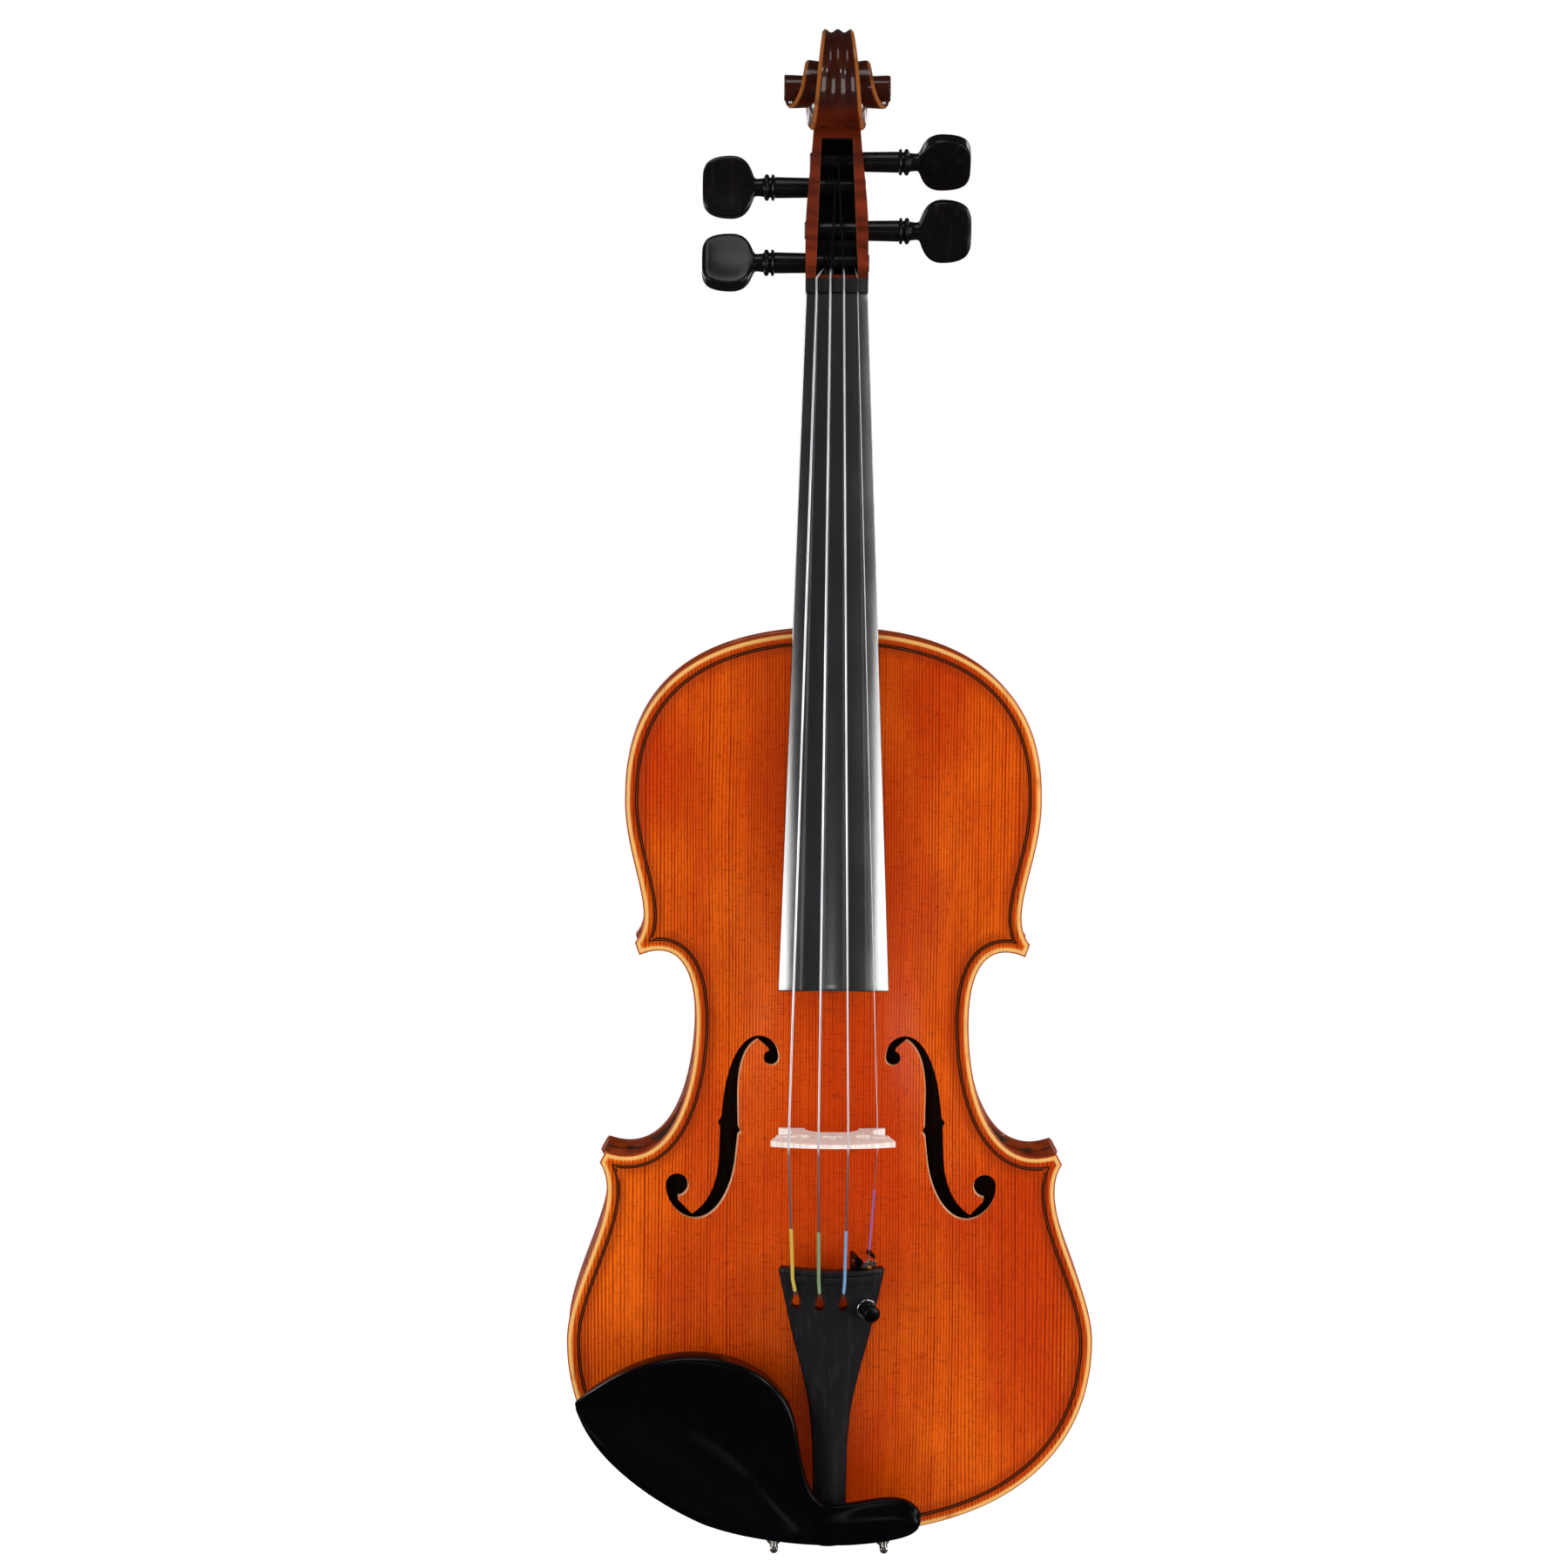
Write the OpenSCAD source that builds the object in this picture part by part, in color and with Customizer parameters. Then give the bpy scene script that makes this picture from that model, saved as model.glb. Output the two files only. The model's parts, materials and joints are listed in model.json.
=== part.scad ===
// Violin with chin rest and fine tuner, strung and upright, with the scroll at the top.
// The belly faces -Y, +Z runs up the strings and +X is the treble side.
// The origin is the point under the scroll where a wall hanger's fork carries the violin.
// Modules work on the bench: x across, y from the bottom edge to the scroll, z out of the belly,
// with z = 0 where the belly meets the ribs. upright() stands the finished piece up.

/* [Body] */
// Length of the belly
body_length = 356; // [346:1:362]
// Widest part of the upper bout
upper_bout = 162.5; // [158:0.5:168]
// Narrowest part between the corners
waist_width = 107; // [103:1:113]
// Widest part of the lower bout
lower_bout = 206.5; // [202:0.5:212]
// Height of the widest part of the upper bout above the bottom edge
upper_bout_y = 292; // [288:1:296]
// Height of the narrowest part above the bottom edge
waist_y = 203; // [200:1:206]
// Height of the widest part of the lower bout above the bottom edge
lower_bout_y = 77; // [74:1:80]
// Distance of the upper corner's tip from the centre line
upper_corner_x = 77.2; // [76:0.2:79]
// Height of the upper corner's tip
upper_corner_y = 233.8; // [232:0.1:236]
// Distance of the lower corner's tip from the centre line
lower_corner_x = 90.7; // [89:0.1:93]
// Height of the lower corner's tip
lower_corner_y = 147.2; // [145:0.1:150]
// Width of a corner's cut end
corner_width = 5.2; // [4.6:0.1:6]
// Height of the ribs
rib_height = 31; // [29:0.5:34]
// Thickness of a rib
rib_thick = 1.2; // [1:0.1:1.6]
// How far the belly reaches past the ribs
overhang = 2.8; // [2.4:0.1:3.2]
// How much further than the belly the back reaches
back_margin = 0.8; // [0.2:0.1:1.2]
// Thickness of both plates at the edge
edge_thick = 3.8; // [3.4:0.1:4.4]
// Rise of the belly's arch above its edge
belly_rise = 12; // [9:0.5:14]
// Rise of the back's arch above its edge
back_rise = 11.5; // [9:0.5:14]
// Thickness of both plates at the middle
plate_thick = 3.2; // [2.6:0.1:3.6]
// Distance of the purfling from the edge
purfling_inset = 4; // [3.6:0.1:4.6]
// Width of the purfling
purfling_width = 1.3; // [1:0.1:1.6]
// Depth of the purfling's groove
purfling_depth = 1.5; // [1:0.1:2]

/* [Inside] */
// Thickness of the linings
lining_thick = 2; // [1.5:0.1:2.5]
// Height of the linings
lining_height = 7.5; // [5:0.5:9]
// Width of the upper and lower blocks
block_width = 54; // [50:1:60]
// Depth of the upper and lower blocks behind the ribs
block_depth = 16; // [14:0.5:18]
// Reach of a corner block from the corner's tip
corner_block = 22; // [18:1:24]
// Length of the bass bar
bar_length = 270; // [255:1:276]
// Width of the bass bar
bar_width = 5.5; // [4.5:0.5:7]
// Height of the bass bar under the bridge
bar_height = 10.5; // [8:0.5:12]
// Diameter of the soundpost
post_diameter = 6; // [5:0.5:6.5]

/* [Neck] */
// Length of the neck from the body's edge to the nut
neck_length = 130; // [126:1:134]
// Width of the neck at the nut
nut_width = 24; // [23:0.5:25]
// Length of the nut along the strings
nut_length = 5.5; // [4.5:0.5:6.5]
// Length of the fingerboard
board_length = 270; // [262:1:274]
// Width of the fingerboard at its free end
board_width = 42.5; // [41:0.5:44]
// Thickness of the fingerboard at its sides
board_edge = 5; // [4.4:0.2:5.6]
// Radius of the fingerboard's camber
camber_radius = 42; // [40:1:48]
// Angle that the neck leans back
neck_angle = 6.3; // [5.8:0.1:6.8]
// Height of the neck's glued face above the ribs at the body's edge
neck_rise = 10.1; // [9:0.1:11.5]
// Thickness of the neck under the fingerboard at the nut
neck_depth = 12.5; // [11.5:0.5:14]
// Width across the scroll's eyes
scroll_width = 41.7; // [38:0.1:44]
// Reach of the scroll's outer turn above its eye
scroll_radius = 23.5; // [22.5:0.1:24.5]
// Wall of the pegbox at the nut
cheek = 4.9; // [4.4:0.1:5.4]

/* [Strings] */
// Height of the bridge's middle over the bottom edge, between the notches of the sound holes
bridge_y = 161; // [159:0.5:163]
// Height of the bridge above the belly
bridge_height = 33.4; // [31:0.2:35]
// Width across the bridge's feet
bridge_width = 41.4; // [39:0.2:43]
// Thickness of the bridge at its feet
bridge_foot_thick = 4.4; // [4:0.1:5]
// Thickness of the bridge at the strings
bridge_top_thick = 1.5; // [1.2:0.1:2]
// Spread of the outer strings at the nut
nut_spread = 16; // [15:0.5:17]
// Spread of the outer strings at the bridge
bridge_spread = 34; // [32:0.5:35]
// Diameters of the G, D, A and E strings
string_diameters = [0.84, 0.8, 0.7, 0.3]; // [0.26:0.02:0.9]
// Turns of string on each peg
string_turns = 3; // [2:1:4]

/* [Pegs] */
// Radius of the pegs at the outside of the near cheek
peg_radius = 3.9; // [3.6:0.1:4.1]
// Loss of radius per millimetre of peg
peg_taper = 0.0166; // [0.012:0.001:0.02]
// Length of a peg's thumb piece
peg_head_length = 20.5; // [18:0.5:23]
// Width of a peg's thumb piece
peg_head_width = 24.5; // [20:0.5:25]
// Thickness of a peg's thumb piece
peg_head_thick = 8; // [7:0.5:10]
// Distance of a thumb piece's outer end from the centre line
peg_reach = 52.5; // [50:0.5:55]
// Running clearance round every turning shaft
running = 0.05; // [0.02:0.01:0.08]

/* [Tailpiece] */
// Length of the tailpiece
tail_length = 105; // [100:1:107]
// Width of the tailpiece at its upper end
tail_width = 41.3; // [39:0.5:43]
// Height of the tailpiece's foot over the bottom edge
tail_foot = 6.5; // [6:0.5:9]
// Thickness of the tailpiece
tail_thick = 4.6; // [4:0.1:5.2]
// Diameter of the tailgut
gut_diameter = 1.8; // [1.4:0.1:2.2]
// Width of the saddle
saddle_width = 35; // [31:0.5:37]
// Radius of the end button's knob
button_radius = 7; // [6:0.1:8]
// Length of the end button's knob along its axis
button_knob = 3.5; // [3:0.5:6]

/* [Chin rest] */
// Height of the chin rest's rim above the ribs
rest_height = 31; // [29:0.5:34]
// Depth of the hollow for the chin
rest_dish = 9; // [6:0.5:10]
// Distance of each clamp leg from the centre line
leg_x = 21.5; // [20.5:0.5:24]
// Radius of the clamp's rods
rod_radius = 1.6; // [1.3:0.1:1.9]
// Radius of the clamp's barrels
barrel_radius = 3; // [2.6:0.1:3.4]
// Thickness of the cork pads
cork = 2; // [1.5:0.1:2.5]

/* [Hidden] */
$fn = 48;

spruce = "#c8501e";
maple = "#9c3514";
bare_maple = "#d9b79a";
ebony = "#1c1b1d";
steel = "#c9c9cc";
cork_brown = "#b58a5c";

// Small numbers that many pieces share
far = 200;
skin = 0.02;
seat_gap = 0.05;

upper_half = upper_bout / 2;
waist_half = waist_width / 2;
lower_half = lower_bout / 2;

// Curves

// Points of a cubic curve from a to d with handles b and c, without its last point
function curve(a, b, c, d, steps) = [for (i = [0:steps - 1]) let (t = i / steps, s = 1 - t)
    s * s * s * a + 3 * s * s * t * b + 3 * s * t * t * c + t * t * t * d];
function unit(v) = v / norm(v);
function mirrored(points) = [for (p = points) [-p.x, p.y]];
function reversed(list) = [for (i = [len(list) - 1:-1:0]) list[i]];
function between(a, b, t) = a + (b - a) * t;
function to_square(t) = t * t;

// Outline of the belly's treble half, from the top of the centre line to its bottom
upper_tip = [upper_corner_x, upper_corner_y];
upper_tip_lean = 19.5;
upper_inner_tip = upper_tip - corner_width * [sin(upper_tip_lean), cos(upper_tip_lean)];
lower_tip = [lower_corner_x, lower_corner_y];
lower_tip_lean = 27.5;
lower_inner_tip = lower_tip + corner_width * [-sin(lower_tip_lean), cos(lower_tip_lean)];
upper_flare = [-9.8, 11.7];
upper_hook = [-12.9, 5.5];
lower_hook = [-25.8, -9];
lower_flare = [-10.8, -16.2];
bout_steps = 9;
flank_steps = 7;
hook_steps = 6;

half_outline = concat(
    curve([0, body_length], [upper_half * 0.667, body_length],
        [upper_half, between(upper_bout_y, body_length, 0.636)], [upper_half, upper_bout_y], bout_steps),
    curve([upper_half, upper_bout_y], [upper_half + 1, between(upper_bout_y, upper_tip.y, 0.423)],
        upper_tip + upper_flare, upper_tip, flank_steps),
    [upper_tip],
    curve(upper_inner_tip, upper_inner_tip + upper_hook,
        [waist_half, between(waist_y, upper_inner_tip.y, 0.946)], [waist_half, waist_y], hook_steps),
    curve([waist_half, waist_y], [waist_half, between(waist_y, lower_inner_tip.y, 0.525)],
        lower_inner_tip + lower_hook, lower_inner_tip, flank_steps),
    [lower_inner_tip],
    curve(lower_tip, lower_tip + lower_flare,
        [lower_half, between(lower_bout_y, lower_tip.y, 0.328)], [lower_half, lower_bout_y], flank_steps),
    curve([lower_half, lower_bout_y], [lower_half, lower_bout_y * 0.4],
        [lower_half * 0.653, 0], [0, 0], bout_steps),
    [[0, 0]]);
last = len(half_outline) - 1;
ring = 2 * last;

// Where the surface of a plate runs in from each outline point to the centre line
upper_tip_index = bout_steps + flank_steps;
waist_index = upper_tip_index + 1 + hook_steps;
lower_tip_index = waist_index + flank_steps;
lower_bout_index = lower_tip_index + 1 + flank_steps;
spine_table = [[0, body_length - 44], [bout_steps, upper_bout_y - 4],
    [upper_tip_index, upper_corner_y + 31], [upper_tip_index + 1, upper_corner_y + 27],
    [waist_index, waist_y], [lower_tip_index, lower_corner_y - 33],
    [lower_tip_index + 1, lower_corner_y - 37], [lower_bout_index, lower_bout_y + 7], [last, 60]];
function spine(i) = [0, lookup(i, spine_table)];

// Outline point i moved outwards by margin
function edge_normal(i) = i == 0 ? [0, 1] : i == last ? [0, -1] :
    let (t = unit(half_outline[i + 1] - half_outline[i - 1])) [-t.y, t.x];
function edge_point(i, margin) = half_outline[i] + margin * edge_normal(i);
// Point on the way from the edge to the centre line: d millimetres, then the share g of the rest
function way_in(i, margin, d, g) = let (from = edge_point(i, margin), to = spine(i),
    share = d / norm(to - from)) between(from, to, share + g * (1 - share));

module outline(margin = 0) {
    half = [for (i = [0:last]) edge_point(i, margin)];
    polygon(concat(half, reversed(mirrored([for (i = [1:last - 1]) half[i]]))));
}
module rib_line(inset) offset(delta = -overhang - inset) outline();

// Arching of the plates

// Half width of the arched field at height y
bout_power = 2.2;
function wave(t) = 0.5 + 0.5 * cos(180 * t);
function shoulder(t) = pow(1 - pow(t, bout_power), 1 / bout_power);
function reach(y, inset, end) =
    y <= end || y >= body_length - end ? 0 :
    y < lower_bout_y ? (lower_half - inset) * shoulder((lower_bout_y - y) / (lower_bout_y - end)) :
    y < waist_y ? between(waist_half, lower_half, wave((y - lower_bout_y) / (waist_y - lower_bout_y)))
        - inset :
    y < upper_bout_y ? between(upper_half, waist_half, wave((y - waist_y) / (upper_bout_y - waist_y)))
        - inset :
    (upper_half - inset) * shoulder((y - upper_bout_y) / (body_length - end - upper_bout_y));
// Height of the arch: a full wave across and a flatter one along
cross_power = 1.25;
long_power = 2.4;
function arch(x, y, rise, inset, end) =
    let (w = reach(y, inset, end), t = abs(2 * y - body_length) / (body_length - 2 * end))
    w <= 0 || abs(x) >= w ? 0 : rise * wave(pow(t, long_power)) * wave(pow(abs(x) / w, cross_power));
outer_flat = 8;
inner_flat = 11;
end_flat = overhang + rib_thick + block_depth + 2;
function outer_z(x, y, rise) = edge_thick + arch(x, y, rise, outer_flat, outer_flat);
function inner_z(x, y, rise) = arch(x, y, rise + edge_thick - plate_thick, inner_flat, end_flat);
function belly_z(x, y) = outer_z(x, y, belly_rise);
function ceiling_z(x, y) = inner_z(x, y, belly_rise);
function floor_z(x, y) = -rib_height - inner_z(x, y, back_rise);

// Rows of a plate from the middle of its outside, over the edge, to the middle of its inside
edge_round = 0.8;
outer_shares = [0.8, 0.62, 0.45, 0.3, 0.18, 0.08];
inner_shares = [0.1, 0.25, 0.45, 0.7];
platform = 6;
lining_flat = 9;
function outer_row(margin, rise, d, g) = [for (i = [0:last]) let (p = way_in(i, margin, d, g))
    [p.x, p.y, outer_z(p.x, p.y, rise)]];
function inner_row(margin, rise, d, g) = [for (i = [0:last]) let (p = way_in(i, margin, d, g))
    [p.x, p.y, inner_z(p.x, p.y, rise)]];
function edge_row(margin, d, z) = [for (i = [0:last]) let (p = way_in(i, margin, d, 0)) [p.x, p.y, z]];
function plate_rows(margin, rise) = concat(
    [for (g = outer_shares) outer_row(margin, rise, platform, g)],
    [outer_row(margin, rise, platform, 0), edge_row(margin, edge_round, edge_thick),
        edge_row(margin, 0, edge_thick / 2), edge_row(margin, edge_round, 0),
        edge_row(margin, lining_flat, 0)],
    [for (g = inner_shares) inner_row(margin, rise, lining_flat, g)]);
// Both halves of a row, as one closed ring
function whole_ring(half) = concat(half, [for (i = [last - 1:-1:1]) [-half[i].x, half[i].y, half[i].z]]);

// Two triangles between neighbouring points of two rows
function quad(a, b, c, d) = [[a, b, c], [a, c, d]];
function flat_list(lists) = [for (list = lists) for (item = list) item];

module plate(margin, rise) {
    rows = [for (row = plate_rows(margin, rise)) whole_ring(row)];
    outside = [for (i = [0:last]) let (p = spine(i)) [p.x, p.y, outer_z(p.x, p.y, rise)]];
    inside = [for (i = [0:last]) let (p = spine(i)) [p.x, p.y, inner_z(p.x, p.y, rise)]];
    first = last + 1;
    count = len(rows);
    function on_spine(i) = i <= last ? i : ring - i;
    function at(r, i) = r < 0 ? on_spine(i % ring) :
        r == count ? first + count * ring + on_spine(i % ring) : first + r * ring + i % ring;
    polyhedron(concat(outside, flat_list(rows), inside),
        flat_list([for (r = [-1:count - 1]) for (i = [0:ring - 1])
            quad(at(r, i), at(r, i + 1), at(r + 1, i + 1), at(r + 1, i))]));
}
module purfling_ring(margin, depth) linear_extrude(depth) difference() {
    offset(delta = -purfling_inset) outline(margin);
    offset(delta = -purfling_inset - purfling_width) outline(margin);
}

// Sound hole on the treble side

upper_eye = [23.7, 190];
upper_eye_radius = 2.9;
lower_eye = [59.5, 139];
lower_eye_radius = 4.4;
upper_wing = [28.5, 196.9];
lower_wing = [54, 128.1];
stem_steps = 4;
module sound_hole() {
    translate(upper_eye) circle(upper_eye_radius);
    translate(lower_eye) circle(lower_eye_radius);
    polygon(concat(
        curve(upper_eye - [upper_eye_radius, 0], [20.8, 195.5], [24.5, 198.4], [28.1, 198.4], stem_steps),
        curve([28.1, 198.4], [34.5, 198.3], [40, 188], [41.9, 174.8], stem_steps),
        [[43, 166], [44.3, 164], [43.4, 162.4]],
        curve([43.9, 151], [44.4, 141], [47.5, 132.5], lower_wing, stem_steps),
        [lower_wing, [58.8, 132.8], lower_eye],
        curve(lower_eye + [lower_eye_radius, 0], [63.9, 132], [58.5, 126], [52.6, 126.2], stem_steps),
        curve([52.6, 126.2], [44, 126.4], [38, 139], [36.8, 151], stem_steps),
        [[36.8, 151], [35.9, 159.2], [34.8, 160.6], [35.7, 162.4]],
        curve([35.8, 174.8], [35.7, 186], [33.5, 194], upper_wing, stem_steps),
        [upper_wing, [24.9, 193.8], upper_eye]));
}
module sound_holes() for (side = [0, 1]) mirror([side, 0, 0]) translate([0, 0, -1])
    linear_extrude(far) sound_hole();

// Lofts and tubes

// Solid through a list of sections, each with the same number of points. The two ends are closed by strips
// between points that face each other, so a section runs out along one side and back along the other.
function end_strip(n) = flat_list([for (i = [0:floor(n / 2) - 1])
    i == n - 2 - i ? [] : i + 1 == n - 2 - i ? [[i, i + 1, n - 1 - i]] :
    [[i, i + 1, n - 1 - i], [i + 1, n - 2 - i, n - 1 - i]]]);
module loft(sections) {
    n = len(sections[0]);
    count = len(sections);
    ends = end_strip(n);
    polyhedron(flat_list(sections), concat([for (f = ends) reversed(f)],
        [for (f = ends) [for (i = f) (count - 1) * n + i]],
        flat_list([for (s = [0:count - 2]) for (i = [0:n - 1]) let (j = (i + 1) % n)
            quad(s * n + i, s * n + j, (s + 1) * n + j, (s + 1) * n + i)])));
}
function heading(path, i) = unit(path[min(i + 1, len(path) - 1)] - path[max(i - 1, 0)]);
// Rings of a round tube along a path, with their corners set out from the direction aside
function tube_rings(path, radius, sides, aside) = [for (i = [0:len(path) - 1])
    let (t = heading(path, i), u = unit(aside - (aside * t) * t), v = cross(t, u))
    [for (k = [0:sides - 1]) path[i] + radius * (cos(360 * k / sides) * u + sin(360 * k / sides) * v)]];
module tube(path, radius, sides, aside) loft(tube_rings(path, radius, sides, aside));
// Hollow sleeve from one point to another
module sleeve(from, to, outer, bore) {
    v = to - from;
    translate(from) rotate([0, acos(v.z / norm(v)), atan2(v.y, v.x)]) difference() {
        cylinder(h = norm(v), r = outer);
        translate([0, 0, -1]) cylinder(h = norm(v) + 2, r = bore);
    }
}

// Neck frame: y is the distance p from the nut's front edge towards the scroll, z is w above the glued face

neck_drop = tan(neck_angle);
nut_y = body_length + neck_length;
glue_z = neck_rise - neck_length * neck_drop;
module neck_frame() translate([0, nut_y, glue_z]) rotate([-neck_angle, 0, 0]) children();
function on_neck(q) = [q.x, nut_y + q.y * cos(neck_angle) + q.z * sin(neck_angle),
    glue_z - q.y * sin(neck_angle) + q.z * cos(neck_angle)];
function sagitta(radius, half) = radius - sqrt(radius * radius - half * half);
nut_sag = sagitta(camber_radius, nut_width / 2);
end_sag = sagitta(camber_radius, board_width / 2);
board_top = board_edge + nut_sag;
board_slope = atan((end_sag - nut_sag) / board_length);
function board_half(p) = between(nut_width, board_width, -p / board_length) / 2;
root_p = -neck_length / cos(neck_angle);
root_half = board_half(root_p);

// Scroll and pegbox

eye_p = 83;
eye_w = -9;
turn_steps = 20;
turns = 2.25;
steps = turn_steps * turns;
turn_ratio = 0.48;
back_radius = scroll_radius - 1.5;
crest_half = 6.2;
back_half = 8.3;
eye_radius = 5;
eye_core = 3.5;
flute_depth = 1.3;
flute_points = 8;
function turn_angle(j) = 360 * j / turn_steps;
function spiral(j) = let (a = turn_angle(j)) a < 90 ? between(back_radius, scroll_radius, a / 90) :
    scroll_radius * pow(turn_ratio, (a - 90) / 360);
function spiral_half(j) = let (a = turn_angle(j)) a < 90 ? between(back_half, crest_half, a / 90) :
    between(crest_half, scroll_width / 2, (a - 90) / (360 * turns - 90));
function on_scroll(j, r, x) = let (a = turn_angle(j)) [x, eye_p + r * sin(a), eye_w - r * cos(a)];
function flute(s) = flute_depth * to_square(sin(180 * s));

module volute() {
    wide = flute_points + 1;
    outer = [for (j = [0:turn_steps - 1]) for (k = [0:flute_points]) let (s = 2 * k / flute_points - 1)
        on_scroll(j, spiral(j) - flute(s), s * spiral_half(j))];
    inner = [for (j = [turn_steps:steps]) for (s = [-1, 1]) on_scroll(j, spiral(j), s * spiral_half(j))];
    foot = [for (j = [turn_steps:steps]) for (s = [-1, 1])
        on_scroll(j, spiral(j), s * spiral_half(j - turn_steps))];
    core = [for (j = [steps - turn_steps:steps]) for (s = [-1, 1])
        on_scroll(j, eye_core, s * spiral_half(j))];
    inner_at = len(outer);
    foot_at = inner_at + len(inner);
    core_at = foot_at + len(foot);
    function edge(j, s) = j < turn_steps ? j * wide + s * flute_points : inner_at + 2 * (j - turn_steps)
        + s;
    function base(j, s) = foot_at + 2 * (j - turn_steps) + s;
    function hub(j, s) = core_at + 2 * (j - steps + turn_steps) + s;
    function flip(s, faces) = s == 0 ? faces : [for (f = faces) reversed(f)];
    split = steps - turn_steps;
    half_flute = flute_points / 2;
    rim = flat_list([for (j = [0:turn_steps - 2]) for (k = [0:flute_points - 1])
        let (a = j * wide + k) quad(a, a + 1, a + wide + 1, a + wide)]);
    // Where the first turn closes, its rim narrows to the face that starts the scroll
    end_row = (turn_steps - 1) * wide;
    seam = concat(
        [for (k = [1:half_flute - 1]) [end_row + k, end_row + k + 1, base(turn_steps, 0)]],
        [for (k = [half_flute:flute_points - 2]) [end_row + k, end_row + k + 1, base(turn_steps, 1)]],
        [[end_row + half_flute, base(turn_steps, 1), base(turn_steps, 0)],
            [end_row, end_row + 1, edge(turn_steps, 0)], [end_row + 1, base(turn_steps, 0),
                edge(turn_steps, 0)],
            [end_row + flute_points - 1, end_row + flute_points, edge(turn_steps, 1)],
            [end_row + flute_points - 1, edge(turn_steps, 1), base(turn_steps, 1)]]);
    start = concat(
        [for (k = [0:half_flute - 1]) [k + 1, k, base(turn_steps, 0)]],
        [for (k = [half_flute:flute_points - 1]) [k + 1, k, base(turn_steps, 1)]],
        [[half_flute, base(turn_steps, 0), base(turn_steps, 1)]]);
    // The walls that show each inner turn rise from the face of the turn outside it
    walls = flat_list([for (s = [0, 1]) for (j = [turn_steps:steps - 1])
        flip(s, quad(edge(j, s), base(j, s), base(j + 1, s), edge(j + 1, s)))]);
    faces = flat_list([for (s = [0, 1]) for (j = [0:split - 1])
        flip(s, quad(base(j + turn_steps, s), edge(j, s), edge(j + 1, s), base(j + 1 + turn_steps, s)))]);
    eye_start = flat_list([for (s = [0, 1]) flip(s, [[base(steps, s), edge(split, s), edge(split + 1, s)],
        [base(steps, s), edge(split + 1, s), hub(split + 1, s)], [base(steps, s), hub(split + 1, s),
            hub(split, s)]])]);
    eye_faces = flat_list([for (s = [0, 1]) for (j = [split + 1:steps - 1])
        flip(s, quad(hub(j, s), edge(j, s), edge(j + 1, s), hub(j + 1, s)))]);
    eye_end = flat_list([for (s = [0, 1])
        flip(s, quad(edge(steps, s), base(steps, s), hub(split, s), hub(steps, s)))]);
    tunnel = flat_list([for (j = [split:steps - 2])
        quad(hub(j, 1), hub(j, 0), hub(j + 1, 0), hub(j + 1, 1))]);
    tunnel_end = [[hub(steps - 1, 0), hub(steps, 0), hub(split, 0)], [hub(steps - 1, 0), hub(split, 0),
        hub(split, 1)],
        [hub(steps - 1, 0), hub(split, 1), hub(steps - 1, 1)], [hub(steps - 1, 1), hub(split, 1),
            hub(steps, 1)]];
    polyhedron(concat(outer, inner, foot, core),
        concat(rim, seam, start, walls, faces, eye_start, eye_faces, eye_end, tunnel, tunnel_end));
    translate([0, eye_p, eye_w]) rotate([0, 90, 0]) cylinder(h = scroll_width, r = eye_radius,
        center = true);
}

// Sections of the pegbox: distance p, height of its front edge, height of its back and half width
throat_p = 64.5;
throat_w = -8.4;
throat_half = 9.4;
box_front = 4.2;
box_back = [[3, -14], [8, -19.5], [14, -22.4], [24, -22.8], [36, -22.3], [48, -23], [58, -25.2],
    [66, -27.6], [74, -29.6], [84, -30.4]];
function front_w(p) = between(box_front, throat_w, min(p, 70) / throat_p);
function box_half(p) = p < 25 ? nut_width / 2 + 0.2 :
    p < throat_p ? between(nut_width / 2 + 0.2, throat_half, (p - 25) / (throat_p - 25)) :
    between(throat_half, back_half - 0.5, (p - throat_p) / (84 - throat_p));
function box_section(q) = let (p = q[0], h = box_half(p)) concat(
    [for (k = [0:flute_points]) [(2 * k / flute_points - 1) * h, p, front_w(p)]],
    [for (k = [flute_points:-1:0]) let (s = 2 * k / flute_points - 1)
        [s * h, p, q[1] + flute(s) * min(1, p / 24)]]);
module pegbox_block() loft([for (q = box_back) reversed(box_section(q))]);

// Hollow of the pegbox, open at the front
hollow_start = nut_length + 2;
hollow_end = 62;
hollow_floor = -16.5;
hollow_end_floor = -20.2;
hollow_end_half = 4.9;
module pegbox_hollow() intersection() {
    h = nut_width / 2 - cheek;
    linear_extrude(far, center = true)
        polygon([[-h, hollow_start], [h, hollow_start], [hollow_end_half, hollow_end],
            [-hollow_end_half, hollow_end]]);
    rotate([90, 0, 90]) linear_extrude(far, center = true)
        polygon([[hollow_start, hollow_floor], [hollow_end, hollow_end_floor], [hollow_end, far],
            [hollow_start, far]]);
}

// Pegs: name order G, D, A, E; distance p along the pegbox, height w, side and turn of the thumb piece
peg_p = [13.6, 44.3, 55.2, 26.9];
peg_w = [-6, -11.5, -14, -8.5];
peg_side = [-1, -1, 1, 1];
peg_turn = [25, 4, 50, 25];
peg_tip = 0.5;
// Local frame of peg i: z runs from the centre line towards the thumb piece
module peg_frame(i) neck_frame() translate([0, peg_p[i], peg_w[i]]) rotate([0, 90 * peg_side[i],
    0]) children();
function peg_radius_at(z) = peg_radius - peg_taper * (nut_width / 2 - z);
function peg_end(i) = -box_half(peg_p[i]) - peg_tip;
module peg_bore(i) peg_frame(i) translate([0, 0, peg_end(i) - 2])
    cylinder(h = far / 4, r1 = peg_radius_at(peg_end(i) - 2) + running, r2 = peg_radius_at(peg_end(i) - 2
        + far / 4) + running);

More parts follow.
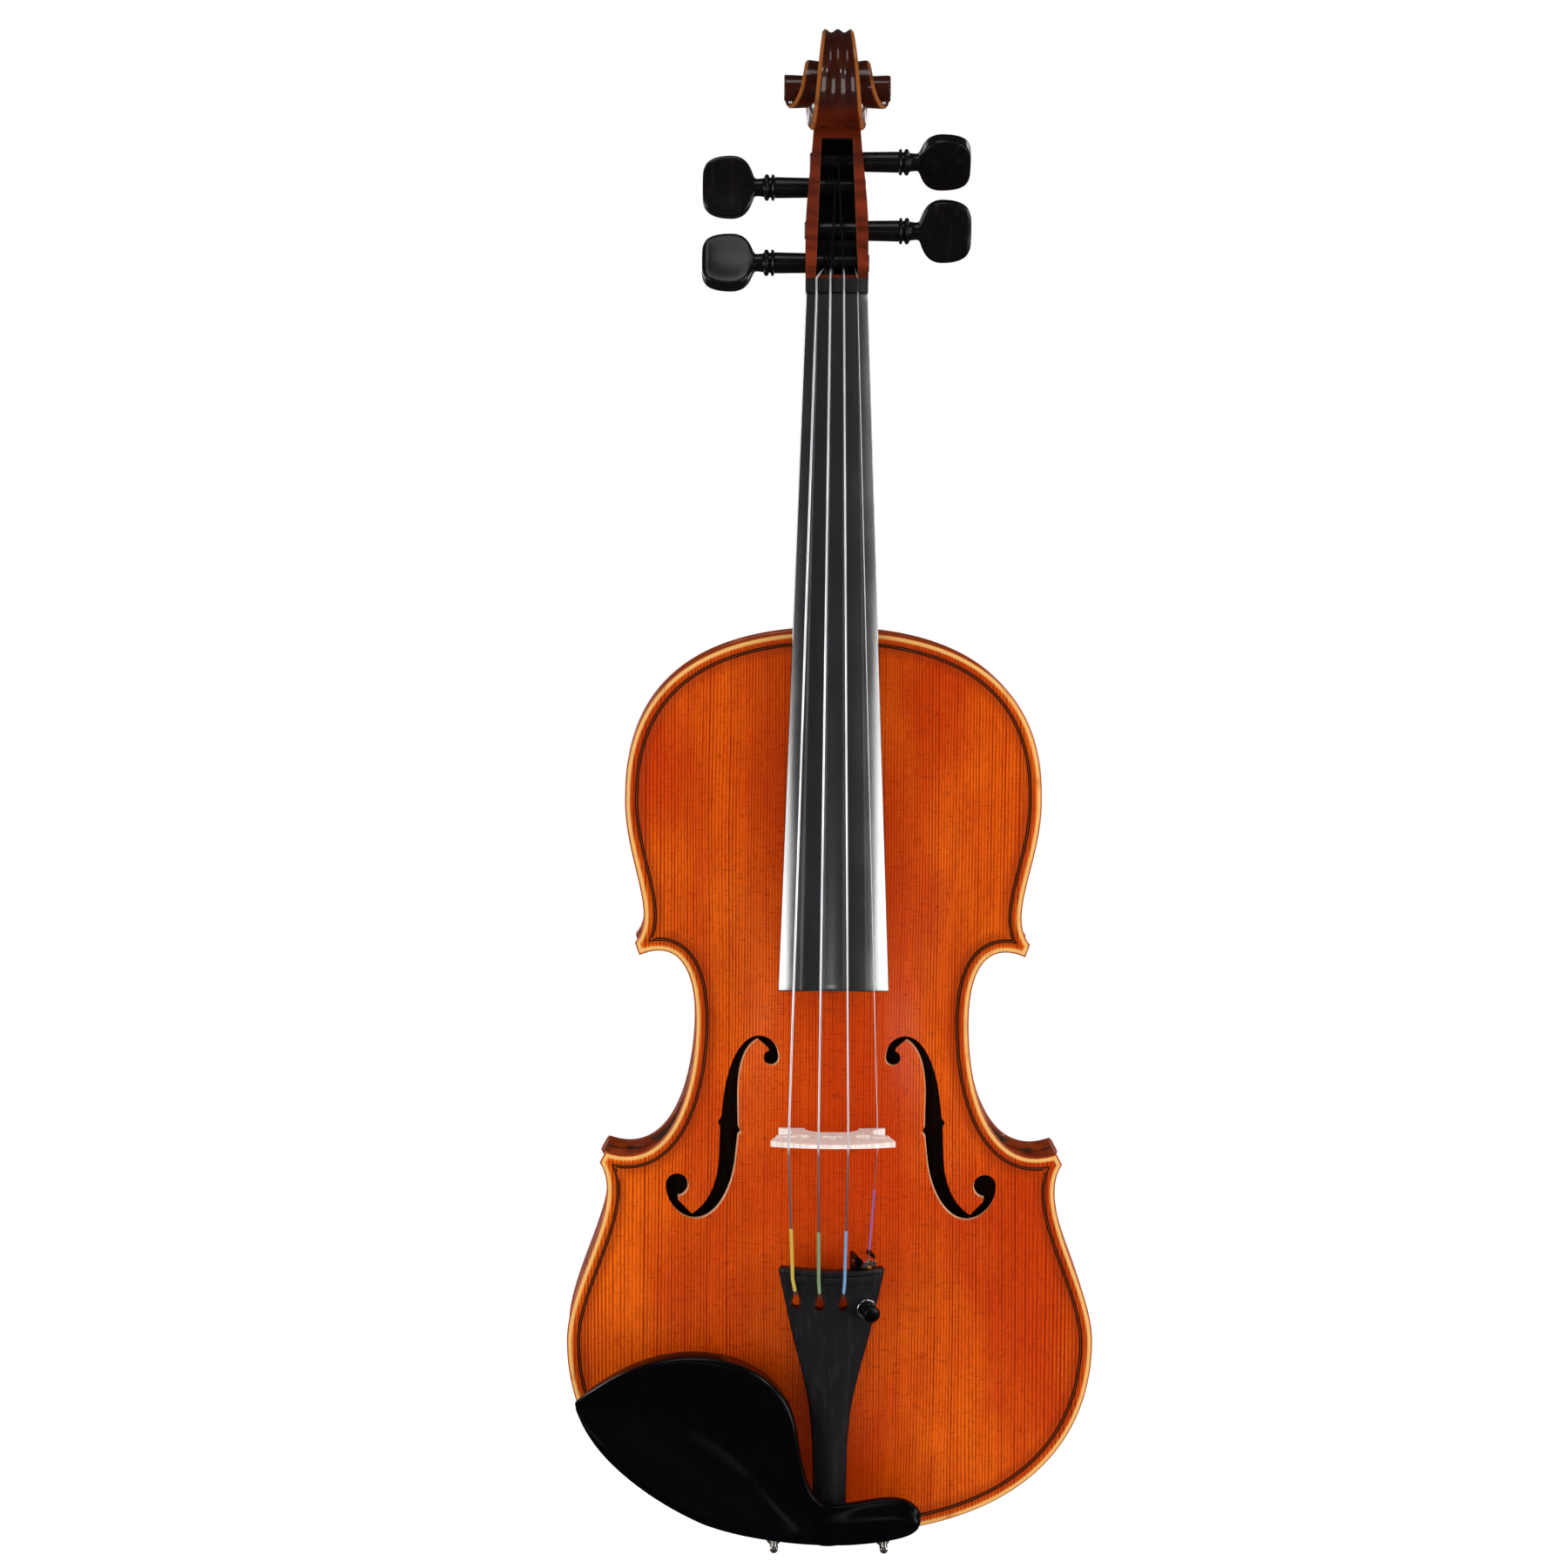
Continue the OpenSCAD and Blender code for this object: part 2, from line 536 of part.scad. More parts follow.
// Heel and tenon that hold the neck in the body
tenon_depth = 8;
heel_half = 10.8;
button_reach = 11.5;
heel_front = [[0, button_reach], [0.08, button_reach + 0.3], [0.28, button_reach + 2], [0.53,
    button_reach + 6],
    [0.78, button_reach + 13], [1, button_reach + 25]];
heel_points = 10;
function heel_width(share) = between(heel_half, root_half - 0.1, share);
function heel_section(q) = let (h = heel_width(q[0]), z = between(-rib_height, neck_rise, q[0])) concat(
    [for (k = [0:heel_points]) let (a = 180 * k / heel_points)
        [h * cos(a), body_length + q[1] * sin(a), z]]);
module tenon(gap = 0) translate([0, body_length + 0.5, 0]) rotate([90, 0, 0]) linear_extrude(tenon_depth
    + 0.5)
    polygon([[-heel_half - gap, -rib_height], [heel_half + gap, -rib_height],
        [root_half - 0.1 + gap, neck_rise], [-root_half + 0.1 - gap, neck_rise]]);
shaft_rows = [[8, 0], [0, 0], [-20, 0.1], [-45, 0.25], [-70, 0.45], [-95, 0.8], [-112, 1.2], [-124, 1.6]];
shaft_points = 12;
function shaft_section(q) = let (h = q[0] > 0 ? nut_width / 2 : board_half(q[0]))
    [for (k = [0:shaft_points])
    let (a = 180 * k / shaft_points) [h * cos(a), q[0], -(neck_depth + q[1]) * sin(a)]];

// Node modules

module upright() translate([0, hanger_z, -hanger_y]) rotate([90, 0, 0]) children();
hanger_p = 72;
hanger_w = -9;
hanger = on_neck([0, hanger_p, hanger_w]);
hanger_y = hanger.y;
hanger_z = hanger.z;

module saddle_notch() translate([-saddle_width / 2, -10, -1]) cube([saddle_width, 10 + saddle_depth, far]);
saddle_depth = 7.5;
saddle_rise = 5;

module top_plate() color(spruce) upright() difference() {
    plate(0, belly_rise);
    sound_holes();
    translate([0, 0, edge_thick - purfling_depth]) purfling_ring(0, far);
    saddle_notch();
    tenon();
}
module back_plate() color(maple) upright() translate([0, 0, -rib_height]) mirror([0, 0, 1]) {
    difference() {
        plate(back_margin, back_rise);
        translate([0, 0, edge_thick - purfling_depth]) purfling_ring(back_margin, far);
    }
    linear_extrude(edge_thick) intersection() {
        translate([0, body_length]) circle(button_reach);
        translate([-far, body_length + back_margin - 0.5]) square(2 * far);
    }
}
module top_purfling() color(ebony) upright() difference() {
    translate([0, 0, edge_thick - purfling_depth]) purfling_ring(0, purfling_depth);
    saddle_notch();
    tenon();
}
module back_purfling() color(ebony) upright() translate([0, 0, -rib_height - edge_thick])
    purfling_ring(back_margin, purfling_depth);

// Ribs, cut from one ring along the corners' mitres and the centre line
upper_mitre = atan2(-1, 1.35);
lower_mitre = atan2(1, 1.29);
upper_mid = (upper_tip + upper_inner_tip) / 2;
lower_mid = (lower_tip + lower_inner_tip) / 2;
function ray(from, angle, length) = from + length * [cos(angle), sin(angle)];
module rib_ring() difference() {
    rib_line(0);
    rib_line(rib_thick);
}
module rib_region(part) polygon(
    part == "upper" ? [[0, far * 2], [far, far * 2], ray(upper_mid, upper_mitre, far / 2), ray(upper_mid,
        upper_mitre, -30),
        [0, waist_y]] :
    part == "centre" ? [ray(upper_mid, upper_mitre, far / 2), ray(upper_mid, upper_mitre, -30), [0,
        waist_y],
        ray(lower_mid, lower_mitre, -30), ray(lower_mid, lower_mitre, far / 2), [far, waist_y]] :
    [[0, -far], [far, -far], ray(lower_mid, lower_mitre, far / 2), ray(lower_mid, lower_mitre, -30), [0,
        waist_y]]);
module rib(part, side) color(maple) upright() difference() {
    mirror([side, 0, 0]) translate([0, 0, -rib_height]) linear_extrude(rib_height) intersection() {
        rib_ring();
        rib_region(part);
    }
    if (part == "upper") tenon();
    if (part == "lower") button_bore();
}
module upper_rib_bass() rib("upper", 1);
module upper_rib_treble() rib("upper", 0);
module centre_rib_bass() rib("centre", 1);
module centre_rib_treble() rib("centre", 0);
module lower_rib_bass() rib("lower", 1);
module lower_rib_treble() rib("lower", 0);

// Blocks and linings
module upper_block_area() translate([-block_width / 2, body_length - overhang - rib_thick - block_depth])
    square([block_width, far]);
module lower_block_area() translate([-block_width / 2, overhang + rib_thick + block_depth - far])
    square([block_width, far]);
module corner_block_area() for (side = [0, 1]) mirror([side, 0]) for (tip = [upper_mid, lower_mid])
    translate(tip) circle(corner_block);
module upper_block() color(bare_maple) upright() difference() {
    translate([0, 0, -rib_height]) linear_extrude(rib_height) intersection() {
        rib_line(rib_thick);
        upper_block_area();
    }
    tenon();
}
module lower_block() color(bare_maple) upright() difference() {
    translate([0, 0, -rib_height]) linear_extrude(rib_height) intersection() {
        rib_line(rib_thick);
        lower_block_area();
    }
    button_bore();
}
module corner_blocks() color(bare_maple) upright() translate([0, 0, -rib_height])
    linear_extrude(rib_height) intersection() {
    rib_line(rib_thick);
    corner_block_area();
}
module linings() linear_extrude(lining_height) difference() {
    rib_line(rib_thick);
    rib_line(rib_thick + lining_thick);
    corner_block_area();
    upper_block_area();
    lower_block_area();
}
module top_linings() color(bare_maple) upright() translate([0, 0, -lining_height]) linings();
module back_linings() color(bare_maple) upright() translate([0, 0, -rib_height]) linings();

// Bass bar, from under the upper bout to over the lower one, fitted to the arch above it
bar_x = -15.5;
bar_lean = 2.5;
bar_rows = 14;
bar_gap = 0.75;
glue_line = 0.3;
function bar_section(k) = let (t = 2 * k / bar_rows - 1, y = body_length / 2 + t * bar_length / 2,
    x = bar_x + bar_lean * t,
    drop = between(bar_height, 2.5, t * t), left = x - bar_width / 2, right = x + bar_width / 2,
    low = min(ceiling_z(left, y), ceiling_z(right, y)) - bar_gap - drop)
    [[left, y, low], [right, y, low], [right, y, ceiling_z(right, y) - bar_gap],
    [left, y, ceiling_z(left, y) - bar_gap]];
module bass_bar() color(bare_maple) upright() loft([for (k = [0:bar_rows]) reversed(bar_section(k))]);

post_x = 17;
post_behind = 7;
module soundpost() color(bare_maple) upright() {
    y = bridge_y - post_behind;
    top = ceiling_z(post_x + post_diameter / 2, y) - glue_line;
    bottom = floor_z(post_x + post_diameter / 2, y) + glue_line;
    translate([post_x, y, bottom]) cylinder(h = top - bottom, d = post_diameter);
}

// Neck with its heel, pegbox and scroll, carved from one piece
module neck_scroll() color(maple) upright() difference() {
    union() {
        difference() {
            union() {
                neck_frame() loft([for (q = shaft_rows) shaft_section(q)]);
                loft([for (q = heel_front) reversed(heel_section(q))]);
                tenon();
            }
            neck_frame() translate([-far / 2, -far, 0]) cube([far, far + nut_length + 2, far]);
        }
        neck_frame() pegbox_block();
        neck_frame() volute();
    }
    neck_frame() translate([-far / 2, -1, 0]) cube([far, nut_length + 1, far]);
    neck_frame() pegbox_hollow();
    for (i = [0:3]) peg_bore(i);
}

module camber(radius, length) rotate([90 - board_slope, 0, 0]) translate([0, 0, -length / 2])
    cylinder(h = length * 2, r = radius, $fn = 96);
hollow_radius = 35;
hollow_depth = 3.2;
module fingerboard() color(ebony) upright() neck_frame() difference() {
    intersection() {
        linear_extrude(far / 4) polygon([[-nut_width / 2, 0], [nut_width / 2, 0],
            [board_width / 2, -board_length], [-board_width / 2, -board_length]]);
        translate([0, 0, board_top - camber_radius]) camber(camber_radius, board_length);
    }
    translate([0, root_p - 10, hollow_depth - hollow_radius]) rotate([90, 0, 0])
        cylinder(h = board_length, r = hollow_radius);
}

// Strings: order G, D, A, E
function spread(i, width) = width * (i / 3 - 0.5);
string_radius = [for (d = string_diameters) d / 2];
nut_proud = 0.9;
nut_notch = 0.35;
nut_top = board_top + nut_proud;
function nut_w(i) = nut_top - sagitta(camber_radius, abs(spread(i, nut_spread))) + string_radius[i]
    - nut_notch;
module nut() color(ebony) upright() neck_frame() difference() {
    intersection() {
        translate([-nut_width / 2, 0, 0]) cube([nut_width, nut_length, far / 4]);
        translate([0, 0, nut_top - camber_radius]) rotate([90, 0, 0]) cylinder(h = far,
            r = camber_radius, center = true, $fn = 96);
    }
    for (i = [0:3]) translate([spread(i, nut_spread), 0, nut_w(i)]) rotate([90, 0, 0])
        cylinder(h = far, r = string_radius[i] + seat_gap, center = true);
}

// Bridge, with its feet on the arch and its crown under the strings
bridge_base = belly_z(0, bridge_y);
bridge_top = bridge_base + bridge_height;
crown_radius = 42;
bridge_notch = 0.3;
foot_inner = 10.8;
function crown_z(x) = bridge_top - sagitta(crown_radius, abs(x));
function foot_z(x) = belly_z(x, bridge_y) + seat_gap;
function bridge_string(i) = [spread(i, bridge_spread), bridge_y, crown_z(spread(i, bridge_spread))
    + string_radius[i] - bridge_notch];
bridge_half = bridge_width / 2;
bridge_shoulder = 23.85;
bridge_knee = 21.4;
bridge_waist = 15.6;
function bridge_side() = concat(
    [[0, bridge_base + 8.6]],
    curve([3, bridge_base + 8.6], [8, bridge_base + 8.4], [9.5, bridge_base + 5.5], [foot_inner,
        foot_z(foot_inner) + 2.4], 4),
    [[foot_inner - 0.4, foot_z(foot_inner)], [bridge_half, foot_z(bridge_half)], [bridge_half,
        foot_z(bridge_half) + 2.3]],
    curve([bridge_half - 0.5, foot_z(bridge_half) + 2.8], [bridge_waist, foot_z(bridge_half) + 5],
        [bridge_waist, bridge_base + 7], [bridge_waist, bridge_base + 10.5], 5),
    curve([bridge_waist, bridge_base + 10.5], [bridge_waist, bridge_base + 13.4],
        [bridge_knee - 3, bridge_base + 13.6], [bridge_knee, bridge_base + 14.8], 5),
    [[bridge_knee, bridge_base + 14.8]]);
function crown_arc(steps) = [for (k = [0:steps]) let (x = between(bridge_shoulder, 0, k / steps)) [x,
    crown_z(x)]];
module bridge_face() difference() {
    side = concat(bridge_side(), crown_arc(8));
    polygon(concat(side, reversed(mirrored([for (k = [1:len(side) - 2]) side[k]]))));
    for (s = [-1, 1]) translate([s * 12.2, bridge_base + 17.2]) {
        circle(3.4);
        polygon([[0, 2.2], [s * 14, 3.4], [s * 14, 1.4], [s * 2, -1]]);
    }
    translate([0, bridge_base + 18]) {
        for (s = [-1, 1]) translate([s * 2, 0]) circle(2.3);
        polygon([[-2, 0], [2, 0], [0.7, 6], [-0.7, 6]]);
    }
    translate([0, bridge_base + 12.4]) circle(1.3);
}
module bridge() color(bare_maple) upright() difference() {
    intersection() {
        translate([0, bridge_y + bridge_foot_thick / 2, 0]) rotate([90, 0, 0])
            linear_extrude(bridge_foot_thick) bridge_face();
        translate([-far / 2, bridge_y, 0]) rotate([90, 0, 90]) linear_extrude(far)
            polygon([[-bridge_foot_thick / 2, 0], [bridge_foot_thick / 2, 0], [bridge_foot_thick / 2,
                bridge_base + 4],
                [bridge_top_thick / 2, bridge_top + 1], [-bridge_top_thick / 2, bridge_top + 1],
                [-bridge_foot_thick / 2, bridge_base + 4]]);
    }
    for (i = [0:3]) translate(bridge_string(i)) rotate([90, 0, 0])
        cylinder(h = far / 4, r = string_radius[i] + 4 * seat_gap, center = true);
}

// Tailpiece frame: y is the distance from its upper end towards the bridge, z is its outward normal
tail_angle = 9.8;
tail_y = tail_foot + tail_length * cos(tail_angle);
tail_z = 34.4;
module tail_frame() translate([0, tail_y, tail_z]) rotate([tail_angle, 0, 0]) children();
function on_tail(q) = [q.x, tail_y + q.y * cos(tail_angle) - q.z * sin(tail_angle),
    tail_z + q.y * sin(tail_angle) + q.z * cos(tail_angle)];
tail_foot_half = 6.4;
// Share of the length, share of the way from the upper to the lower width, and camber of the top
tail_table = [[0, 0], [0.1, 0.15], [0.27, 0.42], [0.4, 0.66], [0.55, 0.88], [0.7, 0.97], [0.85, 0.99],
    [1, 1]];
tail_camber_top = 5;
tail_camber_foot = 2.6;
function tail_half(s) = between(tail_width / 2, tail_foot_half, lookup(s, tail_table));
function tail_camber(s) = between(tail_camber_top, tail_camber_foot, s);
function tail_top(x, s) = -tail_camber(s) * pow(abs(x) / tail_half(s), 1.6);
tail_across = [-1, -0.75, -0.5, -0.25, 0, 0.25, 0.5, 0.75, 1];
function tail_section(s) = let (h = tail_half(s)) concat(
    [for (c = tail_across) [c * h, -s * tail_length, tail_top(c * h, s)]],
    [for (c = reversed(tail_across)) [0.97 * c * h, -s * tail_length, tail_top(c * h, s) - tail_thick]]);
tail_stations = [0, 0.05, 0.1, 0.18, 0.27, 0.4, 0.55, 0.7, 0.85, 0.96, 1];
key_y = -14;
key_radius = 1.9;
key_slot = 1.1;
key_slot_end = -8.5;
function key_x(i) = [-13.6, -4.5, 4.5][i];
module tail_key(x) translate([x, 0, -far / 2]) linear_extrude(far) {
    translate([0, key_y]) circle(key_radius);
    polygon([[-key_radius * 0.9, key_y + 0.6], [key_radius * 0.9, key_y + 0.6], [key_slot / 2,
        key_slot_end], [-key_slot / 2, key_slot_end]]);
}
module tailpiece() color(ebony) upright() tail_frame() difference() {
    loft([for (s = tail_stations) tail_section(s)]);
    for (i = [0:2]) tail_key(key_x(i));
    tuner_frame_place() cylinder(h = far, r = post_radius + 0.2, center = true);
    for (s = [-1, 1]) translate([s * gut_x, -tail_length - 1, gut_w]) rotate([-90, 0, 0])
        cylinder(h = gut_pocket + 2, r = gut_diameter / 2 + seat_gap);
    translate([-gut_x - 1.8, gut_pocket - tail_length, gut_w + 1.5 - far]) cube([2 * gut_x + 3.6,
        gut_pocket, far]);
}
fret_rise = 1.4;
fret_depth = 2.2;
fret_y = -3;
function fret_line(lift) = [for (k = [0:16]) let (x = (k / 8 - 1) * (tail_half(0.05) - 0.6)) [x,
    tail_top(x, -fret_y / tail_length) + lift]];
module tailpiece_fret() color(ebony) upright() tail_frame() translate([0, fret_y + fret_depth / 2, 0])
    rotate([90, 0, 0])
    linear_extrude(fret_depth) polygon(concat(fret_line(skin), reversed(fret_line(fret_rise))));

// Tailgut: two strands out of the tailpiece's foot, over the saddle and round the end button
gut_x = 3.4;
gut_w = -4.1;
gut_pocket = 7;
saddle_top = edge_thick + saddle_rise;
button_neck = 4.2;
button_z = -rib_height / 2;
button_seat = overhang;
gut_y = button_seat - 4;
gut_round = button_neck + gut_diameter / 2 + 0.1;
gut_start = on_tail([0, -tail_length + gut_pocket - 0.4, gut_w]);
gut_exit = on_tail([0, -tail_length, gut_w]);
gut_lift = saddle_top + gut_diameter / 2 + 0.1;
gut_strand = [gut_start, gut_exit, [0, 3, gut_lift], [0, 1, gut_lift - 0.1], [0, -0.6, gut_lift - 0.9],
    [0, gut_y + 0.3, gut_lift - 2.6],
    [0, gut_y, gut_lift - 5], [0, gut_y, button_z + 9]];
gut_arc = [for (k = [0:10]) let (a = 180 + 18 * k) [gut_round * cos(a), gut_y, button_z + gut_round
    * sin(a)]];
gut_path = concat([for (p = gut_strand) [-gut_x, p.y, p.z]], gut_arc, reversed([for (p = gut_strand)
    [gut_x, p.y, p.z]]));
module tailgut() color("#2a2a2c") upright() tube(gut_path, gut_diameter / 2, 8, [0.3, 1, -1]);
module tailgut_nuts() color("#b08d3c") upright() tail_frame() for (s = [-1, 1])
    translate([s * gut_x, -tail_length + gut_pocket + seat_gap, gut_w]) rotate([-90, 0, 0])
        cylinder(h = 3.5, r = 1.4);

// Saddle, let into the belly's edge
module saddle() color(ebony) upright() difference() {
    translate([-saddle_width / 2, saddle_depth, 0]) rotate([90, 0, 90]) linear_extrude(saddle_width)
        polygon(concat([[0, 0], [0, saddle_top - 2.5]], curve([0, saddle_top - 2.5], [-1, saddle_top],
            [-2, saddle_top],
            [-4, saddle_top], 4), curve([-4, saddle_top], [-6.5, saddle_top], [-saddle_depth + 0.6,
                saddle_top - 2],
            [-saddle_depth + 0.6, edge_thick], 4), [[-saddle_depth + 0.6, 0]]));
    for (s = [-1, 1]) translate([s * (saddle_width / 2 + 4), saddle_depth / 2, edge_thick + far / 2])
        cube([20, 20, far], center = true);
}

// End button, turned about the violin's long axis
button_shaft = 3.8;
button_out = 5.4;
module button_frame() translate([0, button_seat, button_z]) rotate([90, 0, 0]) children();
module button_bore() button_frame() translate([0, 0, -far / 4]) cylinder(h = far / 2, r = button_shaft
    + running);
module end_button() color(ebony) upright() button_frame() rotate_extrude() polygon(concat(
    [[0, -rib_thick - block_depth + 2], [button_shaft, -rib_thick - block_depth + 2], [button_shaft, 0],
        [button_out + 1, 0],
        [button_out + 1, 1.6], [button_out, 2.2], [button_neck, 2.9], [button_neck, 5.2], [button_radius,
            6.2],
        [button_radius, 6.2 + button_knob]],
    curve([button_radius - 0.6, 6.2 + button_knob + 0.6], [button_radius - 2, 7.8 + button_knob], [2, 8
        + button_knob],
        [0, 8 + button_knob], 6), [[0, 8 + button_knob]]));

// Peg: thumb piece, collars and tapered shaft, about its own axis
collar = 5.2;
head_start = peg_reach - peg_head_length;
thumb_dish = 45;
module thumb_piece() {
    h = peg_head_width / 2;
    l = peg_head_length;
    side = concat(curve([0, 3.4], [1, 3.6], [1.5, h], [l * 0.45, h], 5), curve([l * 0.45, h], [l * 0.85,
        h], [l, h * 0.75], [l, h * 0.35], 5),
        [[l, h * 0.35], [l + 0.01, 0]]);
    difference() {
        rotate([0, -90, 0]) translate([0, 0, -peg_head_thick / 2]) linear_extrude(peg_head_thick)
            polygon(concat(side, reversed([for (q = side) if (q.y > 0) [q.x, -q.y]])));
        for (s = [-1, 1]) translate([s * (thumb_dish + peg_head_thick / 2 - 1.6), 0, l / 2])
            sphere(thumb_dish, $fn = 96);
        for (s = [-1, 1]) translate([s * 12, 0, l + 9]) rotate([90, 0, 0]) cylinder(h = far, r = 11.6,
            center = true);
    }
}
module peg(i) color(ebony) upright() peg_frame(i) rotate([0, 0, peg_turn[i]]) {
    tip = peg_end(i);
    rotate_extrude() polygon([[0, tip], [peg_radius_at(tip) - 0.3, tip], [peg_radius_at(tip + 0.3), tip + 0.3],
        [peg_radius_at(head_start - 8), head_start - 8], [collar - 0.5, head_start - 7.8], [collar,
            head_start - 7.1],
        [collar - 0.5, head_start - 6.4], [collar - 1.3, head_start - 5.9], [collar - 0.4, head_start
            - 5.4],
        [collar, head_start - 4.6], [collar - 0.4, head_start - 3.8], [collar - 1.6, head_start - 3],
            [collar - 1.8, head_start + 0.5],
        [0, head_start + 0.5]]);
    translate([0, 0, head_start]) thumb_piece();
}
module peg_g() peg(0);
module peg_d() peg(1);
module peg_a() peg(2);
module peg_e() peg(3);

// Route of a string: ball or tuner, tailpiece fret, bridge, nut and its turns on the peg
wind_gap = 0.35;
wind_rings = 24;
wind_clear = 0.5;
wind_start = [-0.8, -0.4, 0.4, 1.2];
function wind_radius(i) = peg_radius_at(peg_side[i] * wind_start[i]) + wind_gap + string_radius[i];
function wind_pitch(i) = string_diameters[i] + wind_clear;
function nut_back(i) = [spread(i, nut_spread), nut_length, nut_w(i)];
// Angle, from the front towards the scroll, at which the string meets its peg
function meet_angle(i) = let (dp = peg_p[i] - nut_length, dw = peg_w[i] - nut_w(i))
    atan2(dp, dw) - acos(-wind_radius(i) / norm([dp, dw]));
function wind_point(i, t) = let (a = meet_angle(i) + 360 * t, r = wind_radius(i))
    [wind_start[i] + peg_side[i] * wind_pitch(i) * t, peg_p[i] + r * sin(a), peg_w[i] + r * cos(a)];
function winding(i) = [for (k = [0:string_turns * wind_rings]) on_neck(wind_point(i, k / wind_rings))];
fret_x = [-15, -5, 5];
function fret_point(i) = on_tail([fret_x[i], fret_y, tail_top(fret_x[i], -fret_y / tail_length)
    + fret_rise + string_radius[i] + seat_gap]);
function key_point(i, z) = on_tail([key_x(i), key_slot_end - 1.6, tail_top(key_x(i), 0.1) + z]);
ball_drop = -tail_thick - 1.9;
function tail_route(i) = i < 3 ? [key_point(i, ball_drop + 1.2), key_point(i, -tail_thick / 2),
    key_point(i, string_radius[i] + 0.3),
    between(key_point(i, string_radius[i] + 1), fret_point(i), 0.3), fret_point(i)] :
    [on_tuner([0, hook_y + 0.2, hook_z]), on_tuner([0, hook_y + 4, hook_z])];
function string_route(i) = concat(tail_route(i), [bridge_string(i), on_neck([spread(i, nut_spread), -0.2,
    nut_w(i)]),
    on_neck(nut_back(i))], winding(i));
module string(i, tint) color(tint) upright() tube(string_route(i), string_radius[i], 6, [1, 0, 0]);
module string_g() string(0, steel);
module string_d() string(1, steel);
module string_a() string(2, steel);
module string_e() string(3, steel);
// Least gap between neighbouring turns of a winding, from its points
function turn_gap(i) = let (path = winding(i), n = len(path)) min([for (a = [0:n - 1]) for (b = [a
    + wind_rings / 2:1:n - 1])
    norm(path[a] - path[b])]) - string_diameters[i];
for (i = [0:3]) echo(str("least gap of winding ", i, " to itself: ", turn_gap(i), " mm"));

// Silk wrapped round each string at its tail end
silk_wrap = 0.25;
silk_length = [15.6, 15.2, 15.8, 25.5];
silk_start = 1.5;
module silk(i, tint) color(tint) upright() {
    from = i < 3 ? fret_point(i) : on_tuner([0, hook_y + 4, hook_z]);
    way = unit(bridge_string(i) - from);
    sleeve(from + silk_start * way, from + silk_length[i] * way, string_radius[i] + silk_wrap,
        string_radius[i] + seat_gap / 2);
    if (i < 3) {
        lead = tail_route(i)[3];
        rise = unit(from - lead);
        sleeve(lead + 0.3 * rise, from - silk_start * rise, string_radius[i] + silk_wrap,
            string_radius[i] + seat_gap / 2);
    }
}
module silk_g() silk(0, "#e8c834");
module silk_d() silk(1, "#7da06c");
module silk_a() silk(2, "#6ea3d8");
module silk_e() silk(3, "#9a5aa8");
ball_radius = 1.7;
module string_balls() color("#b08d3c") upright() for (i = [0:2]) translate(key_point(i, ball_drop))
    sphere(ball_radius * 0.6);

// Fine tuner: its frame stands across the E slot, leaning out with the tailpiece's camber
tuner_x = 13;
tuner_y = -15;
tuner_lean = 18;
post_radius = 2.3;
thread_radius = 1.25;
frame_half = 4;
frame_top = -5.3;
frame_thick = 1.6;
frame_back = -5;
frame_front = 21;
slot_half = 2.7;
lever_half = 2.4;
ear_back = 15.9;
pivot_y = 18.4;
pivot_z = -2.6;
pin_radius = 0.8;
hook_y = 19.2;
hook_z = 4;
arm_top = -8.7;
arm_thick = 1.5;
tuner_seat = tail_top(tuner_x, -tuner_y / tail_length);
module tuner_frame_place() translate([tuner_x, tuner_y, tuner_seat]) rotate([0, tuner_lean, 0]) children();
module tuner_place() upright() tail_frame() tuner_frame_place() children();
function on_tuner(q) = on_tail([tuner_x + q.x * cos(tuner_lean) + q.z * sin(tuner_lean), tuner_y + q.y,
    tuner_seat - q.x * sin(tuner_lean) + q.z * cos(tuner_lean)]);
module pivot_bore(radius) translate([0, pivot_y, pivot_z]) rotate([0, 90, 0]) cylinder(h = far,
    r = radius, center = true);
module tuner_frame() color(ebony) tuner_place() difference() {
    union() {
        translate([-frame_half, frame_back, frame_top - frame_thick]) cube([2 * frame_half, frame_front
            - frame_back, frame_thick]);
        translate([0, 0, frame_top - 0.5]) cylinder(h = -frame_top + 4, r = post_radius);
        for (s = [-1, 1]) translate([s > 0 ? slot_half : -frame_half, ear_back, frame_top - 0.5])
            cube([frame_half - slot_half, frame_front - ear_back, pivot_z - frame_top + 2.8]);
    }
    translate([-slot_half, ear_back - 4, frame_top - 5]) cube([2 * slot_half, far, far]);
    cylinder(h = far, r = thread_radius + running, center = true);
    pivot_bore(pin_radius + seat_gap / 2);
}
module tuner_lock_nut() color(steel) tuner_place() difference() {
    translate([0, 0, 0.35]) cylinder(h = 2.2, r = post_radius + 1.7);
    cylinder(h = far, r = post_radius + seat_gap / 2, center = true);
}
screw_head = 3.2;
module tuner_screw() color(steel) tuner_place() rotate_extrude() polygon([[0, arm_top + 0.1], [0.7,
    arm_top + 0.1],
    [thread_radius, arm_top + 0.8], [thread_radius, 5.2], [screw_head - 0.8, 5.2], [screw_head, 5.8],
        [screw_head, 8.6],
    [screw_head - 0.6, 9.2], [1, 9.5], [0, 9.5]]);
module tuner_lever() color(steel) tuner_place() difference() {
    translate([-lever_half, 0, 0]) rotate([90, 0, 90]) linear_extrude(2 * lever_half)
        polygon([[-3, arm_top], [-3, arm_top - arm_thick], [17.6, arm_top - arm_thick], [19.4, arm_top],
            [20.4, pivot_z], [20.6, hook_z + 1.6], [18.2, hook_z + 1.6], [17, hook_z - 2], [16.4, pivot_z
                - 0.5], [15.4, arm_top]]);
    translate([-0.7, 0, hook_z - 1]) cube([1.4, far, far]);
    translate([-far, hook_y - 2.6, hook_z - 1.5]) cube([far * 2, 1.9, far]);
    pivot_bore(pin_radius + running);
}
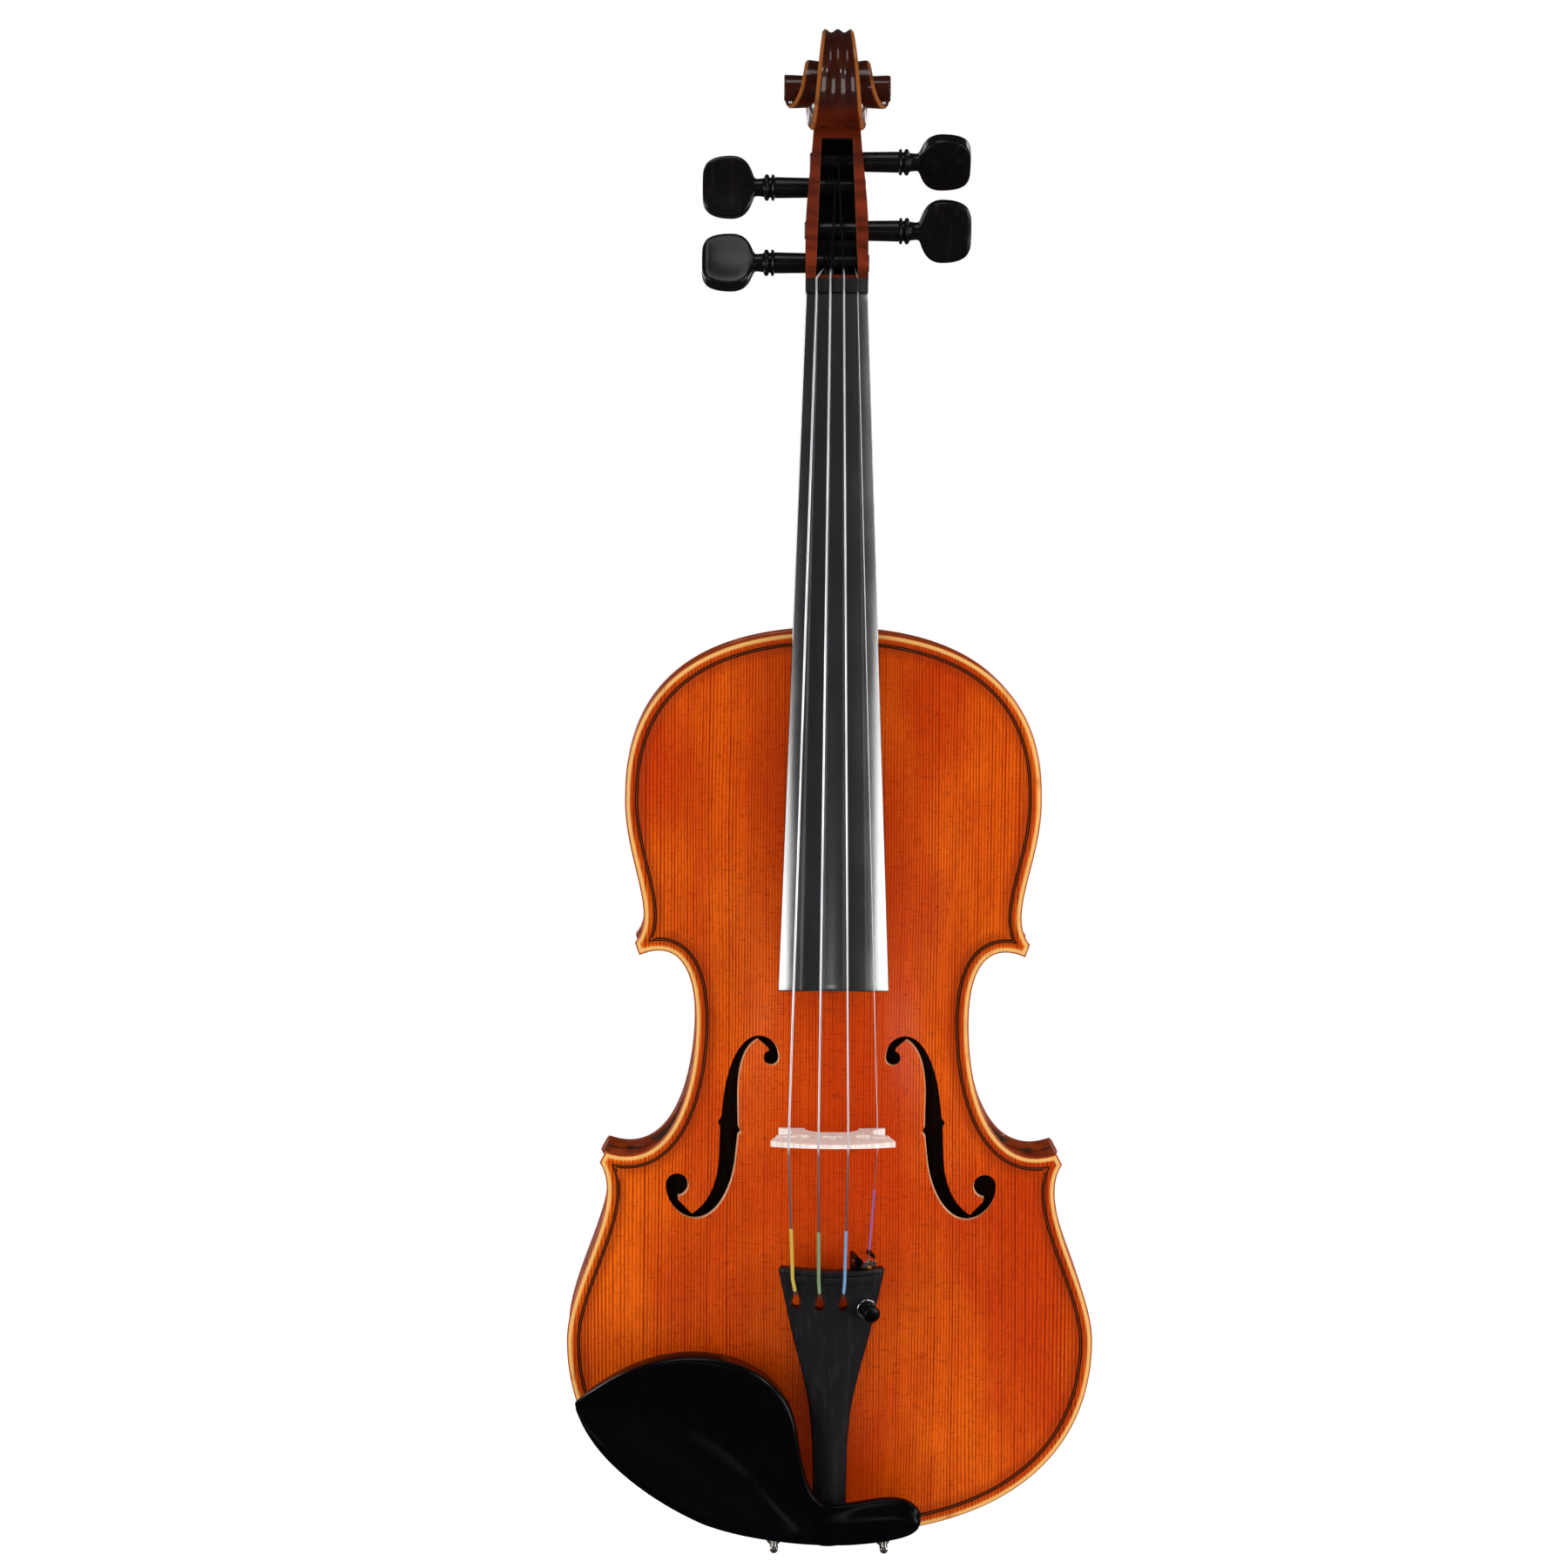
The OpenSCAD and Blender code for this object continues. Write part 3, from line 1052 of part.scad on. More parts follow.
module tuner_pin() color(steel) tuner_place() translate([0, pivot_y, pivot_z]) rotate([0, 90, 0])
    cylinder(h = 2 * frame_half + 0.6, r = pin_radius, center = true);
module e_ball() color("#b08d3c") tuner_place() translate([0, hook_y - 1.5, hook_z]) sphere(1.05);

// Chin rest: a strip between its upper and lower edges, dished at the bass side, with two feet
rest_steps = [5, 6, 5, 5, 3];
rest_upper = concat(
    curve([-98.8, 57.4], [-87, 68], [-70, 76], [-53.7, 76], rest_steps[0]),
    curve([-53.7, 76], [-33, 76], [-16, 66], [-13, 48], rest_steps[1]),
    curve([-13, 48], [-10.5, 33], [-9, 18.5], [0, 17.6], rest_steps[2]),
    curve([0, 17.6], [10, 17.2], [19, 21.5], [28, 20], rest_steps[3]),
    curve([28, 20], [33.5, 19], [36, 14.5], [35.5, 12.4], rest_steps[4]), [[35.5, 12.4]]);
rest_lower = concat(
    curve([-98.3, 54.4], [-93, 38], [-72, 20.5], [-49, 10.5], 10),
    curve([-49, 10.5], [-30, 3.4], [-8, 0.8], [8, 1.6], 9),
    curve([8, 1.6], [20, 2.4], [34.5, 4.5], [35, 9.4], 5), [[35, 9.4]]);
// Station, drop of the rim, share of the hollow and thickness of the wall
rest_table_rim = [[0, 2.5], [4, 0], [10, 0], [15, 3], [18, 4], [22, 4], [24, 6.5]];
rest_table_dish = [[0, 0], [3, 0.55], [7, 1], [11, 0.75], [15, 0.1], [17, -0.08], [24, -0.1]];
rest_table_wall = [[0, 4], [3, 9], [8, 8], [12, 8], [16, 6], [20, 6], [24, 3.5]];
rest_across = [0, 0.06, 0.2, 0.4, 0.6, 0.8, 0.94, 1];
function rest_top(k, c) = rest_height - lookup(k, rest_table_rim) - lookup(k, rest_table_dish)
    * rest_dish * to_square(sin(180 * c))
    - (c == 0 || c == 1 ? 1.6 : 0);
function rest_section(k) = let (low = rest_lower[k], high = rest_upper[k],
    floor = rest_top(k, 0.5) - (lookup(k, rest_table_wall)) + 0.5) concat(
    [for (c = rest_across) let (p = between(low, high, c)) [p.x, p.y, rest_top(k, c)]],
    [for (c = [0.97, 0.75, 0.25, 0.03]) let (p = between(low, high, c))
        [p.x, p.y, min(floor, rest_top(k, 0) - 2) - 0.5 * sin(180 * c)]]);
rest_foot_z = edge_thick + cork;
foot_start = saddle_width / 2 + 2;
foot_back = 12;
foot_front = 7;
module rest_feet(inset) for (s = [-1, 1]) translate([s > 0 ? foot_start + inset : -foot_start
    - (foot_width(s) - inset), foot_front + inset])
    square([foot_width(s) - 2 * inset, foot_back - foot_front - 2 * inset]);
function foot_width(s) = s > 0 ? 10 : 15;
module chin_rest() color(ebony) upright() {
    loft([for (k = [0:len(rest_upper) - 1]) rest_section(k)]);
    translate([0, 0, rest_foot_z]) linear_extrude(rest_height - 8 - rest_foot_z) rest_feet(0);
}
module chin_rest_cork() color(cork_brown) upright() translate([0, 0, edge_thick + skin])
    linear_extrude(cork - skin) rest_feet(0.5);

// Clamp: hooks under the chin rest, turnbuckle barrels beside the ribs and a foot under the back
leg_y = -rod_radius - 1.1;
clamp_pin_z = 14.6;
barrel_top = -1.5;
barrel_length = 25;
back_edge_z = -rib_height - edge_thick;
foot_plate = 2.2;
foot_half = leg_x + 5;
rod_end = barrel_top - barrel_length / 2;
module at_leg(s) translate([s * leg_x, leg_y, 0]) children();
// Each hook is an upright rod with a round end and a cross pin that meets the foot of the rest
module clamp_hooks() color(steel) upright() for (s = [-1, 1]) at_leg(s) {
    top = clamp_pin_z + rod_radius;
    rotate_extrude() polygon([[0, rod_end + 1.5], [rod_radius, rod_end + 1.5], [rod_radius, top - 1],
        [rod_radius - 0.3, top - 0.3], [rod_radius - 1, top], [0, top]]);
    translate([0, 0, clamp_pin_z]) rotate([-90, 0, 0]) cylinder(h = foot_front - leg_y - seat_gap,
        r = rod_radius - 0.2);
}
module clamp_barrel(s) color(steel) upright() at_leg(s) difference() {
    translate([0, 0, barrel_top - barrel_length]) rotate_extrude() polygon([[0, 0], [barrel_radius - 0.6,
        0], [barrel_radius, 0.8],
        [barrel_radius, barrel_length - 0.8], [barrel_radius - 0.6, barrel_length], [0, barrel_length]]);
    cylinder(h = far, r = rod_radius + running, center = true);
    for (z = [0.3, 0.7]) translate([0, 0, barrel_top - barrel_length * z]) rotate([90, 0, 360 * z])
        cylinder(h = far, r = 0.9, center = true);
}
module clamp_barrel_bass() clamp_barrel(-1);
module clamp_barrel_treble() clamp_barrel(1);
module clamp_foot() color(steel) upright() {
    translate([0, 0, back_edge_z - cork - foot_plate - seat_gap]) linear_extrude(foot_plate)
        polygon([[-foot_half, leg_y - 3], [foot_half, leg_y - 3], [foot_half, 4], [foot_half - 4,
            outer_flat - 0.5],
            [-foot_half + 4, outer_flat - 0.5], [-foot_half, 4]]);
    for (s = [-1, 1]) at_leg(s) translate([0, 0, back_edge_z - cork - foot_plate + 0.5])
        cylinder(h = rod_end - 1.5 - back_edge_z + cork + foot_plate - 0.5, r = rod_radius);
}
module clamp_cork() color(cork_brown) upright() translate([0, 0, back_edge_z - cork - seat_gap])
    linear_extrude(cork)
    polygon([[-foot_half + 1, 0.8], [foot_half - 1, 0.8], [foot_half - 5, outer_flat - 1], [-foot_half
        + 5, outer_flat - 1]]);

top_plate();
back_plate();
top_purfling();
back_purfling();
upper_rib_bass();
upper_rib_treble();
centre_rib_bass();
centre_rib_treble();
lower_rib_bass();
lower_rib_treble();
upper_block();
lower_block();
corner_blocks();
top_linings();
back_linings();
bass_bar();
soundpost();
neck_scroll();
fingerboard();
nut();
saddle();
bridge();
tailpiece();
tailpiece_fret();
tailgut();
tailgut_nuts();
end_button();
peg_g();
peg_d();
peg_a();
peg_e();
string_g();
string_d();
string_a();
string_e();
silk_g();
silk_d();
silk_a();
silk_e();
string_balls();
e_ball();
tuner_frame();
tuner_lock_nut();
tuner_screw();
tuner_lever();
tuner_pin();
chin_rest();
chin_rest_cork();
clamp_hooks();
clamp_barrel_bass();
clamp_barrel_treble();
clamp_foot();
clamp_cork();
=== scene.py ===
"""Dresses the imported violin: finer surfaces in place of its plain solids, finishes, light and camera.

Lengths are millimetres on the bench: x across to the treble side, y from the bottom edge up to the scroll,
z out of the belly with z = 0 where the belly meets the ribs. to_row() stands the bench up in metres.
"""

from __future__ import annotations

import json
import logging
import math
from dataclasses import dataclass, field
from enum import Enum
from typing import Callable, Sequence

import bmesh
import bpy
import numpy as np
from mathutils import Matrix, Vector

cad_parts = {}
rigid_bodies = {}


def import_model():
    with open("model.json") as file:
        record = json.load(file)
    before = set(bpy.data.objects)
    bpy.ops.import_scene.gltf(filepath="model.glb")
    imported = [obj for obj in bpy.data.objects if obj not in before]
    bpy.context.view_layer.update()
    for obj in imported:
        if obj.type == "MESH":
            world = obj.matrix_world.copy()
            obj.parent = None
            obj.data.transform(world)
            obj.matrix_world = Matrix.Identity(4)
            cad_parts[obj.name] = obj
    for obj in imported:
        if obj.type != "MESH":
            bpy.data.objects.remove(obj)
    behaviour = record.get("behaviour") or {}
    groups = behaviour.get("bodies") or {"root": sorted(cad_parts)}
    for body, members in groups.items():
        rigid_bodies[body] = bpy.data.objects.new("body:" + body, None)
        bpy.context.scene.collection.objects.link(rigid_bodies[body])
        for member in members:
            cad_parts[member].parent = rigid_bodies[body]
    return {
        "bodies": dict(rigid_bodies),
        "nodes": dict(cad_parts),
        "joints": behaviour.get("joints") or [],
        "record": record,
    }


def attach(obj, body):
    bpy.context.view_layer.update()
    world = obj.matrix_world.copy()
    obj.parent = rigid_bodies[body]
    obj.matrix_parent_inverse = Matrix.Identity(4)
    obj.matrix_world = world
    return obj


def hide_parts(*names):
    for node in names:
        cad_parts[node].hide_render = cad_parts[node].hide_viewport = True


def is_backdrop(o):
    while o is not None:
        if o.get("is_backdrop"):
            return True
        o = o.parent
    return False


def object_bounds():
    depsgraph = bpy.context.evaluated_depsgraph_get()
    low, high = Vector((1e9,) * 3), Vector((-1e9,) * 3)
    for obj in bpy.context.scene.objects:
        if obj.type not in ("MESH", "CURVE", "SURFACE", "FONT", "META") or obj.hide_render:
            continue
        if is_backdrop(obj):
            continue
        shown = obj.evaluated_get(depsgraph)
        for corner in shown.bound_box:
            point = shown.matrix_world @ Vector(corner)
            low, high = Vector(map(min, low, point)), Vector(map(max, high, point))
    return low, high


log = logging.getLogger("violin")
ROOT = "violin"
NAMES = ("g", "d", "a", "e")
E_STRING = 3
TINY = 1e-9
WELD = 0.001
Piece = bpy.types.Object
Material = bpy.types.Material
Array = np.ndarray
Number = float | Array
Pair = tuple[float, float]
Place = tuple[float, float, float]
Table = tuple[Pair, ...]


# Sizes that several sub-assemblies share


@dataclass(frozen=True)
class BodySizes:
    """Outline and arching of the sound box."""

    length: float = 356.0
    upper_bout: float = 162.5
    waist: float = 107.0
    lower_bout: float = 206.5
    upper_bout_y: float = 292.0
    waist_y: float = 203.0
    lower_bout_y: float = 77.0
    upper_tip: Pair = (77.2, 233.8)
    lower_tip: Pair = (90.7, 147.2)
    corner_width: float = 5.2
    rib_height: float = 31.0
    rib_thick: float = 1.2
    overhang: float = 2.8
    back_margin: float = 0.8
    edge_thick: float = 3.8
    belly_rise: float = 12.0
    back_rise: float = 11.5
    plate_thick: float = 3.2
    outer_flat: float = 8.0
    inner_flat: float = 11.0
    end_flat: float = 22.0
    shoulder_power: float = 2.2
    length_power: float = 2.4
    width_power: float = 1.25
    stop_length: float = 195.0
    button_reach: float = 11.5
    tenon_depth: float = 8.0

    @property
    def bridge_y(self) -> float:
        """Height of the bridge above the bottom edge."""
        return self.length - self.stop_length


@dataclass(frozen=True)
class NeckSizes:
    """Neck frame: p runs from the nut's front edge towards the scroll, w stands on the glued face."""

    length: float = 130.0
    nut_width: float = 24.0
    nut_length: float = 5.5
    board_length: float = 270.0
    board_width: float = 42.5
    board_edge: float = 5.0
    camber: float = 42.0
    angle: float = 6.3
    rise: float = 10.1
    depth: float = 12.5
    hanger_p: float = 72.0
    hanger_w: float = -9.0

    def place(self, x: Number, p: Number, w: Number) -> Array:
        """Bench points of neck points: a turn by the neck's lean about the nut's front edge."""
        x, p, w = together(x, p, w)
        y, z = turned(p, w, -self.angle)
        return np.stack([x, BODY.length + self.length + y, self.glue_z + z], -1)

    def measure(self, points: Array) -> tuple[Array, Array]:
        """Places p and w of bench points, the reverse of place()."""
        return turned(points[:, 1] - BODY.length - self.length, points[:, 2] - self.glue_z, self.angle)

    def board_half(self, p: Array) -> Array:
        """Half width of the fingerboard, which widens evenly from the nut to its free end."""
        return (self.nut_width + (self.board_width - self.nut_width) * -np.asarray(p) / self.board_length) / 2

    @property
    def glue_z(self) -> float:
        """Height of the glued face at the nut's front edge."""
        return self.rise - self.length * math.tan(math.radians(self.angle))

    @property
    def board_top(self) -> float:
        """Height of the fingerboard's crown over its glued face at the nut."""
        return self.board_edge + float(sagitta(self.camber, self.nut_width / 2))

    @property
    def root_p(self) -> float:
        """Place along the neck where it meets the body's edge."""
        return -self.length / math.cos(math.radians(self.angle))


@dataclass(frozen=True)
class TailSizes:
    """Tailpiece frame: y runs from the tailpiece's upper end to the bridge, z is its outward normal."""

    foot_y: float = 6.5
    top_z: float = 34.4
    angle: float = 9.8
    length: float = 105.0
    width: float = 41.3
    foot_half: float = 6.4
    thick: float = 4.6
    camber_top: float = 5.0
    camber_foot: float = 2.6
    camber_power: float = 1.6
    fret_y: float = -3.0
    fret_rise: float = 1.4
    fall: Table = ((0, 0), (0.1, 0.15), (0.27, 0.42), (0.4, 0.66), (0.55, 0.88), (0.7, 0.97), (0.85, 0.99),
                   (1, 1))

    def place(self, x: Number, y: Number, z: Number) -> Array:
        """Bench points of tailpiece points: a turn by the tailpiece's slope about its upper end."""
        x, y, z = together(x, y, z)
        y, z = turned(y, z, self.angle)
        top_y = self.foot_y + self.length * math.cos(math.radians(self.angle))
        return np.stack([x, top_y + y, self.top_z + z], -1)

    def half(self, share: Number) -> Array:
        """Half width at a share of the length, falling along a smooth curve to the foot."""
        return between(self.width / 2, self.foot_half, smooth_lookup(share, self.fall))

    def crown(self, x: Number, share: Number) -> Array:
        """Height of the upper face: it falls from the ridge with a power of the way to the side."""
        camber = between(self.camber_top, self.camber_foot, np.asarray(share))
        return -camber * (np.abs(x) / self.half(share)) ** self.camber_power


def together(*values: Number) -> list[Array]:
    """Values as arrays of one shared shape."""
    return np.broadcast_arrays(*(np.asarray(value, float) for value in values))


def between(first: Number, last: Number, share: Number) -> Number:
    """Value at a share of the way from a first to a last one."""
    return first + (last - first) * share


def turned(a: Number, b: Number, degrees: float) -> tuple[Number, Number]:
    """The two parts of a flat point after a turn about the origin."""
    angle = math.radians(degrees)
    return a * math.cos(angle) - b * math.sin(angle), a * math.sin(angle) + b * math.cos(angle)


def sagitta(radius: float, half: Number) -> Number:
    """Drop of a circle's arc at a distance from its crown."""
    return radius - np.sqrt(radius * radius - np.square(half))


def smooth_lookup(x: Number, table: Table) -> Array:
    """Smooth curve through a table: cubic pieces whose slopes are the harmonic means of their neighbours'.

    Args:
        x: Places to look up, held to the table's ends.
        table: Pairs of place and value, in order.

    Returns:
        The values, with no overshoot between the pairs.
    """
    places, values = np.array(table, float).T
    steps = np.diff(places)
    rises = np.diff(values) / steps
    slopes = np.zeros_like(values)
    same = rises[:-1] * rises[1:] > 0
    slopes[1:-1][same] = 2 * rises[:-1][same] * rises[1:][same] / (rises[:-1] + rises[1:])[same]
    slopes[0], slopes[-1] = rises[0], rises[-1]
    x = np.clip(np.asarray(x, float), places[0], places[-1])
    k = np.clip(np.searchsorted(places, x, side="right") - 1, 0, len(steps) - 1)
    t = (x - places[k]) / steps[k]
    rest = 1 - t
    ends = values[k] * (1 + 2 * t) * rest ** 2 + values[k + 1] * t ** 2 * (3 - 2 * t)
    return ends + steps[k] * t * rest * (slopes[k] * rest - slopes[k + 1] * t)


BODY = BodySizes()
NECK = NeckSizes()
TAIL = TailSizes()
HANGER = NECK.place(0, NECK.hanger_p, NECK.hanger_w)


def to_row(points: Array) -> Array:
    """Stands bench points up: the belly to the front, the scroll up, the hanger's point at the origin."""
    return np.stack([points[:, 0], HANGER[2] - points[:, 2], points[:, 1] - HANGER[1]], -1) / 1000


# Surfaces


@dataclass
class Shell:
    """Bench points of a surface, the faces that join them and named values at the points."""

    points: Array
    faces: list[list[int]]
    marks: dict[str, Array] = field(default_factory=dict)

    def moved(self, move: Callable[[Array], Array]) -> Shell:
        """The same faces over points that a function has moved."""
        return Shell(move(self.points), self.faces, self.marks)

    def mirrored(self) -> Shell:
        """The same shape on the other side of the middle plane."""
        return self.moved(lambda points: points * (-1, 1, 1))


def join(*shells: Shell) -> Shell:
    """One shell of several separate ones that carry the same marks."""
    starts = np.cumsum([0] + [len(shell.points) for shell in shells])
    faces = [[i + int(start) for i in face] for shell, start in zip(shells, starts) for face in shell.faces]
    marks = {key: np.concatenate([shell.marks[key] for shell in shells]) for key in shells[0].marks}
    return Shell(np.concatenate([shell.points for shell in shells]), faces, marks)


def grid(points: Array, ends: bool = True) -> Shell:
    """Surface over rows of points whose columns close round, with a flat face at both ends.

    Args:
        points: Array of rows, columns and coordinates.
        ends: Whether the first and last row are closed.

    Returns:
        The shell of four-sided faces between neighbouring rows.
    """
    rows, columns = points.shape[:2]
    row = np.arange(rows - 1)[:, None] * columns
    near = np.arange(columns)[None, :]
    far = (near + 1) % columns
    corners = (row + near, row + far, row + columns + far, row + columns + near)
    faces = np.stack(corners, -1).reshape(-1, 4).tolist()
    if ends:
        faces += [list(range(columns))[::-1], list(range((rows - 1) * columns, rows * columns))]
    return Shell(points.reshape(-1, 3), faces)


def round_turn(count: int) -> Array:
    """Even angles of one full turn, without the last."""
    return np.linspace(0, 2 * np.pi, count, endpoint=False)


def distances(line: Array) -> Array:
    """Distance along a line from its first point to each of its points."""
    return np.concatenate([[0], np.cumsum(np.linalg.norm(np.diff(line, axis=0), axis=1))])


def at_level(flat: Array, z: float) -> Array:
    """Flat points lifted to one height."""
    return np.column_stack([flat, np.full(len(flat), z)])


def both_sides(half: Array) -> Array:
    """A half line that starts and ends on the middle plane, closed by its mirror image."""
    flip = np.where(np.arange(half.shape[1]) == 0, -1, 1)
    return np.concatenate([half, half[-2:0:-1] * flip])


def tube(path: Array, radius: Number, sides: int, aside: Sequence[float]) -> Shell:
    """Round tube: a circle square to the path at each of its points, set out from one fixed direction.

    Args:
        path: Points of the centre line.
        radius: One radius, or one for each point.
        sides: Points round the circle.
        aside: Direction that the first point of each circle turns to.

    Returns:
        The closed tube, with the distance along it as its mark.
    """
    ahead = np.gradient(path, axis=0)
    ahead /= np.linalg.norm(ahead, axis=1, keepdims=True)
    across = aside - (ahead @ np.array(aside, float))[:, None] * ahead
    across /= np.linalg.norm(across, axis=1, keepdims=True)
    third = np.cross(ahead, across)
    turn = round_turn(sides)[None, :, None]
    ring = np.cos(turn) * across[:, None] + np.sin(turn) * third[:, None]
    reach = np.broadcast_to(np.asarray(radius, float), len(path))[:, None, None]
    shell = grid(path[:, None] + reach * ring)
    shell.marks["along"] = np.repeat(distances(path), sides)
    return shell


def revolve(profile: Array, sides: int = 64) -> Shell:
    """Turned solid: a profile of radius and height carried round the third axis."""
    turn = round_turn(sides)
    radius, height = np.maximum(profile[:, :1], 1e-4), profile[:, 1:]
    return grid(np.stack([radius * np.cos(turn), radius * np.sin(turn), height + 0 * turn], -1))


def prism(outline: Array, low: float, high: float) -> Shell:
    """Straight prism over a flat outline, between two heights."""
    return grid(np.stack([at_level(outline, low), at_level(outline, high)]))


def block(left: float, right: float, near: float, far: float, low: float, high: float) -> Shell:
    """Straight block between two places on each axis."""
    return prism(np.array([(left, near), (right, near), (right, far), (left, far)]), low, high)


def bezier(*handles: Sequence[float], steps: int = 16) -> Array:
    """Points of a cubic curve from its first handle up to, but without, its last."""
    t = np.linspace(0, 1, steps, endpoint=False)[:, None]
    a, b, c, d = (np.array(handle, float) for handle in handles)
    return (1 - t) ** 3 * a + 3 * (1 - t) ** 2 * t * b + 3 * (1 - t) * t ** 2 * c + t ** 3 * d


def drawn(pieces: Sequence[tuple], per_step: int) -> Array:
    """Points of a line of cubic curves, each given as its number of steps and its four handles."""
    curves = [bezier(*handles, steps=steps * per_step) for steps, *handles in pieces]
    return np.concatenate(curves + [[pieces[-1][-1]]])


def directions(line: Array) -> tuple[Array, Array]:
    """Directions along a flat line and its normals to the left, square to the middle plane at ends on it."""
    ahead = np.gradient(line, axis=0)
    ahead /= np.linalg.norm(ahead, axis=1, keepdims=True)
    normal = np.stack([-ahead[:, 1], ahead[:, 0]], -1)
    for end in (0, -1):
        if abs(line[end, 0]) < TINY:
            normal[end] = (0, np.sign(normal[end, 1]))
    return ahead, normal


def circle(centre: Sequence[float], radius: float, steps: int = 48) -> Array:
    """Points of a flat circle."""
    turn = round_turn(steps)
    return np.array(centre) + radius * np.column_stack([np.cos(turn), np.sin(turn)])


def resample(line: Array, count: int) -> Array:
    """The same line with evenly spaced points."""
    along = distances(line)
    even = np.linspace(0, along[-1], count)
    return np.column_stack([np.interp(even, along, line[:, axis]) for axis in range(line.shape[1])])


def crossing(first: Array, second: Array) -> tuple[int, int, Array]:
    """Where two lines cross: the point at which a stretch of each has the other's ends on both sides.

    Args:
        first: Points of one line.
        second: Points of the other line.

    Returns:
        Index of the stretch on each line, and the crossing point.
    """
    a, u = first[:-1, None], np.diff(first, axis=0)[:, None]
    b, v = second[None, :-1], np.diff(second, axis=0)[None]
    turn = u[..., 0] * v[..., 1] - u[..., 1] * v[..., 0]
    turn = np.where(np.abs(turn) < 1e-12, 1e-12, turn)
    gap = b - a
    s = (gap[..., 0] * v[..., 1] - gap[..., 1] * v[..., 0]) / turn
    t = (gap[..., 0] * u[..., 1] - gap[..., 1] * u[..., 0]) / turn
    i, j = np.argwhere((s >= 0) & (s <= 1) & (t >= 0) & (t <= 1))[0]
    return int(i), int(j), between(first[i], first[i + 1], s[i, j])


def unworn(shell: Shell, edge: float = 40.0) -> Shell:
    """A shell marked as lying far from any worn edge."""
    return Shell(shell.points, shell.faces, {"edge": np.full(len(shell.points), edge)})


def hang(name: str, data: bpy.types.ID) -> Piece:
    """Puts a mesh, a lamp or a camera into the scene as an object at the origin."""
    item = bpy.data.objects.new(name, data)
    bpy.context.scene.collection.objects.link(item)
    return item


def form(name: str, shell: Shell, weld: float = 0.0) -> Piece:
    """Puts a shell into a mesh object at the origin, with its faces turned outwards.

    Args:
        name: The piece's name.
        shell: Points on the bench, faces and marks.
        weld: Distance in millimetres under which points become one.

    Returns:
        The new object.
    """
    mesh = bpy.data.meshes.new(name)
    mesh.from_pydata(to_row(shell.points).tolist(), [], shell.faces)
    for key, values in shell.marks.items():
        mesh.attributes.new(key, "FLOAT", "POINT").data.foreach_set("value", values.astype(np.float32))
    work = bmesh.new()
    work.from_mesh(mesh)
    if weld:
        bmesh.ops.remove_doubles(work, verts=work.verts, dist=weld / 1000)
    bmesh.ops.recalc_face_normals(work, faces=work.faces)
    work.to_mesh(mesh)
    work.free()
    return hang(name, mesh)


def carve(piece: Piece, tool_shell: Shell) -> None:
    """Cuts a shell out of a piece and keeps the cut mesh."""
    tool = form("carving_tool", tool_shell)
    cut = piece.modifiers.new("carve", "BOOLEAN")
    cut.operation = "DIFFERENCE"
    cut.solver = "EXACT"
    cut.object = tool
    bpy.context.view_layer.update()
    graph = bpy.context.evaluated_depsgraph_get()
    carved = bpy.data.meshes.new_from_object(piece.evaluated_get(graph))
    plain = piece.data
    piece.modifiers.clear()
    piece.data = carved
    for used in (tool.data, plain):
        used.name = "used_up"
    carved.name = piece.name
    bpy.data.objects.remove(tool)


def read(items: bpy.types.bpy_prop_collection, key: str) -> Array:
    """A vector of each point or face of a mesh, as rows."""
    flat = np.empty(len(items) * 3, np.float32)
    items.foreach_get(key, flat)
    return flat.reshape(-1, 3).astype(float)


def bench_points(piece: Piece, faces: bool = False) -> Array:
    """A piece's points or the centres of its faces, laid back on the bench in millimetres."""
    places = read(piece.data.polygons, "center") if faces else read(piece.data.vertices, "co")
    x, y, z = places.T * 1000
    return np.stack([x, z + HANGER[1], HANGER[2] - y], -1)


def outward_z(piece: Piece) -> Array:
    """How far each face looks out of the belly: the bench z of its normal."""
    return -read(piece.data.polygons, "normal")[:, 1]


def mark(piece: Piece, key: str, values: Array) -> None:
    """Writes one named value for each point of a piece."""
    layer = piece.data.attributes.get(key) or piece.data.attributes.new(key, "FLOAT", "POINT")
    layer.data.foreach_set("value", values.astype(np.float32))


def dress(piece: Piece, finishes: Sequence[Finish], slot: str, node: str, body: str = ROOT,
          crease: float = 35.0, second: Array | None = None) -> None:
    """Gives a piece its finishes, smooth shading and the body it rides on, and hides the node it stands for.

    Args:
        piece: The object to dress.
        finishes: One finish, or two where some faces take the second.
        slot: The record's material slot; not used.
        node: CAD node that the piece stands for.
        body: CAD body that it moves with.
        crease: Edges sharper than this many degrees stay sharp.
        second: Faces that take the second finish.
    """
    mesh = piece.data
    mesh.materials.clear()
    for finish in finishes:
        mesh.materials.append(finish.material())
    which = np.zeros(len(mesh.polygons), np.int32) if second is None else second.astype(np.int32)
    mesh.polygons.foreach_set("material_index", which)
    mesh.polygons.foreach_set("use_smooth", np.ones(len(mesh.polygons), bool))
    mesh.set_sharp_from_angle(angle=math.radians(crease))
    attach(piece, body)
    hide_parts(node)
    log.info("%s: %d faces for %s", piece.name, len(mesh.polygons), node)


# Finishes


def colour(code: str) -> tuple[float, ...]:
    """Linear colour of a six-digit display colour."""
    levels = [int(code[i:i + 2], 16) / 255 for i in (1, 3, 5)]
    linear = [v / 12.92 if v <= 0.04045 else ((v + 0.055) / 1.055) ** 2.4 for v in levels]
    return *linear, 1.0


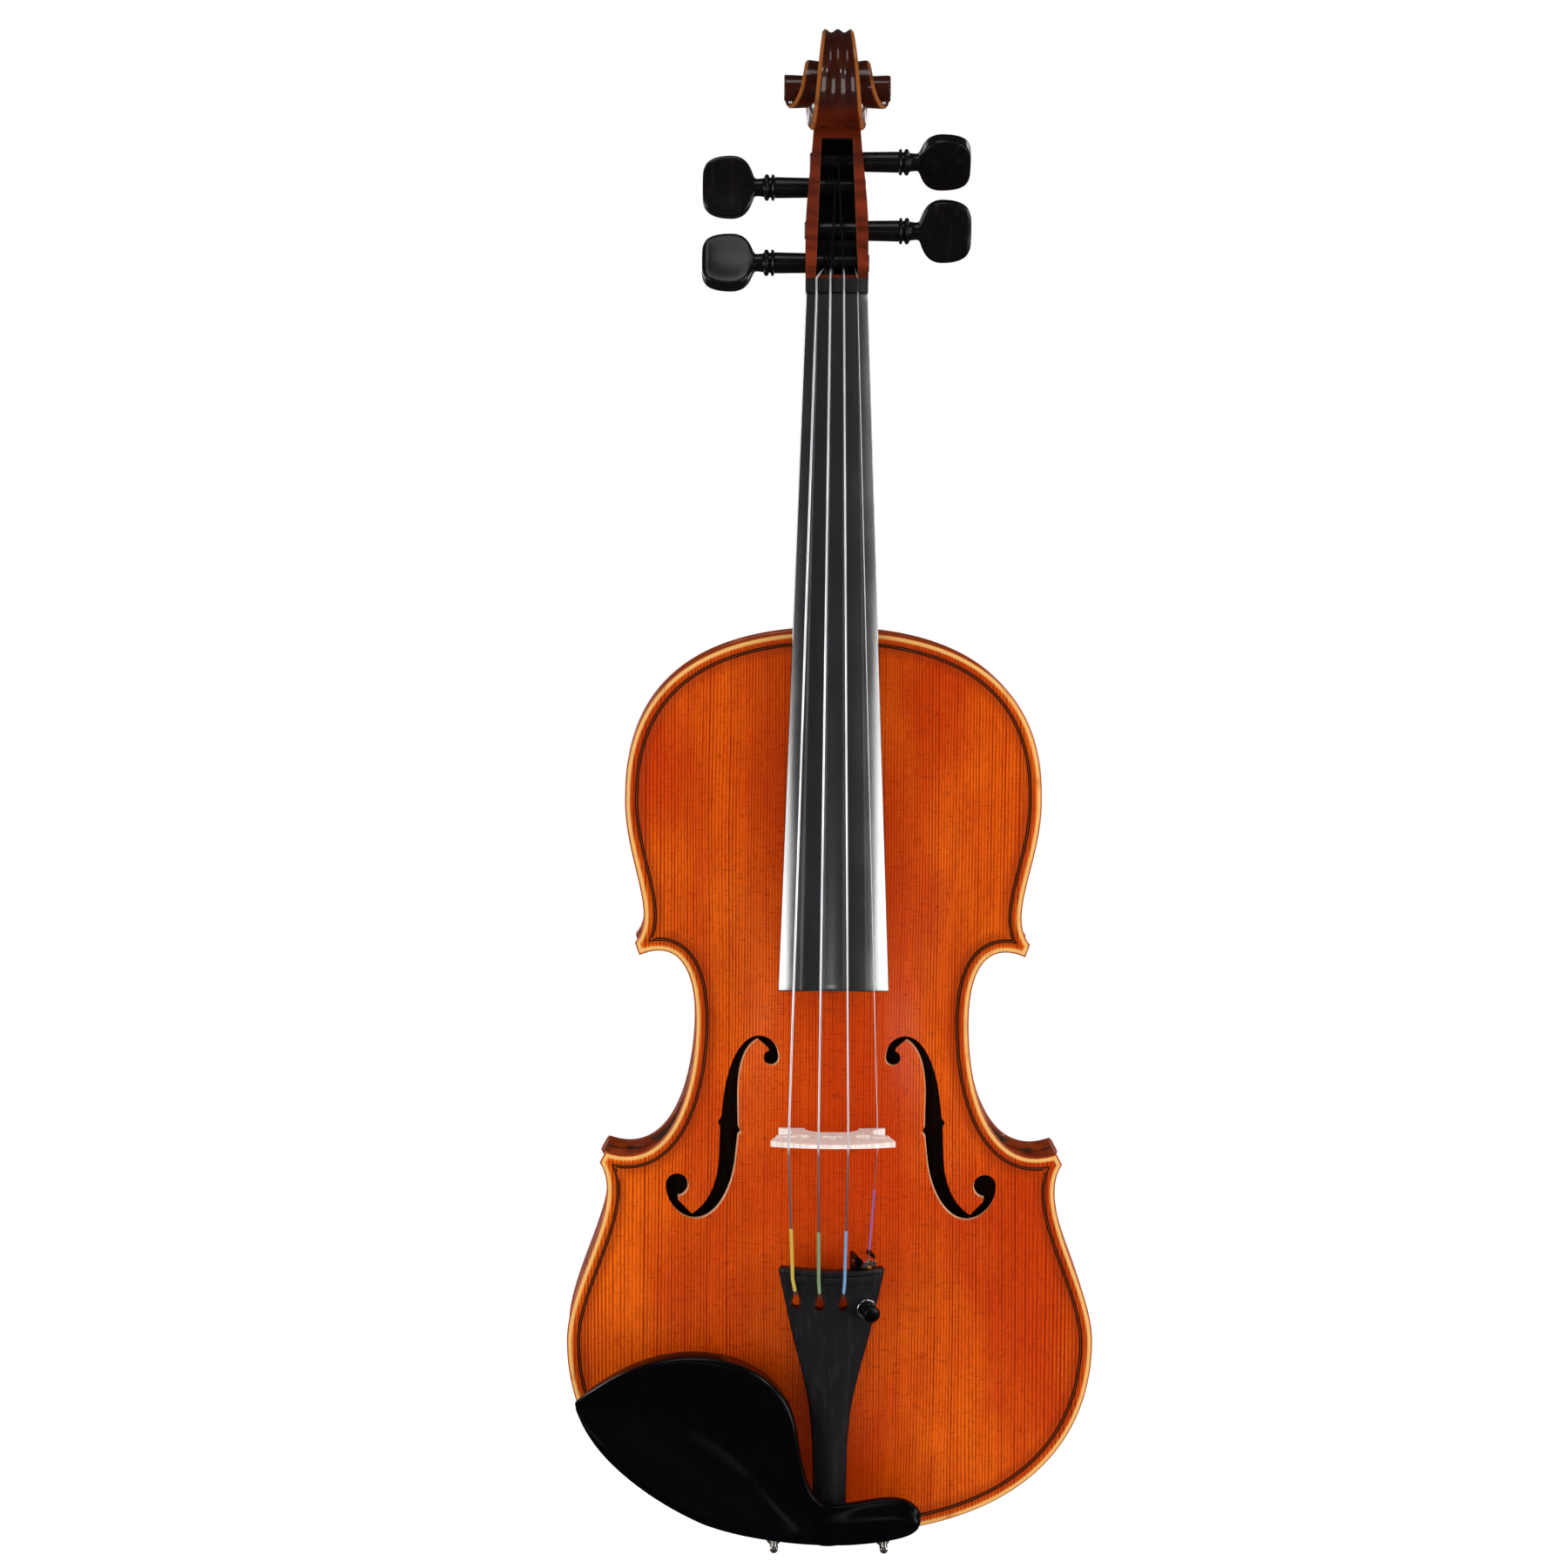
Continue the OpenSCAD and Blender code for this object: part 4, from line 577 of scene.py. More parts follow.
class Wire:
    """One output of a shader node. Arithmetic on it adds Math nodes."""

    def __init__(self, tree: ShaderTree, socket: bpy.types.NodeSocket | None) -> None:
        """Keeps the tree and the socket."""
        self.tree = tree
        self.socket = socket

    def math(self, operation: str, *others: Wire | float) -> Wire:
        """A Math node with this wire as its first input."""
        return self.tree.node("ShaderNodeMath", {"operation": operation}, dict(enumerate((self, *others))))

    def __add__(self, other: Wire | float) -> Wire:
        """Sum."""
        return self.math("ADD", other)

    def __sub__(self, other: Wire | float) -> Wire:
        """Difference."""
        return self.math("SUBTRACT", other)

    def __rsub__(self, other: float) -> Wire:
        """Difference from a number."""
        return self.tree.node("ShaderNodeMath", {"operation": "SUBTRACT"}, {0: other, 1: self})

    def __mul__(self, other: Wire | float) -> Wire:
        """Product."""
        return self.math("MULTIPLY", other)

    __radd__ = __add__
    __rmul__ = __mul__

    def band(self, low: float, high: float) -> Wire:
        """Smooth step from 0 at low to 1 at high, or the other way round when low is the larger."""
        settings = {"interpolation_type": "SMOOTHSTEP"}
        return self.tree.node("ShaderNodeMapRange", settings, {0: self, 1: low, 2: high})


Feed = Wire | float | str | Sequence[float]


class ShaderTree:
    """The nodes of one material or of the world."""

    def __init__(self, owner: Material | bpy.types.World) -> None:
        """Starts with no nodes."""
        owner.use_nodes = True
        self.owner = owner
        self.nodes = owner.node_tree.nodes
        self.links = owner.node_tree.links
        self.nodes.clear()

    def node(self, kind: str, settings: dict | None = None, sockets: dict | None = None,
             output: int | str | None = 0) -> Wire:
        """Adds a node: settings first, then values or wires on its sockets.

        Args:
            kind: The node's type.
            settings: Its properties.
            sockets: Values or wires by the socket's name or number.
            output: The output that the wire takes, or None on a node that has none.

        Returns:
            The wire from that output.
        """
        made = self.nodes.new(kind)
        for key, value in (settings or {}).items():
            setattr(made, key, value)
        for key, value in (sockets or {}).items():
            self.feed(made.inputs[key], value)
        return Wire(self, None if output is None else made.outputs[output])

    def feed(self, socket: bpy.types.NodeSocket, value: Feed) -> None:
        """Links a wire to a socket or sets its value, with a display colour made linear."""
        if isinstance(value, Wire):
            self.links.new(value.socket, socket)
        else:
            socket.default_value = colour(value) if isinstance(value, str) else value

    def coords(self) -> Wire:
        """Object coordinates, in metres."""
        return self.node("ShaderNodeTexCoord", output="Object")

    def attribute(self, name: str) -> Wire:
        """A named value of the mesh's points."""
        return self.node("ShaderNodeAttribute", {"attribute_name": name}, output="Fac")

    def axes(self) -> tuple[Wire, Wire, Wire]:
        """The three object coordinates."""
        parts = self.node("ShaderNodeSeparateXYZ", sockets={0: self.coords()}).socket.node
        return tuple(Wire(self, socket) for socket in parts.outputs)

    def noise(self, scale: Place, detail: float = 2.0, rough: float = 0.5, turn: Place = (0, 0, 0),
              vector: Wire | None = None) -> Wire:
        """Soft noise about 0.5 on coordinates that are turned and stretched for it."""
        sockets = {"Vector": vector or self.coords(), "Rotation": turn, "Scale": scale}
        run = self.node("ShaderNodeMapping", sockets=sockets)
        sockets = {"Vector": run, "Scale": 1.0, "Detail": detail, "Roughness": rough}
        return self.node("ShaderNodeTexNoise", sockets=sockets)

    def layers(self, ground: Feed, *coats: tuple[Wire, str]) -> Wire:
        """Colours laid over a ground one after another, each by its own factor."""
        for factor, tint in coats:
            ground = self.node("ShaderNodeMix", {"data_type": "RGBA"}, {0: factor, 6: ground, 7: tint}, 2)
        return ground

    def bump(self, height: Wire, depth: float) -> Wire:
        """Bumped normal from a height between 0 and 1 and a depth in metres."""
        return self.node("ShaderNodeBump", sockets={"Strength": 1.0, "Distance": depth, "Height": height})

    def main_shader(self, **values: Feed) -> Wire:
        """The main shader, its sockets named with underscores for spaces."""
        sockets = {key.replace("_", " "): value for key, value in values.items()}
        return self.node("ShaderNodeBsdfPrincipled", sockets=sockets)

    def by_ray(self, lit: Wire, mirrored: Wire, seen: Wire, share: float = 1.0) -> Wire:
        """Mixes what lights the room with what reflections show and a share of what the camera sees."""
        rays = self.node("ShaderNodeLightPath").socket.node.outputs
        glossy, camera = Wire(self, rays["Is Glossy Ray"]), Wire(self, rays["Is Camera Ray"])
        lit = self.node("ShaderNodeMixShader", sockets={0: glossy, 1: lit, 2: mirrored})
        return self.node("ShaderNodeMixShader", sockets={0: camera * share, 1: lit, 2: seen})

    def end(self, shader: Wire, kind: str = "Material") -> None:
        """Links a shader to a new output."""
        self.node(f"ShaderNodeOutput{kind}", sockets={0: shader}, output=None)

    def surface(self, **values: Feed) -> Material:
        """Ends in the main shader and returns the material."""
        self.end(self.main_shader(**values))
        return self.owner


class Finish:
    """A finish whose material is made once and shared."""

    made: dict[object, Material] = {}

    def material(self) -> Material:
        """The finish's material, made at the first call."""
        if self not in Finish.made:
            Finish.made[self] = self.paint(ShaderTree(bpy.data.materials.new(type(self).__name__)))
        return Finish.made[self]

    def paint(self, tree: ShaderTree) -> Material:
        """Builds the nodes."""
        raise NotImplementedError


@dataclass(frozen=True)
class SpruceVarnish(Finish):
    """Varnished spruce: fine upright year rings, patchy orange varnish, a worn golden rim."""

    light: str = "#f26a07"
    deep: str = "#c83c03"
    ring: str = "#701000"
    rim: str = "#ecbd6c"
    channel: str = "#8a2a02"
    spacing: float = 0.00105
    widening: float = 4.5

    def paint(self, tree: ShaderTree) -> Material:
        """Rings widen as a logarithm from the centre joint; each darkens slowly and ends sharply.

        Every ring has a strength of its own. Slow noise bends and fades the rings, fine noise mottles the
        varnish, and the edge mark sets the worn rim and the dark channel. A band along the centre line is
        darkened as painted shade under the fingerboard.
        """
        edge = tree.attribute("edge")
        side = tree.axes()[0].math("ABSOLUTE")
        drift = tree.noise((34, 34, 2.2))
        count = (side * self.widening + 1.0).math("LOGARITHM", math.e) * (1 / self.spacing / self.widening)
        place = count + drift * 5.0
        phase = place.math("FRACT")
        own = tree.node("ShaderNodeTexWhiteNoise", {"noise_dimensions": "1D"}, {"W": place.math("FLOOR")})
        fade = tree.noise((240, 240, 14), detail=3, rough=0.6)
        rings = phase.band(0.25, 0.85) * phase.band(1.0, 0.92) * fade.band(0.15, 0.5) * (0.5 + own * 0.5)
        mottle = tree.noise((1300, 1300, 260), detail=3, rough=0.65)
        fibres = tree.noise((3600, 200, 60))
        tone = tree.noise((16, 16, 9), detail=3, rough=0.6)
        streaks = tree.noise((90, 90, 4))
        marks = tree.noise((260, 40, 1500), detail=1)
        wear = tree.noise((70, 70, 70), detail=3)
        rim = edge.band(2.4, 1.6) * edge.band(0.3, 0.9) * wear.band(0.15, 0.45)
        ground = tree.layers(
            self.deep,
            (tone.band(0.3, 0.72), self.light),
            (streaks.band(0.5, 0.75) * 0.5, self.deep),
            (mottle.band(0.45, 0.7) * 0.3, self.ring),
            (rings * 0.95, self.ring),
            (fibres.band(0.5, 0.8) * 0.15, self.light),
            # painted shade: the belly is darkened along the centre line, under the fingerboard
            (side.band(0.045, 0.012) * 0.35, self.deep),
            (marks.band(0.58, 0.72) * 0.35, self.ring),
            (edge.band(2.4, 3.4) * edge.band(10.0, 6.0) * 0.5, self.channel),
            (rim * 0.85, self.rim),
            (edge.band(0.8, 0.3) * 0.8, self.channel))
        rough = 0.34 + tone * 0.12
        height = rings * 0.4 + fibres * 0.6
        return tree.surface(Base_Color=ground, Roughness=rough, Normal=tree.bump(height, 0.000015),
                            Specular_IOR_Level=0.05, Coat_Weight=0.08, Coat_Roughness=0.14, Coat_IOR=1.45)


class Cut(Enum):
    """How the maple of a piece was cut, which sets the run of its flames."""

    BACK = "back"
    RIB = "rib"
    NECK = "neck"


@dataclass(frozen=True)
class MapleVarnish(Finish):
    """Varnished maple with flames across the grain."""

    cut: Cut = Cut.BACK
    light: str = "#b8501a"
    deep: str = "#6e2008"
    rim: str = "#7c300e"
    rim_width: float = 2.2
    rimmed: bool = True
    coat: float = 0.4
    polish: float = 0.08
    painted_scroll_shade: str = "#220903"

    def paint(self, tree: ShaderTree) -> Material:
        """Flames are squeezed noise, matched at the back's centre joint; the scroll is darkened with painted
        shade.
        """
        x, y, z = tree.axes()
        if self.cut is Cut.BACK:
            side = x.math("ABSOLUTE")
            run = tree.node("ShaderNodeCombineXYZ", sockets={0: side, 1: y, 2: z + side * 0.22})
            flame = tree.noise((14, 14, 170), detail=3, rough=0.55, vector=run)
        elif self.cut is Cut.RIB:
            flame = tree.noise((150, 12, 150), detail=3, rough=0.55)
        else:
            flame = tree.noise((30, 22, 190), detail=3, rough=0.55, turn=(0.2, 0, 0))
        fibres = tree.noise((1500, 1500, 70))
        tone = tree.noise((22, 22, 14))
        ground = tree.layers(self.deep, (flame.band(0.34, 0.66), self.light),
                             (tone.band(0.45, 0.75) * 0.45, self.deep),
                             (fibres.band(0.55, 0.75) * 0.25, self.deep))
        if self.cut is Cut.NECK:
            # painted shade: the scroll is darkened towards its top
            ground = tree.layers(ground, (z.band(-0.022, 0.012) * 0.85, self.painted_scroll_shade))
        if self.rimmed:
            edge = tree.attribute("edge")
            wear = tree.noise((90, 90, 90), detail=3)
            worn = edge.band(self.rim_width, self.rim_width * 0.4) * wear.band(0.25, 0.5) * 0.8
            ground = tree.layers(ground, (worn, self.rim))
        rough = 0.24 + tone * 0.12
        return tree.surface(Base_Color=ground, Roughness=rough,
                            Normal=tree.bump(flame * 0.7 + fibres * 0.3, 0.000015), Specular_IOR_Level=0.12,
                            Coat_Weight=self.coat, Coat_Roughness=self.polish, Coat_IOR=1.5)


@dataclass(frozen=True)
class BareWood(Finish):
    """Unvarnished wood: fine fibres and a slow change of tone."""

    light: str = "#d2ad7c"
    deep: str = "#a87f50"
    rough: float = 0.62
    flecks: float = 0.0

    def paint(self, tree: ShaderTree) -> Material:
        """Fibres are drawn-out noise; flecks are short dark dashes across the face."""
        fibres = tree.noise((700, 700, 25), detail=3)
        tone = tree.noise((60, 60, 40))
        ground = tree.layers(self.light, (fibres.band(0.35, 0.7), self.deep))
        if self.flecks:
            dashes = tree.noise((420, 900, 1500), detail=1)
            ground = tree.layers(ground, (dashes.band(0.6, 0.7) * self.flecks, self.deep))
        return tree.surface(Base_Color=ground, Roughness=self.rough + tone * 0.15,
                            Normal=tree.bump(fibres, 0.00005))


@dataclass(frozen=True)
class Ebony(Finish):
    """Oiled black wood: faint brown streaks along the grain, satin from handling."""

    tint: str = "#17161a"
    streak: str = "#2c2524"
    rough: float = 0.34
    spread: float = 0.14
    shine: float = 0.25
    pores: float = 0.00002
    bend: float = 1.5

    def paint(self, tree: ShaderTree) -> Material:
        """Streaks and pores are noise drawn out along the length; handling changes the gloss."""
        streaks = tree.noise((420, 420, 22), detail=3, rough=0.6)
        dots = tree.noise((2600, 2600, 180), detail=1)
        hands = tree.noise((45, 45, 30), detail=3)
        ground = tree.layers(self.tint, (streaks.band(0.5, 0.78), self.streak))
        rough = self.rough + hands.band(0.3, 0.7) * self.spread
        return tree.surface(Base_Color=ground, Roughness=rough, Specular_IOR_Level=self.shine, IOR=self.bend,
                            Normal=tree.bump(streaks * 0.4 + dots * 0.6, self.pores))


@dataclass(frozen=True)
class Inlay(Finish):
    """Purfling: a pale strip between two black ones, read from the mark across it."""

    black: str = "#120602"
    pale: str = "#74330f"

    def paint(self, tree: ShaderTree) -> Material:
        """Two smooth steps of the across mark pick the pale strip."""
        across = tree.attribute("across")
        grain = tree.noise((300, 300, 300))
        pale = across.band(0.3, 0.38) * across.band(0.7, 0.62)
        ground = tree.layers(self.black, (pale * (0.75 + grain * 0.25), self.pale))
        return tree.surface(Base_Color=ground, Roughness=0.4 + grain * 0.1, Specular_IOR_Level=0.08)


@dataclass(frozen=True)
class Metal(Finish):
    """Plated or bare metal: brushed lines, smudges and a little grime."""

    tint: str = "#d9d9dc"
    grime: str = "#8f8f92"
    rough: float = 0.16
    spread: float = 0.12

    def paint(self, tree: ShaderTree) -> Material:
        """Smudges are slow noise on colour and gloss; brushing is fine noise in the bump."""
        smudge = tree.noise((160, 160, 160), detail=3)
        brush = tree.noise((3000, 3000, 500), detail=1)
        ground = tree.layers(self.tint, (smudge.band(0.45, 0.8) * 0.5, self.grime))
        return tree.surface(Base_Color=ground, Metallic=1.0, Roughness=self.rough + smudge * self.spread,
                            Normal=tree.bump(brush, 0.00001))


@dataclass(frozen=True)
class WoundString(Finish):
    """String wound with fine flat wire, or plain where the winding has no depth."""

    tint: str = "#f0f0f4"
    winding: float = 0.000004
    worn: str = "#a9a9ad"
    tail: str = "#5e554e"
    painted_pegbox_shade: str = "#0e0b0a"
    box_start: float = -0.066
    bridge_level: float = -0.396

    def paint(self, tree: ShaderTree) -> Material:
        """The winding is a wave along the string; worn spots are slow noise; the string is darker past the
        bridge, and inside the pegbox it is painted dark and dull as painted shade.
        """
        along = tree.attribute("along")
        wear = tree.noise((90, 90, 30))
        wave = (along * 26.0).math("SINE") * 0.5 + 0.5
        height = tree.axes()[2]
        # painted shade: the string turns dark, rough and less metallic inside the pegbox
        painted_pegbox_shade = height.band(self.box_start, self.box_start + 0.006)
        tail = height.band(self.bridge_level, self.bridge_level - 0.004)
        ground = tree.layers(self.tint, (wear.band(0.4, 0.8) * 0.35, self.worn), (tail * 0.8, self.tail),
                             (painted_pegbox_shade, self.painted_pegbox_shade))
        rough = 0.3 + wear * 0.12 + painted_pegbox_shade * 0.5
        return tree.surface(Base_Color=ground, Metallic=0.85 - painted_pegbox_shade * 0.8, Roughness=rough,
                            Specular_IOR_Level=0.08, Normal=tree.bump(wave, self.winding))


@dataclass(frozen=True)
class Silk(Finish):
    """Coloured thread wrapped round a string's end."""

    tint: str = "#e8c834"
    painted_groove_shade: str = "#a88a18"

    def paint(self, tree: ShaderTree) -> Material:
        """Each turn of thread is one wave along the string, with painted shade in the grooves between turns.
        """
        along = tree.attribute("along")
        fuzz = tree.noise((1500, 1500, 1500))
        turns = (along * 16.0).math("SINE") * 0.5 + 0.5
        # painted shade: the darker colour lies in the grooves between turns of thread
        ground = tree.layers(self.painted_groove_shade, (turns.band(0.0, 0.6) * (0.6 + fuzz * 0.4), self.tint))
        return tree.surface(Base_Color=ground, Roughness=0.62 + fuzz * 0.15, Sheen_Weight=0.3,
                            Normal=tree.bump(turns * 0.8 + fuzz * 0.2, 0.00012))


@dataclass(frozen=True)
class Cork(Finish):
    """Cork sheet with dark grains."""

    tint: str = "#b58a5c"
    grain: str = "#6f4c2c"
    spot: str = "#5a3a20"

    def paint(self, tree: ShaderTree) -> Material:
        """Grains are the cells of a Voronoi pattern."""
        cells = tree.node("ShaderNodeTexVoronoi", sockets={"Vector": tree.coords(), "Scale": 900.0})
        tone = tree.noise((260, 260, 260), detail=3)
        ground = tree.layers(self.grain, (cells.band(0.1, 0.6), self.tint),
                             (tone.band(0.6, 0.75) * 0.6, self.spot))
        return tree.surface(Base_Color=ground, Roughness=0.82 + tone * 0.1, Normal=tree.bump(cells, 0.0002))


@dataclass(frozen=True)
class Nylon(Finish):
    """Smooth black nylon gut."""

    tint: str = "#202022"
    line: str = "#34343a"

    def paint(self, tree: ShaderTree) -> Material:
        """Faint drawing lines along the gut."""
        lines = tree.noise((2500, 400, 400))
        ground = tree.layers(self.tint, (lines.band(0.4, 0.8), self.line))
        return tree.surface(Base_Color=ground, Roughness=0.4 + lines * 0.15, Normal=tree.bump(lines, 0.00003))


BACK_VARNISH = MapleVarnish(Cut.BACK)
RIB_VARNISH = MapleVarnish(Cut.RIB, light="#a8441a", deep="#6a1c06", rimmed=False)
NECK_VARNISH = MapleVarnish(Cut.NECK, light="#7c2a0d", deep="#4a1405", rim="#a05a22", rim_width=0.9,
                            coat=0.45, polish=0.04)
INSIDE = BareWood("#4e3019", "#331d0c", rough=0.7)
CUT_SPRUCE = BareWood("#f6c49e", "#d89c70", rough=0.6)
# near-black bare wood for the walls and floor of the pegbox hollow
NEAR_BLACK_WOOD = BareWood("#1c0c07", "#0d0604", rough=0.7)
BRIDGE_MAPLE = BareWood("#fbeee6", "#e4cec2", rough=0.48, flecks=0.6)
SATIN_EBONY = Ebony()
BOARD_EBONY = Ebony("#100f13", "#1f1b1c", rough=0.19, spread=0.05, shine=1.0, pores=0.00001, bend=2.1)
REST_EBONY = Ebony("#030305", "#060608", rough=0.22, spread=0.04, shine=0.12, pores=0.000003)
PEG_EBONY = Ebony("#0a090b", "#1a1210", rough=0.24, spread=0.08, pores=0.000006)
CHROME = Metal("#e4e4e8", "#a4a4aa", rough=0.1)
NICKEL = Metal("#cfcac0", "#908a80", rough=0.18)
BRASS = Metal("#c79a44", "#7c5a24", rough=0.22)
BLACK_METAL = Metal("#2a2a2e", "#1a1a1c", rough=0.3)


# Sound box


class Outline:
    """The belly's edge on the treble side, from the top of the centre line to its bottom."""

    upper_lean = math.radians(19.5)
    lower_lean = math.radians(27.5)

    def __init__(self, per_step: int = 8) -> None:
        """Draws the half outline with a number of points for each step of the plain solid's outline."""
        b = BODY
        upper, waist, lower = b.upper_bout / 2, b.waist / 2, b.lower_bout / 2
        tip, foot = np.array(b.upper_tip), np.array(b.lower_tip)
        tip_in = tip - b.corner_width * np.array([math.sin(self.upper_lean), math.cos(self.upper_lean)])
        foot_in = foot + b.corner_width * np.array([-math.sin(self.lower_lean), math.cos(self.lower_lean)])

        def straight(start: Array, end: Array) -> tuple[Array, ...]:
            """Handles of a straight stretch."""
            return start, start + (end - start) / 3, start + (end - start) * 2 / 3, end

        pieces = [
            (9, (0, b.length), (upper * 0.667, b.length), (upper, between(b.upper_bout_y, b.length, 0.636)),
             (upper, b.upper_bout_y)),
            (7, (upper, b.upper_bout_y), (upper + 1, between(b.upper_bout_y, tip[1], 0.423)),
             tip + (-9.8, 11.7), tip),
            (1, *straight(tip, tip_in)),
            (6, tip_in, tip_in + (-12.9, 5.5), (waist, between(b.waist_y, tip_in[1], 0.946)),
             (waist, b.waist_y)),
            (7, (waist, b.waist_y), (waist, between(b.waist_y, foot_in[1], 0.525)),
             foot_in + (-25.8, -9), foot_in),
            (1, *straight(foot_in, foot)),
            (7, foot, foot + (-10.8, -16.2), (lower, between(b.lower_bout_y, foot[1], 0.328)),
             (lower, b.lower_bout_y)),
            (9, (lower, b.lower_bout_y), (lower, b.lower_bout_y * 0.4), (lower * 0.653, 0), (0, 0))]
        self.starts = np.cumsum([0] + [steps for steps, *_ in pieces])
        self.half = drawn(pieces, per_step)
        self.index = np.arange(len(self.half)) / per_step
        self.normal = directions(self.half)[1]
        self.runs = [self._run(drawn(pieces[i:j], per_step)) for i, j in ((0, 2), (3, 5), (6, 8))]

    @staticmethod
    def _run(line: Array, lead: float = 8.0) -> tuple[Array, Array]:
        """Points and outward normals of one smooth run, with a straight lead past its corners."""
        ahead, normal = directions(line)
        if line[0, 0] > TINY:
            line, normal = np.vstack([line[0] - lead * ahead[0], line]), np.vstack([normal[0], normal])
        if line[-1, 0] > TINY:
            line, normal = np.vstack([line, line[-1] + lead * ahead[-1]]), np.vstack([normal, normal[-1]])
        return line, normal

    def inset(self, distance: float) -> list[Array]:
        """The three runs moved inwards and trimmed where they cross at the corners."""
        upper, centre, lower = (line - distance * normal for line, normal in self.runs)
        i, j, point = crossing(upper, centre)
        upper, centre = np.vstack([upper[:i + 1], point]), np.vstack([point, centre[j + 1:]])
        i, j, point = crossing(centre, lower)
        return [upper, np.vstack([centre[:i + 1], point]), np.vstack([point, lower[j + 1:]])]

    def ring(self, margin: float = 0.0) -> Array:
        """The whole outline as one closed ring."""
        return both_sides(self.half + margin * self.normal)

    def distance(self, places: Array, margin: float = 0.0, batch: int = 4000) -> Array:
        """Distance of flat places to the nearest stretch of the outline, worked out in batches."""
        start = self.ring(margin)
        step = np.roll(start, -1, axis=0) - start
        length = np.maximum((step ** 2).sum(1), TINY)
        nearest = np.empty(len(places))
        for first in range(0, len(places), batch):
            gap = places[first:first + batch, None] - start
            share = np.clip((gap * step).sum(-1) / length, 0, 1)
            nearest[first:first + batch] = np.linalg.norm(gap - share[..., None] * step, axis=-1).min(1)
        return nearest


OUTLINE = Outline()


def wave(t: Array) -> Array:
    """Half a cosine wave from 1 at 0 to 0 at 1."""
    return 0.5 + 0.5 * np.cos(np.pi * np.clip(t, 0, 1))


def arch(x: Number, y: Number, rise: float, inset: float, end: float) -> Array:
    """Height of a plate's arch: a full wave across the bout's width times a flatter wave along the length."""
    x, y = together(x, y)
    b = BODY
    upper, waist, lower = b.upper_bout / 2, b.waist / 2, b.lower_bout / 2

    def shoulder(t: Array) -> Array:
        """Rounded end of a bout."""
        return (1 - np.clip(t, 0, 1) ** b.shoulder_power) ** (1 / b.shoulder_power)

    low = (lower - inset) * shoulder((b.lower_bout_y - y) / (b.lower_bout_y - end))
    below = between(waist, lower, wave((y - b.lower_bout_y) / (b.waist_y - b.lower_bout_y))) - inset
    above = between(upper, waist, wave((y - b.waist_y) / (b.upper_bout_y - b.waist_y))) - inset
    high = (upper - inset) * shoulder((y - b.upper_bout_y) / (b.length - end - b.upper_bout_y))
    reach = np.select([y < b.lower_bout_y, y < b.waist_y, y < b.upper_bout_y], [low, below, above], high)
    reach = np.where((y <= end) | (y >= b.length - end), 0, reach)
    along = np.clip(np.abs(2 * y - b.length) / (b.length - 2 * end), 0, 1) ** b.length_power
    across = np.clip(np.abs(x) / np.maximum(reach, 1e-6), 0, 1) ** b.width_power
    return np.where(np.abs(x) < reach, rise * wave(along) * wave(across), 0)


